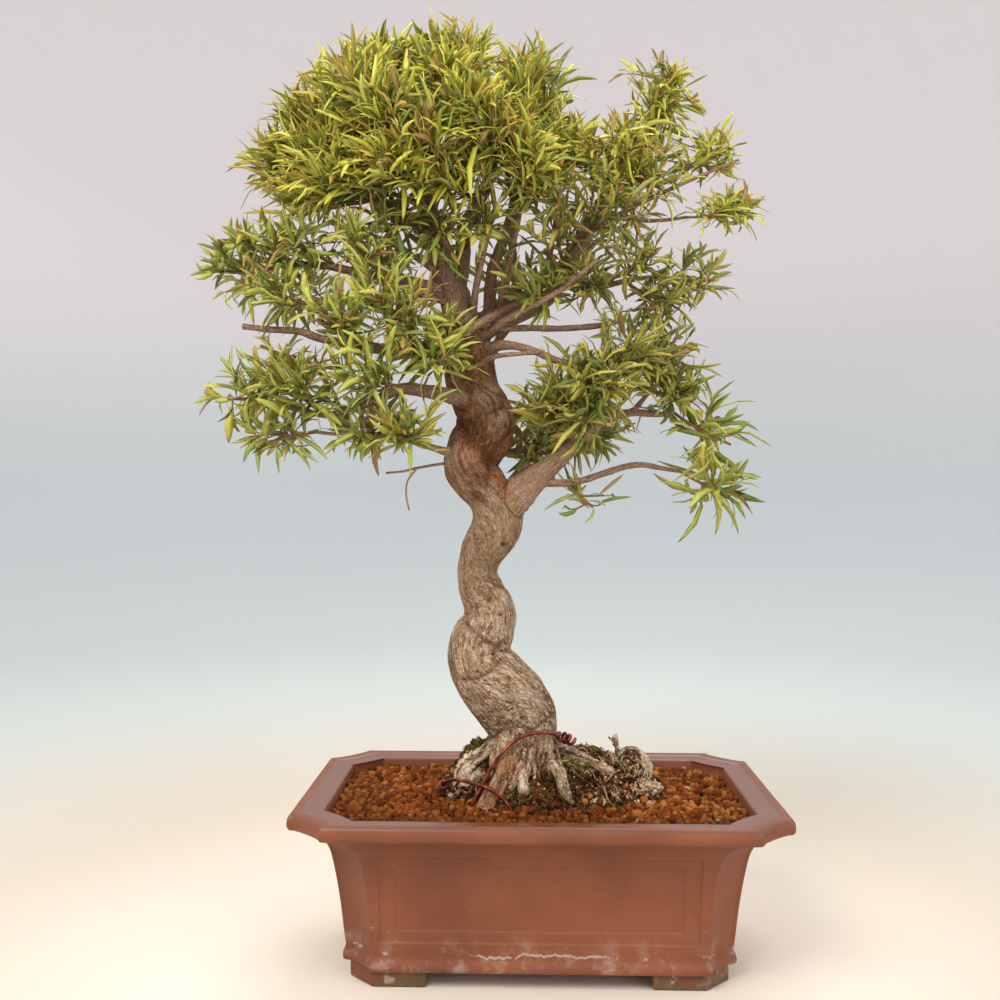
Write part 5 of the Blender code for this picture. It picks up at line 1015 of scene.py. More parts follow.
def fibre_finish(settings):
    """Fine roots: cream to brown, each of its own tone, with darker earth in patches."""
    paint = Paint("root_fibre", 0.85, 0.25)
    paint.start_ramp(
        paint.kept("tone"), (0.0, (0.025, 0.013, 0.007)), (0.40, settings.fibre_dark), (0.75, settings.fibre),
        (1.0, (0.68, 0.57, 0.40)),
    )
    dirt = paint.noise(420.0, 4.0, 0.7)
    paint.cover(dirt.rise(0.54, 0.70) * 0.6, settings.earth)
    return paint.finished(dirt, 0.0005, 0.6)


def moss_finish(settings):
    """Moss: dark green with yellow-green tips."""
    paint = Paint("moss_tuft", 0.9, 0.15)
    paint.start(paint.kept("tone"), settings.moss_dark, settings.moss_light)
    shade = paint.noise(260.0)
    paint.cover(shade.rise(0.52, 0.70) * 0.45, settings.earth)
    return paint.finished(shade, 0.0004, 0.5)


def bark_finish(settings):
    """Bark: a fine weave of streaks, crumbs and pits drawn out along the wood, grey-tan below, reddish brown
    above, pale on its worn crests, with painted shade in its hollows and along the folds of the trunk,
    painted light on crests of the upper trunk, green-grey bloom and cross wrinkles near the foot, brown
    patches with crumbled edges that are rusty low on the roots, and scars."""
    paint = Paint("bark_wood", 0.88, 0.06)
    grain = paint.kept("grain", output=1)
    scar, warm, bare, hollow, limb = (paint.kept(key) for key in ("scar", "warm", "bare", "hollow", "limb"))
    z = paint.parts(paint.place)[2]
    long_grain = paint.placed((1.0, 1.0, 0.42), grain)
    streak = paint.noise(640.0, 4.0, 0.62, 0.25, long_grain)
    wide = paint.noise(170.0, 5.0, 0.70, 0.6, paint.placed((1.0, 1.0, 0.34), grain))
    pits = paint.noise(390.0, 4.0, 0.70, at=paint.placed((1.0, 1.0, 0.75), grain))
    net = paint.cells(560.0, "DISTANCE_TO_EDGE", long_grain)
    wrinkle = paint.noise(620.0, 3.0, 0.6, 0.5, paint.placed((0.30, 0.30, 1.0), grain))
    crumb = paint.noise(860.0, 3.0, 0.65)
    blotch = paint.noise(55.0, 5.0, 0.70)
    weave = streak * 0.40 + crumb * 0.35 + pits * 0.25
    upper = (z + (blotch - 0.5) * 0.10).rise(0.282, 0.316)
    foot = z.fall(0.190, 0.270)
    grey = paint.mix(blotch.rise(0.36, 0.64), settings.bark_grey, settings.bark_mid)
    brown = paint.mix(blotch.rise(0.40, 0.62), settings.bark_red, settings.bark_brown)
    paint.start(upper, grey, brown)
    paint.cover(limb * 0.85, settings.bark_twig)
    bloom = z.fall(0.150, 0.225) * paint.noise(85.0, 4.0, 0.65).rise(0.48, 0.60)
    paint.cover(bloom * 0.40, settings.bark_green)
    # Bleached bare wood of the roots, and painted light on crests of the upper trunk
    paint.cover(bare * wide.rise(0.34, 0.58) * 0.90, settings.bare_wood_and_lit)
    brown_patch = (warm + (pits - 0.5) * 1.2 + (blotch - 0.5) * 0.8).rise(0.30, 0.80)
    rusty = z.fall(0.135, 0.150)
    paint.cover(brown_patch * 0.80, paint.mix(rusty, settings.brown_patch_scar_and_fold_shade, settings.bark_rust))
    crest = (1.0 - hollow) * wide.rise(0.44, 0.64)
    paint.cover(crest * (0.22 + 0.30 * foot - 0.12 * upper), settings.bark_pale)
    paint.cover(wide.fall(0.34, 0.48) * 0.24, settings.bark_dark_and_shade)
    # Painted shade in the hollows of the bark's relief
    paint.cover(hollow.rise(0.60, 1.0) * 0.85, settings.bark_dark_and_shade)
    paint.cover(weave.rise(0.51, 0.59) * (0.36 + 0.36 * foot - 0.14 * upper), settings.bark_pale)
    dark = weave.fall(0.42, 0.48) * (0.54 + 0.30 * foot + 0.16 * upper - 0.25 * limb)
    paint.cover(dark, settings.bark_dark_and_shade)
    paint.cover(brown_patch * rusty * 0.42, settings.bark_rust)
    paint.cover(net.fall(0.0, 0.10) * crumb.rise(0.44, 0.54) * 0.50, settings.bark_dark_and_shade)
    ring = z.band((0.132, 0.140), (0.150, 0.162))
    paint.cover(ring * wrinkle.fall(0.36, 0.50) * 0.70, settings.bark_dark_and_shade)
    # The scars, and the painted shade along the folds
    paint.cover(scar.rise(0.0, 0.5) * 0.75, settings.brown_patch_scar_and_fold_shade)
    paint.cover(scar.rise(0.55, 1.0), (0.030, 0.010, 0.004))
    relief = weave * 1.3 + wide * 0.25 + net.rise(0.0, 0.14) * 0.25 + crumb * (0.25 + 0.30 * upper)
    return paint.finished(relief + ring * wrinkle, 0.0017)


def leaf_finish(name, settings, dark, light):
    """A willow leaf: green to lime by age, a paler midrib and margin, side veins, a pale underside and
    orange-brown young tips, each leaf of its own tone."""
    paint = Paint(name, 0.36, 0.50)
    along, across, top = paint.parts(paint.kept("blade", output=1))
    age, young, chance = paint.parts(paint.kept("tint", output=1))
    paint.start(age, dark, light)
    paint.cover(chance.rise(0.60, 0.90) * 0.45, settings.leaf_yellow)
    paint.cover(paint.noise(55.0, 2.0).rise(0.50, 0.66) * 0.35, settings.leaf_olive)
    paint.cover(top.fall(0.10, 0.45) * 0.42, settings.leaf_under)
    paint.cover(across.rise(0.60, 0.95) * 0.45, settings.leaf_edge)
    midrib = across.fall(0.05, 0.17)
    paint.cover(midrib * 0.50, settings.leaf_edge)
    mottle = paint.noise(420.0, 3.0, 0.6)
    paint.cover(mottle.rise(0.55, 0.75) * 0.25, dark)
    paint.cover(chance.rise(0.34, 0.18) * 0.75, settings.leaf_green)
    paint.cover(young * (0.55 + 0.45 * along), settings.leaf_young)
    paint.cover(chance.rise(0.955, 0.965) * 0.85, settings.leaf_dry)
    paint.cover(along.rise(0.90, 0.99) * chance.rise(0.30, 0.60) * 0.3, settings.leaf_dry)
    veins = paint.maths("SINE", along * 90.0 + across * 9.0) * 0.5
    return paint.finished(midrib * 0.8 + veins * 0.25 + mottle * 0.25, 0.0002, 0.5, 0.40 + 0.2 * mottle)


def twig_finish(settings):
    """Young twigs: brown to green-brown bark with pale dots."""
    paint = Paint("twig_bark", 0.7, 0.3)
    fine = paint.noise(1400.0)
    paint.start(paint.noise(90.0).rise(0.40, 0.62), settings.twig_brown, settings.twig_green)
    paint.cover(fine.rise(0.60, 0.72) * 0.5, settings.bark_pale)
    return paint.finished(fine, 0.0002, 0.5)


def lacquer_finish(settings):
    """Copper wire: red-brown lacquer, with specks of bright metal and dulled in patches."""
    paint = Paint("copper_lacquer", 0.3, 0.5, metallic=0.75)
    cloud = paint.noise(160.0, 4.0, 0.6)
    fine = paint.noise(1200.0)
    paint.start(cloud.rise(0.40, 0.66), settings.copper_dark, settings.copper)
    paint.cover(fine.rise(0.60, 0.78) * 0.35, (0.60, 0.24, 0.15))
    return paint.finished(fine, 0.0001, 0.3, 0.24 + 0.30 * cloud)


def plastic_finish():
    """The drain screens' black plastic: finely dimpled, with earth dust."""
    paint = Paint("screen_moulded", 0.55, 0.4)
    dust = paint.noise(300.0, 4.0, 0.7)
    paint.start(dust.rise(0.45, 0.70) * 0.6, (0.012, 0.012, 0.013), (0.14, 0.06, 0.025))
    return paint.finished(dust, 0.0002, 0.4, 0.45 + 0.3 * dust)


def floor_finish(settings):
    """The pale cove: cream at the floor, brighter close to the pot by painted light, faintly blue behind the
    plant and grey-lilac above.
    """
    paint = Paint("studio_cove", 0.95, 0.1)
    x, y, z = paint.parts(paint.place)
    run = (x * x + y * y) ** 0.5 + z
    # Painted light: the floor close to the pot is brighter, against the shadow that the pot casts
    paint.start(run.rise(0.14, 0.42), settings.lit_floor_near_pot, settings.floor)
    paint.cover(run.rise(0.15, 1.05), settings.middle)
    paint.cover(run.rise(0.95, 2.20), settings.horizon)
    paint.cover(run.rise(2.25, 3.10), settings.backdrop)
    paint.cover(paint.noise(1.4, 2.0) * 0.05, (0.80, 0.80, 0.80))
    return paint.finished()


def wall_columns(ends, panel, turns):
    """Places across one wall, ring by ring: fixed ones at the panels' edges, and shares of what is left up to
    the wall's end."""
    outer, inner = panel
    edges = [edge + shift * PANEL_SOFTNESS for edge in panel for shift in PANEL_EDGE]
    plain = np.linspace(0.0, inner - 2.0 * PANEL_SOFTNESS, turns)
    fixed = np.unique([*plain, inner - 1.5 * PANEL_SOFTNESS, *edges, (inner + outer) / 2])
    shares = np.array([0.18, 0.40, 0.64, 0.86, 1.0])
    free = fixed[-1] + (ends[:, None] - fixed[-1]) * shares
    right = np.concatenate([np.broadcast_to(fixed, (len(ends), len(fixed))), free], axis=1)
    return np.concatenate([-right[:, :0:-1], right], axis=1)


def bent(corner, before, after, reach):
    """A rounded corner in plan: a quadratic curve from before the corner to after it. Arrays over rings."""
    return curved(corner - before * reach[:, None], corner, corner + after * reach[:, None], 4)


def pot_side(z, half_x, half_y, corner, step, turns, panel):
    """One wall of the pot and the stepped corner after it, in plan, for all rings at once. The wall is
    straight but for its two sunk panels, whose depth is a soft step from their edges; the corner's facet is
    slightly hollow."""
    trim = np.minimum(CORNER_TRIM, step * 0.48)
    along = wall_columns(half_x - corner - trim, panel, turns)
    depth = np.zeros_like(along)
    for half, (low, high), sink in zip(panel, PANEL_Z, PANEL_DEPTH):
        inside = np.minimum(half - np.abs(along), np.minimum(z - low, high - z)[:, None])
        depth += sink * eased(inside, -PANEL_SOFTNESS / 2, PANEL_SOFTNESS / 2)
    wall = np.stack([along, -half_y[:, None] + np.where((z < LIP_Z)[:, None], depth, 0.0)], axis=-1)
    ahead, inward = np.array([1.0, 0.0]), np.array([0.0, 1.0])
    across = unit(ahead + inward)
    a = np.stack([half_x - corner, -half_y], axis=-1)
    b = np.stack([half_x - corner, -half_y + step], axis=-1)
    c = np.stack([half_x - step, -half_y + corner], axis=-1)
    d = np.stack([half_x, -half_y + corner], axis=-1)
    t = np.array([0.2, 0.35, 0.5, 0.65, 0.8])[None, :, None]
    hollow = (FACET_HOLLOW * step / CORNER_STEP)[:, None, None] * np.sin(np.pi * t)
    facet = b[:, None] + (c - b)[:, None] * t + hollow * unit(inward - ahead)
    parts = [
        wall, bent(a, ahead, inward, trim)[:, 1:], bent(b, inward, across, trim), facet,
        bent(c, across, ahead, trim), bent(d, ahead, inward, trim)[:, :-1],
    ]
    return np.concatenate(parts, axis=1)


def pot_rings(profile, corner, step):
    """The pot's rings for a profile: four sides, each turned a quarter on from the last."""
    z, offset = profile.T
    halves = (FOOT_HALF[0] + offset, FOOT_HALF[1] + offset)
    sides = []
    for cosine, sine in ((1, 0), (0, 1), (-1, 0), (0, -1)):
        if cosine:
            side = pot_side(z, *halves, corner, step, *FRONT_WALL)
        else:
            side = pot_side(z, *halves[::-1], corner, step, *SIDE_WALL)
        x, y = side[..., 0], side[..., 1]
        sides.append(np.stack([x * cosine - y * sine, x * sine + y * cosine], axis=-1))
    return raised(np.concatenate(sides, axis=1), z[:, None])


def shrunk(ring, *shares):
    """A ring drawn in towards the middle by each of the shares."""
    return np.stack([ring * np.array([share, share, 1.0]) for share in shares])


def outer_wall():
    """The outer profile, with more stations at the edges of the sunk panels."""
    outer = curve_through(OUTER_PROFILE, 0.0022)
    z = outer[:, 0]
    wall = outer[(z >= WALL_Z[0]) & (z < WALL_Z[1])]
    marks = [edge + shift * PANEL_SOFTNESS for band in PANEL_Z for edge in band for shift in PANEL_EDGE]
    wall = np.vstack([wall, np.column_stack([marks, np.interp(marks, *wall.T)])])
    wall = wall[np.argsort(wall[:, 0], kind="stable")]
    return np.vstack([outer[z < WALL_Z[0]], wall, outer[z >= WALL_Z[1]]])


def pot_shape():
    """The pot's shell: rings of the outer and the inner profile, carried round the stepped outline, with the
    underside and the floor closed to a pole in the middle, and the whole surface slightly wavy."""
    outer, inner = outer_wall(), curve_through(INNER_PROFILE, 0.004)
    rise = np.clip((outer[:, 0] - FOOT_Z) / (RIM_Z - FOOT_Z), 0.0, 1.0)
    corner = FOOT_CORNER + (RIM_CORNER - FOOT_CORNER) * rise
    outer_rings = pot_rings(outer, corner, np.full(len(outer), CORNER_STEP))
    fade = eased(np.arange(len(inner)) / 4.0, 0.0, 1.0)
    corner = RIM_CORNER + (INNER_CORNER - RIM_CORNER) * fade
    inner_rings = pot_rings(inner, corner, CORNER_STEP + (INNER_STEP - CORNER_STEP) * fade)
    under = shrunk(outer_rings[0], 0.3, 0.65, 0.9)
    floor = shrunk(inner_rings[-1], 0.9, 0.6, 0.3)
    rings = np.concatenate([under, outer_rings, inner_rings, floor])
    size, height = CLAY_WAVE
    wave = rough(rings, size, 2, 5) * height
    rings = rings + unit(rings * np.array([1.0, 1.0, 0.0])) * wave[..., None]
    return closed(rings, (0.0, 0.0, FOOT_Z), (0.0, 0.0, INNER_PROFILE[-1][0]))


def leg_mesh(sign_x, sign_y):
    """One corner foot: an L in plan with a cut outer corner and eased edges, under the pot."""
    outer_x, outer_y = FOOT_HALF[0] - LEG_INSET, FOOT_HALF[1] - LEG_INSET
    cut = FOOT_CORNER - LEG_INSET / 2
    plan = np.array([
        (outer_x - LEG_FRONT_LENGTH, outer_y), (outer_x - cut, outer_y), (outer_x, outer_y - cut),
        (outer_x, outer_y - LEG_SIDE_LENGTH), (outer_x - LEG_WIDTH, outer_y - LEG_SIDE_LENGTH),
        (outer_x - LEG_WIDTH, outer_y - cut), (outer_x - cut, outer_y - LEG_WIDTH),
        (outer_x - LEG_FRONT_LENGTH, outer_y - LEG_WIDTH),
    ]) * np.array([sign_x, sign_y])
    plan = plan[::-sign_x * sign_y]
    side = np.arange(len(plan))
    after = (side + 1) % len(plan)
    walls = np.stack([side, after, after + len(plan), side + len(plan)], axis=-1)
    ends = np.stack([side[::-1], side + len(plan)])
    points = np.concatenate([raised(plan, 0.0), raised(plan, FOOT_Z + LEG_OVERLAP)])
    edges = {"width": LEG_EDGE, "segments": 3, "limit_method": "ANGLE"}
    return worked(mesh_from("leg", points, [walls, ends]), ("BEVEL", edges))


def make_pot(settings):
    """The clay pot with its drain holes and its four feet."""
    paths = np.array([[(x, 0.0, z) for z in DRILL_Z] for x in (-DRAIN_HOLE_X, DRAIN_HOLE_X)])
    radii = np.full(paths.shape[:2], DRAIN_HOLE_RADIUS)
    drill = linked("drill", mesh_from("drill", *tubes(paths, radii, 40)))
    drilled = {"operation": "DIFFERENCE", "solver": "EXACT", "object": drill}
    shell = worked(mesh_from("pot_shell", *pot_shape()), ("BOOLEAN", drilled))
    bpy.data.objects.remove(drill, do_unlink=True)
    whole = merged("pot_clay", [shell, *(leg_mesh(x, y) for x in (-1, 1) for y in (-1, 1))])
    whole.transform(Matrix.Translation(PLACE))
    piece("pot_clay", whole, clay_finish(settings), ["pot"])
    whole.set_sharp_from_angle(angle=SHARP_ANGLE)


def make_screens():
    """The drain screens keep their CAD shape and get their plastic."""
    finish = plastic_finish()
    for name in ("drain_screen_left", "drain_screen_right"):
        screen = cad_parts[name]
        screen.data.materials.clear()
        screen.data.materials.append(finish)


def soil_height(plan):
    """The soil's level: flat at the wall and mounded to the trunk as a bell curve."""
    u = (plan[..., 0] - MOUND_CENTRE_X) / MOUND_SPREAD[0]
    v = plan[..., 1] / MOUND_SPREAD[1]
    return SOIL_EDGE_Z + SOIL_MOUND * np.exp(-u * u - v * v)


def ball_share(plan):
    """How far out a place lies on the root ball: 0 in its middle, 1 at its lobed edge."""
    u, v = plan[..., 0] - BALL_CENTRE[0], plan[..., 1] - BALL_CENTRE[1]
    angle = np.arctan2(v, u)
    reach = 1.0 / np.hypot(np.cos(angle) / BALL_HALF[0], np.sin(angle) / BALL_HALF[1])
    reach = reach * (1.0 + 0.05 * np.sin(3.0 * angle + 1.0) + 0.03 * np.sin(5.0 * angle))
    return np.hypot(u, v) / reach


def ball_top(plan):
    """The root ball's level: a dome that falls to the soil at its edge, a mossy knoll at the left, and
    lumps."""
    share = np.clip(ball_share(plan), 0.0, 1.0)
    *middle, rise, reach = MOSS_KNOLL
    knoll = rise * np.exp(-np.sum((plan - middle) ** 2, axis=-1) / reach ** 2)
    flat = raised(plan, 0.0)
    lumps = rough(flat, 0.014, 3, 7) * 0.0030 + rough(flat, 0.0035, 2, 9) * 0.0009
    return BALL_EDGE_Z + BALL_RISE * (1.0 - share ** 2.2) + knoll + lumps * (1.0 - 0.6 * share ** 6)


def inside_pot(plan, clearance):
    """True where a place is inside the inner wall by the clearance."""
    half = np.array(SOIL_HALF) - clearance
    reach = np.abs(plan)
    return (reach < half).all(axis=-1) & (reach.sum(axis=-1) < half.sum() - INNER_CORNER)


def lump():
    """A ball of 26 points and 24 quads: a cube's surface of two cells a side, drawn out to a sphere."""
    cells = [cell for cell in product((-1, 0, 1), repeat=3) if any(cell)]
    quads = []
    for axis, sign, a, b in product(range(3), (-1, 1), (-1, 0), (-1, 0)):
        quad = []
        for step_a, step_b in ((0, 0), (1, 0), (1, 1), (0, 1)):
            cell = [0, 0, 0]
            cell[axis], cell[(axis + 1) % 3], cell[(axis + 2) % 3] = sign, a + step_a, b + step_b
            quad.append(cells.index(tuple(cell)))
        quads.append(quad[::sign])
    return unit(np.array(cells, float)), np.array(quads)


def crumb():
    """A small crumb: an octahedron."""
    corners = np.array([(1, 0, 0), (-1, 0, 0), (0, 1, 0), (0, -1, 0), (0, 0, 1), (0, 0, -1)], float)
    faces = [(0, 2, 4), (2, 1, 4), (1, 3, 4), (3, 0, 4), (2, 0, 5), (1, 2, 5), (3, 1, 5), (0, 3, 5)]
    return corners, np.array(faces)


def turned(count, chance):
    """Random turns, as matrices, from random unit quaternions."""
    w, x, y, z = unit(chance.normal(size=(count, 4))).T
    return np.stack([
        np.stack([1 - 2 * (y * y + z * z), 2 * (x * y - z * w), 2 * (x * z + y * w)], axis=-1),
        np.stack([2 * (x * y + z * w), 1 - 2 * (x * x + z * z), 2 * (y * z - x * w)], axis=-1),
        np.stack([2 * (x * z - y * w), 2 * (y * z + x * w), 1 - 2 * (x * x + y * y)], axis=-1),
    ], axis=1)


def strewn(shape, spots, sizes, tones, chance, dents, squash=None):
    """Many copies of a lump or crumb, dented at random, squashed, turned and set at each spot, and their
    points' tones."""
    corners, faces = shape
    count = len(spots)
    shapes = corners * chance.uniform(1.0 - dents, 1.0 + dents, (count, len(corners), 1))
    if squash:
        shapes = shapes * chance.uniform(*squash, (count, 1, 3))
    shapes = np.einsum("nij,npj->npi", turned(count, chance), shapes)
    points = spots[:, None] + shapes * (sizes / 2.0)[:, None, None]
    return (points.reshape(-1, 3), [repeated(faces, count, len(corners))]), np.repeat(tones, len(corners))


def scatter(count, half, chance, centre=(0.0, 0.0)):
    """Places in plan spread evenly at random: a grid of cells with one place shaken inside each."""
    rows = max(1, round(math.sqrt(count * half[1] / half[0])))
    columns = max(1, round(count / rows))
    i, j = np.meshgrid(np.arange(columns), np.arange(rows))
    x = (i.ravel() + chance.uniform(0.0, 1.0, i.size)) / columns
    y = (j.ravel() + chance.uniform(0.0, 1.0, j.size)) / rows
    return (2.0 * np.column_stack([x, y]) - 1.0) * half + centre


def make_soil(settings):
    """The soil: loose grains of several sizes, and the bed that they lie on."""
    chance = np.random.default_rng(SOIL_SEED)
    plan = scatter(settings.grain_count, SOIL_HALF, chance)
    shares, odds = GRAIN_SIZES
    size = settings.grain_size * chance.choice(shares, len(plan), p=odds)
    keep = inside_pot(plan, 0.0012) & (ball_share(plan) > 0.93)
    plan, size = plan[keep], size[keep]
    count = len(plan)
    spots = raised(plan, soil_height(plan) + size * chance.uniform(-0.32, 0.22, count))
    tone = np.clip(chance.normal(*GRAIN_TONES, count), 0.0, 0.92)
    right = eased(plan[:, 0], 0.02, 0.09)
    tone = np.where(chance.uniform(size=count) < 0.003 + 0.010 * right, 1.0, tone)
    sides = eased(np.abs(plan[:, 0] - MOUND_CENTRE_X), 0.055, 0.100)
    tone = np.where(chance.uniform(size=count) < 0.20 * sides, 0.90, tone)
    shape, tones = strewn(lump(), spots, size, tone, chance, 0.25, GRAIN_SQUASH)
    finish = grain_finish(settings)
    piece_from("soil_grains", shape, finish, "soil_grains", ["soil"], tone=tones)
    bed = soil_bed()
    piece_from("soil_bed", bed, finish, "soil_grains", ["soil"], tone=np.full(len(bed[0]), BED_TONE))


def soil_bed():
    """The soil under the loose grains: rings that shrink from the inner wall to the middle, at the soil's
    level, over a plain block that reaches the pot's floor."""
    direction = circle(BED_SIDES)
    reach = (np.array(SOIL_HALF) / np.maximum(np.abs(direction), 1e-9)).min(axis=1)
    reach = np.minimum(reach, (sum(SOIL_HALF) - INNER_CORNER) / np.abs(direction).sum(axis=1))
    plan = direction * (reach * np.array(BED_SHARES)[:, None])[..., None]
    level = soil_height(plan) - BED_SINK + rough(raised(plan, 0.0), 0.006, 2, 3) * 0.0010
    walls = []
    for z, offset in BED_PROFILE:
        walls.append(raised(plan[0] * ((np.array(FOOT_HALF) + offset) / np.array(SOIL_HALF)), z))
    rings = np.concatenate([shrunk(walls[0], 0.4), np.stack(walls), raised(plan, level)])
    top = soil_height(np.zeros(2)) - BED_SINK
    return closed(rings, (0.0, 0.0, BED_PROFILE[0][0]), (0.0, 0.0, top))


def root_ball_shape():
    """The root mat's top and side: rings that shrink from its lobed edge to the middle, at the ball's
    level."""
    centre, direction = np.array(BALL_CENTRE), circle(BALL_SIDES)
    shares = np.linspace(1.0, 0.02, BALL_RINGS)[:, None] / ball_share(centre + direction)
    plan = centre + direction * shares[..., None]
    rings = np.concatenate([raised(plan[:1], BALL_BASE_Z), raised(plan, ball_top(plan))])
    return closed(rings, (*centre, BALL_BASE_Z), (*centre, ball_top(centre)))


def crawling(count, centre, half, length, chance):
    """Paths of fine roots that wander over the root ball: the heading turns a little at each station."""
    angle = chance.uniform(0.0, 2.0 * math.pi, count)
    radius = np.sqrt(chance.uniform(0.0, 1.0, (count, 1)))
    start = np.array(centre) + np.array(half) * radius * towards(angle)
    x, y = (start - BALL_CENTRE).T
    away = np.arctan2(y, x) + chance.normal(0.0, 0.7, count)
    turns = chance.normal(0.0, 0.405, (count, FINE_ROOT_STATIONS))
    step = length * chance.uniform(0.6, 1.4, (count, 1, 1)) / FINE_ROOT_STATIONS
    heading = away[:, None] + np.cumsum(turns, axis=1)
    plan = start[:, None] + np.cumsum(towards(heading) * step, axis=1)
    level = np.where(ball_share(plan) > 1.0, soil_height(plan) + 0.001, ball_top(plan))
    arch = np.sin(np.linspace(0.0, math.pi, FINE_ROOT_STATIONS)) * chance.uniform(0.0, 0.0035, (count, 1))
    return raised(plan, level + 0.0006 + arch)


def make_root_mat(settings):
    """The old root mat with its fine roots, moss, crumbs and loose chips."""
    chance = np.random.default_rng(MAT_SEED)
    piece_from("root_mat", root_ball_shape(), mat_finish(settings), "root_mat", ["root_ball"])
    parts, tones = [], []
    for count, centre, half, length, thick, low, high in FINE_ROOTS:
        paths = crawling(count, centre, half, length, chance)
        taper = np.linspace(1.0, 0.35, FINE_ROOT_STATIONS)
        radii = thick * chance.uniform(0.6, 1.6, (count, 1)) * taper
        parts.append(tubes(paths, radii, 4))
        tones.append(np.repeat(chance.uniform(low, high, count), len(parts[-1][0]) // count))
    piece_from("fine_roots", joined(parts), fibre_finish(settings), "root_mat", tone=np.concatenate(tones))
    make_moss(settings, chance)
    make_crumbs(settings, chance)
    make_chips(chance)


def make_moss(settings, chance):
    """Moss: short pointed blades in clumps, on the knoll at the left, beside the trunk and in dots
    elsewhere."""
    spots = []
    for count, centre, spread in MOSS_CLUMPS:
        spots.append(np.array(centre) + chance.normal(0.0, 0.6, (count, 2)) * spread)
    plan = np.concatenate(spots)
    plan = plan[ball_share(plan) < 1.02]
    count = len(plan)
    base = raised(plan, ball_top(plan) - 0.0004)
    lean = unit(UP + chance.normal(0.0, 0.45, (count, 3)))
    height = chance.uniform(0.0012, 0.0032, (count, 1, 1))
    shares, radii, paler = (np.array(row) for row in MOSS_BLADE)
    paths = base[:, None] + lean[:, None] * height * shares[:, None]
    shape = tubes(paths, radii * chance.uniform(0.8, 1.4, (count, 1)), 3)
    tone = chance.uniform(0.0, 0.5, (count, 1)) + np.concatenate([np.repeat(paler, 3), paler[[0, 2]]])
    piece_from("moss", shape, moss_finish(settings), "root_mat", tone=tone.ravel())


def make_crumbs(settings, chance):
    """Dark and pale crumbs all over the root mat, a matted knob under the arched root and clumps beside
    it."""
    plan = scatter(CRUMB_COUNT, BALL_HALF, chance, BALL_CENTRE)
    plan = plan[ball_share(plan) < 1.0]
    x, y = plan.T
    tone = chance.normal(0.26, 0.24, len(plan)) + 0.24 * noise(raised(plan, 0.0), 0.010, 83)
    dusty = eased(x, 0.022, 0.050) * eased(-y, -0.006, 0.014)
    tone = np.clip(tone + 0.50 * dusty * (chance.uniform(size=len(plan)) < 0.5), 0.0, 1.0)
    size = chance.uniform(0.0012, 0.0032, len(plan))
    spots, sizes, tones = [raised(plan, ball_top(plan) + size * 0.1)], [size], [tone]
    for centre, half, count, low, high in CRUMB_CLUMPS:
        away = unit(chance.normal(size=(count, 3))) * chance.uniform(0.0, 1.0, (count, 1)) ** 0.4
        spots.append(np.array(centre) + away * half)
        sizes.append(chance.uniform(0.0014, 0.0034, count))
        tones.append(chance.uniform(low, high, count))
    gathered = (np.concatenate(parts) for parts in (spots, sizes, tones))
    shape, tones = strewn(crumb(), *gathered, chance, 0.3)
    piece_from("root_mat_crumbs", shape, crumb_finish(settings), "root_mat", tone=tones)


def make_chips(chance):
    """Loose grains of soil that lie on the root mat, most of them near its edge."""
    plan = scatter(CHIP_COUNT, BALL_HALF, chance, BALL_CENTRE)
    share = ball_share(plan)
    plan = plan[(share < 0.99) & (chance.uniform(size=len(plan)) < 0.10 + 0.85 * share ** 6)]
    size = chance.uniform(0.0022, 0.0044, len(plan))
    spots = raised(plan, ball_top(plan) + size * 0.15)
    shades, odds = CHIP_TONES
    tone = chance.choice(shades, len(plan), p=odds)
    shape, tones = strewn(lump(), spots, size, tone, chance, 0.22, GRAIN_SQUASH)
    piece_from("root_mat_chips", shape, bpy.data.materials["soil_grain"], "soil_grains", tone=tones)


def wood_lines():
    """Every rod of wood: its kind and its stations, thick rods first."""
    lines = [("trunk", curve_through(TRUNK, WOOD_STEP))]
    lines += [("root", curve_through(points, WOOD_STEP)) for points in ROOTS.values()]
    for places in LYING_ROOTS:
        plan, radius = np.array(places)[:, :2], np.array(places)[:, 2]
        level = ball_top(plan) + LYING_RISE * radius
        lines.append(("root", curve_through(np.column_stack([plan, level, radius]), WOOD_STEP)))
    lines += [("limb", curve_through(points, LIMB_STEP)) for points in LIMBS.values()]
    return lines


def rod_of(kind, line):
    """A rod of wood: circles along its line, swollen by low folds that wind round it."""
    sides, depth = ROD_FORMS[kind]
    turn = 2.0 * math.pi * np.arange(sides) / sides
    run = np.arange(len(line))[:, None] / len(line)
    folds = np.sin(3 * turn + 9.0 * run) + 0.6 * np.sin(5 * turn - 6.0 * run + 1.0)
    folds = folds + 0.4 * np.sin(2 * turn + 17 * run)
    reach = line[:, 3:] * (1.0 + depth * folds)
    rings = rings_round(line[None, :, :3], reach[None], sides)[0]
    return closed(rings, line[0, :3], line[-1, :3])


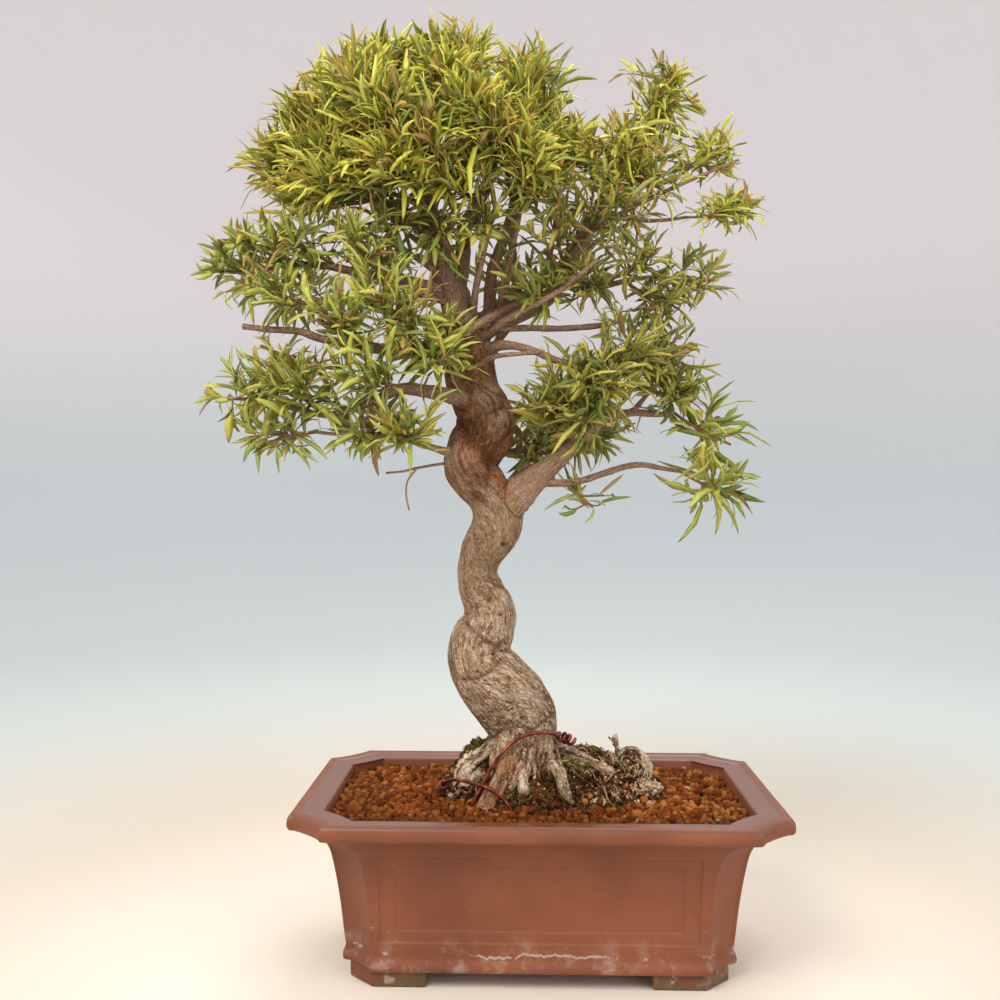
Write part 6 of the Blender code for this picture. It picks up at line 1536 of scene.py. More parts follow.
def along_wood(points, lines):
    """For each point, its nearest rod of wood: place in the rod's own frame (across, other, run) and the
    rod's radius. The run goes on from rod to rod, so that no two rods share a pattern."""
    frames, runs = [], []
    start = 0.0
    for _, line in lines:
        ahead, across, other = carried_frames(line[None, :, :3])
        run = run_along(line)
        frames.append(np.stack([across[0], other[0], ahead[0]], axis=1))
        runs.append(start + run)
        start += run[-1] + RUN_GAP
    frames, runs = np.concatenate(frames), np.concatenate(runs)
    stations = np.concatenate([line for _, line in lines]).astype(np.float32)
    places, radii = stations[:, :3], stations[:, 3]
    nearest = np.empty(len(points), int)
    for low in range(0, len(points), 4000):
        some = points[low:low + 4000].astype(np.float32)
        square = (some ** 2).sum(1)[:, None] + (places ** 2).sum(1)[None] - 2.0 * some @ places.T
        nearest[low:low + 4000] = np.argmin(np.sqrt(np.maximum(square, 0.0)) / (radii + 0.002), axis=1)
    away = np.einsum("nij,nj->ni", frames[nearest], points - places[nearest])
    return away[:, 0], away[:, 1], runs[nearest] + away[:, 2], radii[nearest]


def from_front(points, x, z):
    """Distance of points from a place across and up, as seen from the front."""
    return np.hypot(points[:, 0] - x, points[:, 2] - z)


def spot(points, x, z, size):
    """A soft spot seen from the front: 1 in its middle, falling off as a bell curve of that size."""
    return np.exp(-(from_front(points, x, z) / size) ** 2)


def fold_distance(points, line):
    """Distance of points from a line of straight pieces, as seen from the front."""
    places = points[:, [0, 2]]
    close = np.full(len(places), 1.0)
    for start, end in zip(line[:-1], line[1:]):
        along = end - start
        share = np.clip((places - start) @ along / (along @ along), 0.0, 1.0)
        close = np.minimum(close, np.linalg.norm(places - start - share[:, None] * along, axis=1))
    return close


def bark_relief(points, grain, furrows, front, low):
    """The bark's height, and its scars with the painted shade along the folds: furrows along the grain and
    deep ones near the foot, and on the front the knots as a ring round a pit, the swellings and the folds of
    the winding trunk."""
    height = rough(furrows, 0.0085, 2, 21) * 0.00035 + rough(furrows, 0.0030, 2, 31) * 0.00022
    height = height + rough(points, 0.016, 2, 51) * 0.0011
    scar = np.zeros(len(points))
    for x, z, size in SCARS:
        ring = np.exp(-((from_front(points, x, z) - size) / (size * 0.40)) ** 2)
        pit = spot(points, x, z, size * 0.45)
        height = height + front * (0.0010 * ring - 0.0016 * pit)
        scar = np.maximum(scar, front * np.clip(pit * 0.9 + 0.22 * ring, 0.0, 1.0))
    folds = np.abs(rough(grain * np.array([1.0, 1.0, 0.12]), 0.0052, 2, 71))
    height = height + low * (0.0020 - folds * 0.0056)
    for x, z, size, rise in SWELLINGS:
        height = height + front * rise * spot(points, x, z, size)
    for width, depth, crease in CREASES:
        close = fold_distance(points, np.array(crease))
        height = height - front * depth * np.exp(-(close / width) ** 2)
        # Painted shade: a dark line along each fold, kept with the scars
        scar = np.maximum(scar, front * CREASE_SHADE * np.exp(-(close / CREASE_SHADE_WIDTH) ** 2))
    return height, scar


def make_wood(settings):
    """The tree's wood: all rods grown together by a fine remesh, then furrowed along the grain."""
    lines = wood_lines()
    thick = [rod_of(kind, line) for kind, line in lines if kind != "limb" or line[0, 3] > GROWN_LIMB]
    mesh = worked(
        mesh_from("wood_rods", *joined(thick)),
        ("REMESH", {"mode": "VOXEL", "voxel_size": settings.wood_voxel}),
        ("SMOOTH", {"factor": 0.5, "iterations": 4}),
    )
    points, normals = read_points(mesh), read_points(mesh, "normal")
    across, other, run, radius = along_wood(points, lines)
    u, v = np.cos(run * GRAIN_SPIN), np.sin(run * GRAIN_SPIN)
    grain = np.stack([across * u - other * v, across * v + other * u, run], axis=-1)
    furrows = grain * np.array([1.0, 1.0, 0.17])
    front = normals[:, 1] < 0.1
    low = 1.0 - eased(points[:, 2], 0.128, 0.160)
    height, scar = bark_relief(points, grain, furrows, front, low)
    height = height * np.maximum(np.clip(radius / 0.018, 0.05, 1.0), low)
    points = points + normals * height[:, None]
    bare = np.maximum(eased(noise(furrows, 0.006, 61), -0.2, 0.5), eased(points[:, 0], 0.042, 0.050))
    bare = low * np.maximum(bare, eased(-points[:, 0], 0.036, 0.044))
    # Painted light: the crests of the upper trunk made pale
    for x, z, size in LIT_CRESTS:
        bare = np.maximum(bare, front * LIT_CREST_STRENGTH * spot(points, x, z, size))
    warm = np.zeros(len(points))
    for x, z, size in STAINS:
        warm = np.maximum(warm, front * spot(points, x, z, size))
    # Painted shade: how low a place lies in the bark's relief, stronger near the foot; the bark is darkened
    # there
    hollow = (1.0 - eased(height - low * 0.0004, -0.0018, 0.0010)) * (0.40 + 0.60 * low)
    limb = (1.0 - eased(radius, 0.0085, 0.0125)) * eased(points[:, 2], 0.20, 0.25)
    mesh.vertices.foreach_set("co", (points + PLACE).astype(np.float32).ravel())
    keep_values(mesh, {
        "grain": grain, "scar": scar, "warm": warm, "bare": bare, "hollow": hollow, "limb": limb,
    })
    mesh.update()
    finish = bark_finish(settings)
    piece("wood", mesh, finish, ["trunk_and_branches"])
    make_thin_limbs(lines, finish)


def make_thin_limbs(lines, finish):
    """The thin limbs and dead twigs: smooth rods with low joints where leaves once sat."""
    parts, grains = [], []
    start = THIN_RUN
    thin = [line for kind, line in lines if kind == "limb"]
    thin += [curve_through(points, LIMB_STEP) for points in BARE_TWIGS]
    for line in thin:
        run = run_along(line)
        joint = 1.0 + 0.10 * np.sin(run / 0.0045) ** 6 + 0.05 * noise(np.stack([run] * 3, -1), 0.01, 5)
        radii = line[:, 3] * joint
        parts.append(tubes(line[None, :, :3], radii[None], THIN_LIMB_SIDES))
        rings = raised(circle(THIN_LIMB_SIDES) * radii[:, None, None], (start + run)[:, None]).reshape(-1, 3)
        grains.append(np.vstack([rings, rings[:1], rings[-1:]]))
        start += run[-1] + RUN_GAP
    shape = joined(parts)
    none = np.zeros(len(shape[0]))
    piece_from(
        "branches", shape, finish, "bark", ["trunk_and_branches"], grain=np.concatenate(grains),
        hollow=none + 0.4, limb=none + 1.0, scar=none, warm=none, bare=none,
    )


def knot(start, end):
    """A twist of wire: a helix from start to end, whose radius grows over its first quarter."""
    axis = unit(end - start)
    side = unit(np.cross(axis, UP))
    share = np.linspace(0.0, 1.0, int(KNOT_TURNS * 14))[1:, None]
    angle = 2.0 * math.pi * KNOT_TURNS * share
    grow = np.minimum(1.0, 4.0 * share) * KNOT_REACH
    away = side * grow * np.sin(angle) + np.cross(axis, side) * grow * np.cos(angle)
    return start + (end - start) * share + away


def laid_clear(line, tree, clearance):
    """Push each station of a wire forward until it lies clear of the wood."""
    laid = []
    for place in line:
        station = Vector(place)
        for _ in range(LAY_STEPS):
            near, normal, _, distance = tree.find_nearest(station)
            if (station - near).dot(normal) > 0.0 and distance >= clearance:
                break
            station.y -= LAY_STEP
        laid.append(tuple(station))
    return np.array(laid)


def make_wires(settings):
    """The two tie wires, each with its twisted end."""
    wood = bpy.data.objects["wood"].data
    tree = BVHTree.FromPolygons(read_points(wood).tolist(), [tuple(face.vertices) for face in wood.polygons])
    finish = lacquer_finish(settings)
    radius = settings.wire_radius
    for name, (route, knot_end, knot_first) in WIRES.items():
        line = curve_through(route, 0.003)
        start = line[0] if knot_first else line[-1]
        twist = knot(start, start + (np.array(knot_end) - start) * KNOT_SHARE)
        line = np.vstack([twist[::-1], line] if knot_first else [line, twist])
        line = laid_clear(line + PLACE, tree, radius * 1.02) - PLACE
        for _ in range(2):
            line[1:-1] = (line[:-2] + 2.0 * line[1:-1] + line[2:]) / 4.0
        line = curve_through(line, 0.0012)
        radii = np.full(len(line), radius)
        radii[[0, -1]] = radius * 0.7
        shape = tubes(line[None], radii[None], WIRE_SIDES)
        piece_from("copper_" + name, shape, finish, "wire_lacquer", ["tie_wire_" + name])


def leaf_blades(base, ahead, upper, length, width, droop, sweep, twist):
    """Many leaf blades. A blade is a flat lens in section, folded along its midrib, whose middle line bows up
    and then down or sweeps to a side with the square of the run, and which turns a little about itself; its
    width grows from the stalk, holds and runs out to a point."""
    along = BLADE_ALONG[None, :, None]
    side = unit(np.cross(upper, ahead))
    upper = unit(np.cross(ahead, side))
    tip = base + length[:, None] * (ahead - upper * droop[:, None] + side * sweep[:, None])
    size, droop, sweep, twist = (values[:, None, None] for values in (length, droop, sweep, twist))
    bow = BLADE_BOW * np.sin(math.pi * along) - droop * along ** 2
    stalk, ahead, upper, side = (values[:, None] for values in (base, ahead, upper, side))
    middle = stalk + size * (ahead * along + upper * bow + side * sweep * along ** 2)
    slope = BLADE_BOW * math.pi * np.cos(math.pi * along) - 2.0 * droop * along
    facing = unit(ahead + upper * slope + side * (2.0 * sweep * along))
    level = unit(side - facing * np.sum(side * facing, axis=-1, keepdims=True))
    flat = level * np.cos(twist * along) + np.cross(facing, level) * np.sin(twist * along)
    rise = np.cross(facing, flat)
    half = width[:, None, None] / 2.0 * BLADE_WIDTH[None, :, None]
    fold, thick = rise * (BLADE_FOLD * half), rise * BLADE_THICKNESS
    edge, other_edge = middle + flat * half + fold, middle - flat * half + fold
    rings = np.stack([edge, middle + thick, other_edge, middle - thick], axis=2)
    marks = np.zeros((len(BLADE_ALONG), 4, 3))
    marks[..., 0] = BLADE_ALONG[:, None]
    marks[..., 1] = (1.0, 0.0, 1.0, 0.0)
    marks[..., 2] = (0.5, 1.0, 0.5, 0.0)
    marks = np.vstack([marks.reshape(-1, 3), [(0.0, 0.0, 0.5), (1.0, 0.5, 0.5)]])
    return closed_copies(rings, base, tip), np.tile(marks, (len(base), 1))


def limb_place(limb, share):
    """The place on a limb's middle line at a share of its length, and the limb's radius there."""
    line = curve_through(LIMBS[limb], LIMB_STEP)
    run = run_along(line)
    *place, radius = (np.interp(share * run[-1], run, column) for column in line.T)
    return np.array(place), radius


def curved(start, bend, end, stations):
    """Quadratic curves from start to end, drawn towards bend. Arrays over many curves."""
    t = np.linspace(0.0, 1.0, stations)[None, :, None]
    return (1 - t) ** 2 * start[:, None] + 2 * t * (1 - t) * bend[:, None] + t ** 2 * end[:, None]


def along_curve(paths, shares):
    """Index of the station before each share of a path's length, and the way from it to the next as a
    share."""
    place = shares * (paths.shape[1] - 1)
    whole = np.minimum(place.astype(int), paths.shape[1] - 2)
    return whole, (place - whole)[:, None]


def sphere_spread(count, chance):
    """Directions spread evenly over the sphere: heights in equal steps, each turned on by the golden
    angle."""
    height = 1.0 - 2.0 * (np.arange(count) + 0.5) / count
    angle = GOLDEN_ANGLE * np.arange(count) + chance.uniform(0.0, 2.0 * math.pi)
    spread = raised(np.sqrt(1.0 - height ** 2)[:, None] * towards(angle), height)
    return unit(spread + chance.normal(0.0, 0.16, spread.shape))


def spray_shoots(limb, share, centre, half, habit, count, chance):
    """The stem of one spray and its shoots: each shoot leaves the stem and bows out to its own part of the
    leafy space."""
    root, thick = limb_place(limb, share)
    outward = unit(centre - CROWN_CENTRE)
    bend = (root + centre) / 2.0 - UP * (0.12 * np.linalg.norm(centre - root))
    inner = centre + outward * half * habit.stem
    stem = curved(root[None], bend[None], inner[None], STEM_STATIONS)
    spread = unit(sphere_spread(count, chance) + outward * habit.lean + UP * habit.lift)
    reach = chance.uniform(0.25, 1.0, (count, 1)) ** 0.5 * habit.reach
    ends = centre + spread * half * reach
    whole, part = along_curve(stem, chance.uniform(0.30, 1.0, count))
    starts = stem[0, whole] * (1 - part) + stem[0, whole + 1] * part
    sag = UP * habit.sag + chance.normal(0.0, 0.14, (count, 3))
    bends = (starts + ends) / 2.0 + sag * np.linalg.norm(ends - starts, axis=1, keepdims=True)
    return stem, min(thick * 0.8, STEM_RADII[0]), curved(starts, bends, ends, STEM_STATIONS)


def shoot_leaves(paths, outward, habit, chance, settings):
    """Leaves on shoots: each turned on by the golden angle from the one before, spread wide low on the shoot
    and clasping its tip, shorter towards the tip."""
    shape = (len(paths), habit.leaves)
    order = np.arange(habit.leaves) / (habit.leaves - 1)
    whole, part = along_curve(paths, habit.lowest + (1.0 - habit.lowest) * order)
    base = paths[:, whole] * (1 - part) + paths[:, whole + 1] * part
    facing, side, rise = (directions[:, whole] for directions in carried_frames(paths))
    angle = GOLDEN_ANGLE * np.arange(habit.leaves) + chance.uniform(0.0, 6.28, (len(paths), 1))
    angle = (angle + chance.normal(0.0, 0.3, shape))[..., None]
    radial = side * np.cos(angle) + rise * np.sin(angle)
    opening = (0.95 - 0.60 * order)[:, None] + chance.normal(0.0, 0.30, (*shape, 1))
    aim = facing * np.cos(opening) + radial * np.sin(opening) + (outward * 0.7 + UP) * habit.rise
    aim = unit(aim + chance.normal(0.0, 0.26, aim.shape))
    upper = UP * 0.8 + outward * 0.45 + facing * 0.25 + chance.normal(0.0, 0.50, aim.shape)
    upper = unit(upper - aim * np.sum(upper * aim, axis=-1, keepdims=True))
    full = 1.0 - 0.52 * order ** 4
    length = settings.leaf_length * full * np.clip(chance.normal(0.88, 0.28, shape), 0.35, 1.45)
    width = settings.leaf_width * full ** 0.5 * chance.uniform(0.72, 1.20, shape)
    width = np.where(chance.uniform(size=shape) < habit.broad, width * 1.45, width)
    flat = (values.reshape(-1, 3) for values in (base, aim, upper))
    return *flat, length.ravel() * habit.size, width.ravel() * habit.size, np.tile(order, len(paths))


def kept_inside(base, aim, length):
    """Leaf lengths, cut back where a tip would leave the CAD model's box by more than the margin."""
    low, high = (np.array(corner) - PLACE for corner in CAD_BOX)
    margin = (high - low) * np.array(SIZE_MARGIN)
    reach = aim * length[:, None]
    room_high = (high + margin - base) / np.maximum(reach, 1e-9)
    room_low = (base - (low - margin)) / np.maximum(-reach, 1e-9)
    room = np.where(reach > 0, room_high, room_low).min(axis=1)
    return length * np.clip(room, 0.25, 1.0)


def listed(table):
    """Every spray of a table: group, limb, share of the limb, and the middle and half sizes of its space."""
    return [
        (group, limb, share / 100.0, np.array(metres(space[:3])), np.array(metres(space[3:])))
        for group, rows in table for limb, share, *space in rows
    ]


def leafy_spray(group, limb, share, centre, half, chance, settings):
    """One spray: its blades with their marks and tints, and the rods of its stem and shoots."""
    habit, count, young_share, long_share, wide_share = GROUPS[group][:5]
    habit = SPARSE if half[2] < SPARSE_BELOW else habit
    count = count if centre[1] < BACK_FROM else round(count * BACK_SHARE)
    stem, thick, paths = spray_shoots(limb, share, centre, half, habit, count, chance)
    outward = unit(centre - CROWN_CENTRE)
    base, aim, upper, length, width, order = shoot_leaves(paths, outward, habit, chance, settings)
    number = len(base)
    length = kept_inside(base, aim, length * long_share)
    bends = [chance.normal(middle, spread, number) for middle, spread in BLADE_BENDS]
    blades, marks = leaf_blades(base, aim, upper, length, width * wide_share, *bends)
    depth = np.linalg.norm((base - centre) / half, axis=1)
    age = np.clip(0.12 + 0.50 * depth + chance.normal(0.0, 0.30, number), 0.0, 1.0)
    sprout = np.repeat(chance.uniform(0.0, 1.0, count) < 0.50, habit.leaves)
    young = np.where(sprout & (order > 0.74), chance.uniform(0.3, 1.0, number), 0.0) * young_share
    tint = np.stack([age, young, chance.uniform(0.0, 1.0, number)], axis=-1)
    shoot_radii = np.linspace(*SHOOT_RADII, STEM_STATIONS) * chance.uniform(0.8, 1.2, (count, 1))
    stem_radii = np.linspace(thick, STEM_RADII[1], STEM_STATIONS)[None]
    rods = [tubes(stem, stem_radii, 6), tubes(paths, shoot_radii, 4)]
    return (blades, marks, np.repeat(tint, len(marks) // number, axis=0)), rods


def make_shoots(settings):
    """All leafy shoots, one piece of blades for each group, and one piece of stems and twigs."""
    leaves, nodes, twigs = defaultdict(list), defaultdict(list), []
    for index, (group, *spray) in enumerate(listed(SPRAYS + FILLING)):
        chance = np.random.default_rng(SPRAY_SEED + index)
        grown, rods = leafy_spray(group, *spray, chance, settings)
        leaves[group].append(grown)
        twigs += rods
        if index < len(listed(SPRAYS)):
            nodes[group].append("spray_%s_%02d" % (group, len(nodes[group]) + 1))
    for group, parts in leaves.items():
        slot, *tones = GROUPS[group][5:]
        finish = leaf_finish("blade_" + group, settings, *(getattr(settings, tone) for tone in tones))
        blades, marks, tints = zip(*parts)
        piece_from(
            "leaves_" + group, joined(blades), finish, slot, nodes[group], blade=np.concatenate(marks),
            tint=np.concatenate(tints),
        )
    piece_from("twigs", joined(twigs), twig_finish(settings), "bark")


def area_light(name, place, aim, size, colour, power):
    """A square soft light at a place, turned to a point."""
    lamp = bpy.data.lights.new(name, "AREA")
    lamp.shape = "SQUARE"
    lamp.size = size
    lamp.energy = power
    lamp.color = colour
    made = linked(name, lamp)
    made.location = place
    made.rotation_euler = (Vector(aim) - Vector(place)).to_track_quat("-Z", "Y").to_euler()


def cove_shape():
    """The studio cove: a round floor that sweeps up into a wall, as a profile turned round the upright
    axis."""
    profile = curve_through(COVE_PROFILE, COVE_STEP)
    plan = profile[:, None, :1] * (circle(COVE_SIDES) * np.array([1.0, -1.0]))
    points = raised(plan, np.maximum(profile[:, 1:], 0.0)).reshape(-1, 3)
    side = np.arange(COVE_SIDES)
    hub = np.stack([np.full(COVE_SIDES, len(points)), (side + 1) % COVE_SIDES, side], axis=-1)
    points = np.vstack([points, np.zeros(3)]) - UP * COVE_DROP
    return points, [ring_quads(len(profile), COVE_SIDES), hub]


def make_stage(settings):
    """Floor and backdrop, soft lights and the camera."""
    scene = bpy.context.scene
    mesh = mesh_from("cove", *cove_shape())
    smooth_mesh(mesh, floor_finish(settings))
    linked("cove", mesh)
    for name, light in LIGHTS.items():
        area_light(name, *light, getattr(settings, name + "_power"))
    scene.view_settings.view_transform = "Standard"
    scene.world = scene.world or bpy.data.worlds.new("studio")
    scene.world.use_nodes = True
    sky = scene.world.node_tree.nodes["Background"]
    sky.inputs["Color"].default_value = (*settings.sky, 1.0)
    sky.inputs["Strength"].default_value = settings.sky_strength
    lens = bpy.data.cameras.new("camera")
    lens.lens = CAMERA_LENS
    lens.sensor_width = 36.0
    lens.shift_y = CAMERA_SHIFT_Y
    lens.clip_start = 0.05
    camera = linked("camera", lens)
    turn = Matrix.Rotation(CAMERA_TURN, 4, "Z") @ Matrix.Rotation(math.radians(90.0), 4, "X")
    turn = turn @ Matrix.Rotation(CAMERA_ROLL, 4, "Z")
    camera.matrix_world = Matrix.Translation(Vector(CAMERA_PLACE) + Vector(PLACE)) @ turn
    scene.camera = camera


def colour_value(name, text, default):
    """A colour that the user can change."""
    return bpy.props.FloatVectorProperty(
        name=name, description=text, default=default, subtype="COLOR", size=3, min=0.0, max=1.0)


def length_value(name, text, default):
    """A length that the user can change."""
    return bpy.props.FloatProperty(name=name, description=text, default=default, unit="LENGTH", precision=5)


def power_value(name, text, default):
    """A light's power that the user can change."""
    return bpy.props.FloatProperty(name=name, description=text, default=default, unit="POWER")


class BonsaiPotSettings(bpy.types.PropertyGroup):
    """Finish of the pot."""

    clay_dark: colour_value("Dark clay", "Clay where the fire was strong", (0.175, 0.048, 0.0175))
    clay_light: colour_value("Light clay", "Clay where the fire was weak", (0.252, 0.074, 0.028))
    clay_rubbed: colour_value("Rubbed clay", "Clay where it was brushed and rubbed", (0.262, 0.098, 0.045))
    rim_grey: colour_value("Rim band", "Smooth band on the rim", (0.160, 0.070, 0.048))
    clay_wet: colour_value("Wet clay", "Wet edge of the rim", (0.150, 0.040, 0.012))
    lime: colour_value("Lime", "Lime streaks and dust", (0.52, 0.42, 0.36))
    foot_stain: colour_value("Foot stain", "Green-brown stain on the feet", (0.10, 0.075, 0.035))


class BonsaiSoilSettings(bpy.types.PropertyGroup):
    """Sizes and colours of the soil and the root mat."""

    grain_count: bpy.props.IntProperty(
        name="Grains", description="Grains on the whole opening", default=3800, min=100)
    grain_size: length_value("Grain size", "Usual width of a grain", 0.0052)
    wet: colour_value("Wet grain", "Damp grains", (0.050, 0.011, 0.002))
    brown: colour_value("Brown grain", "Usual grains", (0.145, 0.033, 0.0055))
    orange: colour_value("Orange grain", "Dry grains", (0.290, 0.080, 0.0150))
    pale: colour_value("Pale grain", "Dusty grains", (0.440, 0.165, 0.0380))
    earth: colour_value("Earth", "Dark earth of the root mat", (0.048, 0.016, 0.004))
    fibre: colour_value("Root", "Dry fine roots", (0.460, 0.285, 0.145))
    fibre_dark: colour_value("Dark root", "Dirty fine roots", (0.165, 0.072, 0.029))
    moss_dark: colour_value("Dark moss", "Moss in its depth", (0.030, 0.032, 0.004))
    moss_light: colour_value("Light moss", "Tips of the moss", (0.210, 0.230, 0.026))


class BonsaiWoodSettings(bpy.types.PropertyGroup):
    """Sizes and colours of the wood and the wires."""

    wood_voxel: length_value("Wood cell", "Cell size that the rods of wood are grown together with", 0.00124)
    bark_grey: colour_value("Grey bark", "Bark of the lower trunk, shaded", (0.280, 0.155, 0.077))
    bark_mid: colour_value("Tan bark", "Bark of the lower trunk", (0.460, 0.285, 0.160))
    bark_pale: colour_value("Pale bark", "Worn crests of the bark", (0.86, 0.690, 0.520))
    bark_red: colour_value("Red bark", "Bark of the upper trunk, shaded", (0.210, 0.068, 0.022))
    bark_brown: colour_value("Brown bark", "Bark of the upper trunk", (0.350, 0.134, 0.046))
    bark_twig: colour_value("Limb bark", "Bark of the limbs in the crown", (0.470, 0.290, 0.190))
    bark_green: colour_value("Green bloom", "Algae near the foot", (0.150, 0.125, 0.050))
    # Colour of bleached roots, also used for the painted light on crests of the upper trunk
    bare_wood_and_lit: colour_value("Bare wood", "Bleached wood of the roots", (0.88, 0.65, 0.43))
    # Colour of brown patches, scars and the painted shade along the folds
    brown_patch_scar_and_fold_shade: colour_value("Stains", "Brown stains, folds and cuts", (0.150, 0.055, 0.020))
    bark_rust: colour_value("Rust stains", "Rusty stains on the roots", (0.360, 0.120, 0.036))
    # Colour of the furrows, also used for the painted shade in the bark's hollows
    bark_dark_and_shade: colour_value("Furrows", "Depth of the furrows", (0.055, 0.020, 0.007))
    wire_radius: length_value("Wire radius", "Radius of the tie wires", 0.0012)
    copper: colour_value("Wire", "Lacquered copper", (0.370, 0.070, 0.038))
    copper_dark: colour_value("Dull wire", "Dulled copper", (0.115, 0.025, 0.017))


class BonsaiLeafSettings(bpy.types.PropertyGroup):
    """Sizes and colours of the leaves and young twigs."""

    leaf_length: length_value("Leaf length", "Length of a grown leaf", 0.0250)
    leaf_width: length_value("Leaf width", "Width of a grown leaf", 0.0030)
    # Painted light: all leaf colours are brighter than a leaf's own, standing in for light through the
    # leaves, the dome's most for the strong light from above; the shade colours are painted shade
    lit_dome_dark: colour_value("Dome, dark", "Older leaves of the dome", (0.540, 0.550, 0.030))
    lit_dome_light: colour_value("Dome, light", "Younger leaves of the dome", (0.930, 0.910, 0.130))
    left_dark: colour_value("Left, dark", "Older leaves on the left", (0.290, 0.350, 0.030))
    left_light: colour_value("Left, light", "Younger leaves on the left", (0.680, 0.730, 0.130))
    low_light: colour_value("Lower left, light", "Younger leaves low on the left", (0.620, 0.700, 0.130))
    shade_dark: colour_value("Shade, dark", "Older leaves in the shade", (0.135, 0.168, 0.016))
    shade_light: colour_value("Shade, light", "Younger leaves in the shade", (0.520, 0.510, 0.065))
    leaf_green: colour_value("Green leaf", "Full-grown dark leaves", (0.125, 0.190, 0.028))
    leaf_olive: colour_value("Olive leaf", "Leaves that turn brownish", (0.330, 0.270, 0.050))
    leaf_yellow: colour_value("Yellow leaf", "Yellowing leaves", (0.680, 0.480, 0.070))
    leaf_edge: colour_value("Leaf margin", "Margin and midrib", (0.780, 0.620, 0.100))
    leaf_under: colour_value("Underside", "Underside of a leaf", (0.330, 0.390, 0.160))
    leaf_young: colour_value("Young tip", "Orange-brown young leaves", (0.560, 0.250, 0.050))
    leaf_dry: colour_value("Dry leaf", "Dead leaves and tips", (0.30, 0.15, 0.06))
    twig_brown: colour_value("Brown twig", "Bark of young twigs", (0.340, 0.150, 0.065))
    twig_green: colour_value("Green twig", "Green-brown twigs", (0.15, 0.13, 0.045))
    bark_pale: colour_value("Twig dots", "Pale dots on the twigs", (0.40, 0.28, 0.18))


class BonsaiStageSettings(bpy.types.PropertyGroup):
    """Floor, backdrop and lights."""

    # Painted light: the floor close to the pot, made brighter against the pot's shadow
    lit_floor_near_pot: colour_value("Near floor", "Brighter floor close to the pot", (0.860, 0.760, 0.640))
    floor: colour_value("Floor", "Cream floor", (0.668, 0.562, 0.442))
    middle: colour_value("Middle", "Floor behind the plant", (0.600, 0.646, 0.605))
    horizon: colour_value("Horizon", "Backdrop behind the trunk", (0.535, 0.572, 0.578))
    backdrop: colour_value("Backdrop", "Upper backdrop", (0.775, 0.712, 0.715))
    sky: colour_value("Sky", "Light from all round", (0.93, 0.96, 1.0))
    sky_strength: bpy.props.FloatProperty(
        name="Sky strength", description="Strength of the light all round", default=0.80, min=0.0)
    key_power: power_value("Key", "Power of the main light", 22.0)
    fill_power: power_value("Fill", "Power of the fill light", 10.0)
    back_power: power_value("Back", "Power of the back light", 12.0)


class BonsaiSettings(bpy.types.PropertyGroup):
    """All sizes and colours, by piece."""

    pot: bpy.props.PointerProperty(type=BonsaiPotSettings, name="Pot", description="Finish of the pot")
    soil: bpy.props.PointerProperty(type=BonsaiSoilSettings, name="Soil", description="Soil and root mat")
    wood: bpy.props.PointerProperty(type=BonsaiWoodSettings, name="Wood", description="Wood and wires")
    leaf: bpy.props.PointerProperty(type=BonsaiLeafSettings, name="Leaves", description="Leaves and twigs")
    stage: bpy.props.PointerProperty(type=BonsaiStageSettings, name="Stage", description="Floor and lights")


class BONSAI_OT_stage(bpy.types.Operator):
    """Build the floor, the backdrop, the lights and the camera"""

    bl_idname = "bonsai.stage"
    bl_label = "Stage"

    def execute(self, context):
        make_stage(context.scene.bonsai.stage)
        return {"FINISHED"}


class BONSAI_OT_pot(bpy.types.Operator):
    """Build the clay pot with its feet and drain screens"""

    bl_idname = "bonsai.pot"
    bl_label = "Pot"

    def execute(self, context):
        make_pot(context.scene.bonsai.pot)
        make_screens()
        return {"FINISHED"}


class BONSAI_OT_soil(bpy.types.Operator):
    """Build the soil bed and its grains"""

    bl_idname = "bonsai.soil"
    bl_label = "Soil"

    def execute(self, context):
        make_soil(context.scene.bonsai.soil)
        return {"FINISHED"}


class BONSAI_OT_root_mat(bpy.types.Operator):
    """Build the root mat with its fine roots, moss and chips"""

    bl_idname = "bonsai.root_mat"
    bl_label = "Root mat"

    def execute(self, context):
        make_root_mat(context.scene.bonsai.soil)
        return {"FINISHED"}


class BONSAI_OT_wood(bpy.types.Operator):
    """Build the roots, the trunk and the limbs"""

    bl_idname = "bonsai.wood"
    bl_label = "Wood"

    def execute(self, context):
        make_wood(context.scene.bonsai.wood)
        return {"FINISHED"}


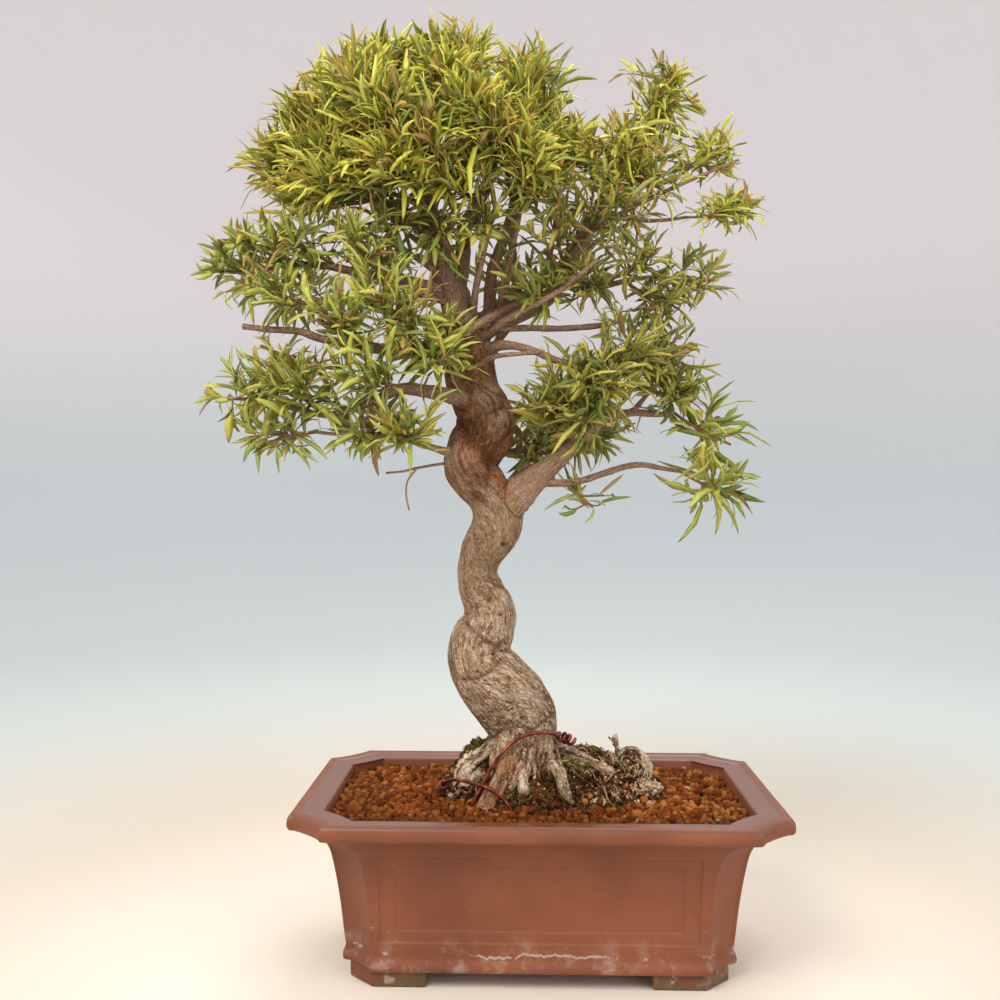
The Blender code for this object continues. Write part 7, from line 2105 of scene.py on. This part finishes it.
class BONSAI_OT_wires(bpy.types.Operator):
    """Lay the two tie wires over the roots"""

    bl_idname = "bonsai.wires"
    bl_label = "Tie wires"

    def execute(self, context):
        make_wires(context.scene.bonsai.wood)
        return {"FINISHED"}


class BONSAI_OT_shoots(bpy.types.Operator):
    """Grow the leafy shoots"""

    bl_idname = "bonsai.shoots"
    bl_label = "Leafy shoots"

    def execute(self, context):
        make_shoots(context.scene.bonsai.leaf)
        return {"FINISHED"}


OPERATORS = (
    BONSAI_OT_stage, BONSAI_OT_pot, BONSAI_OT_soil, BONSAI_OT_root_mat, BONSAI_OT_wood, BONSAI_OT_wires,
    BONSAI_OT_shoots,
)


class BONSAI_PT_panel(bpy.types.Panel):
    """Lists the pieces of the plant with their sizes and colours."""

    bl_idname = "BONSAI_PT_panel"
    bl_label = "Bonsai"
    bl_space_type = "VIEW_3D"
    bl_region_type = "UI"
    bl_category = "Bonsai"

    def draw(self, context):
        settings = context.scene.bonsai
        for operator in OPERATORS:
            self.layout.operator(operator.bl_idname)
        for part in ("pot", "soil", "wood", "leaf", "stage"):
            box = self.layout.box()
            group = getattr(settings, part)
            for key in group.bl_rna.properties.keys():
                if key not in ("rna_type", "name"):
                    box.prop(group, key)


CLASSES = (
    BonsaiPotSettings, BonsaiSoilSettings, BonsaiWoodSettings, BonsaiLeafSettings, BonsaiStageSettings,
    BonsaiSettings, *OPERATORS, BONSAI_PT_panel,
)


def register():
    """Make the classes known to Blender."""
    for part in CLASSES:
        bpy.utils.register_class(part)
    bpy.types.Scene.bonsai = bpy.props.PointerProperty(type=BonsaiSettings)


def unregister():
    """Take the classes out again."""
    del bpy.types.Scene.bonsai
    for part in reversed(CLASSES):
        bpy.utils.unregister_class(part)


def main():
    """Build every piece in order."""
    register()
    bpy.ops.bonsai.stage()
    bpy.ops.bonsai.pot()
    bpy.ops.bonsai.soil()
    bpy.ops.bonsai.root_mat()
    bpy.ops.bonsai.wood()
    bpy.ops.bonsai.wires()
    bpy.ops.bonsai.shoots()


if __name__ == "__main__":
    main()
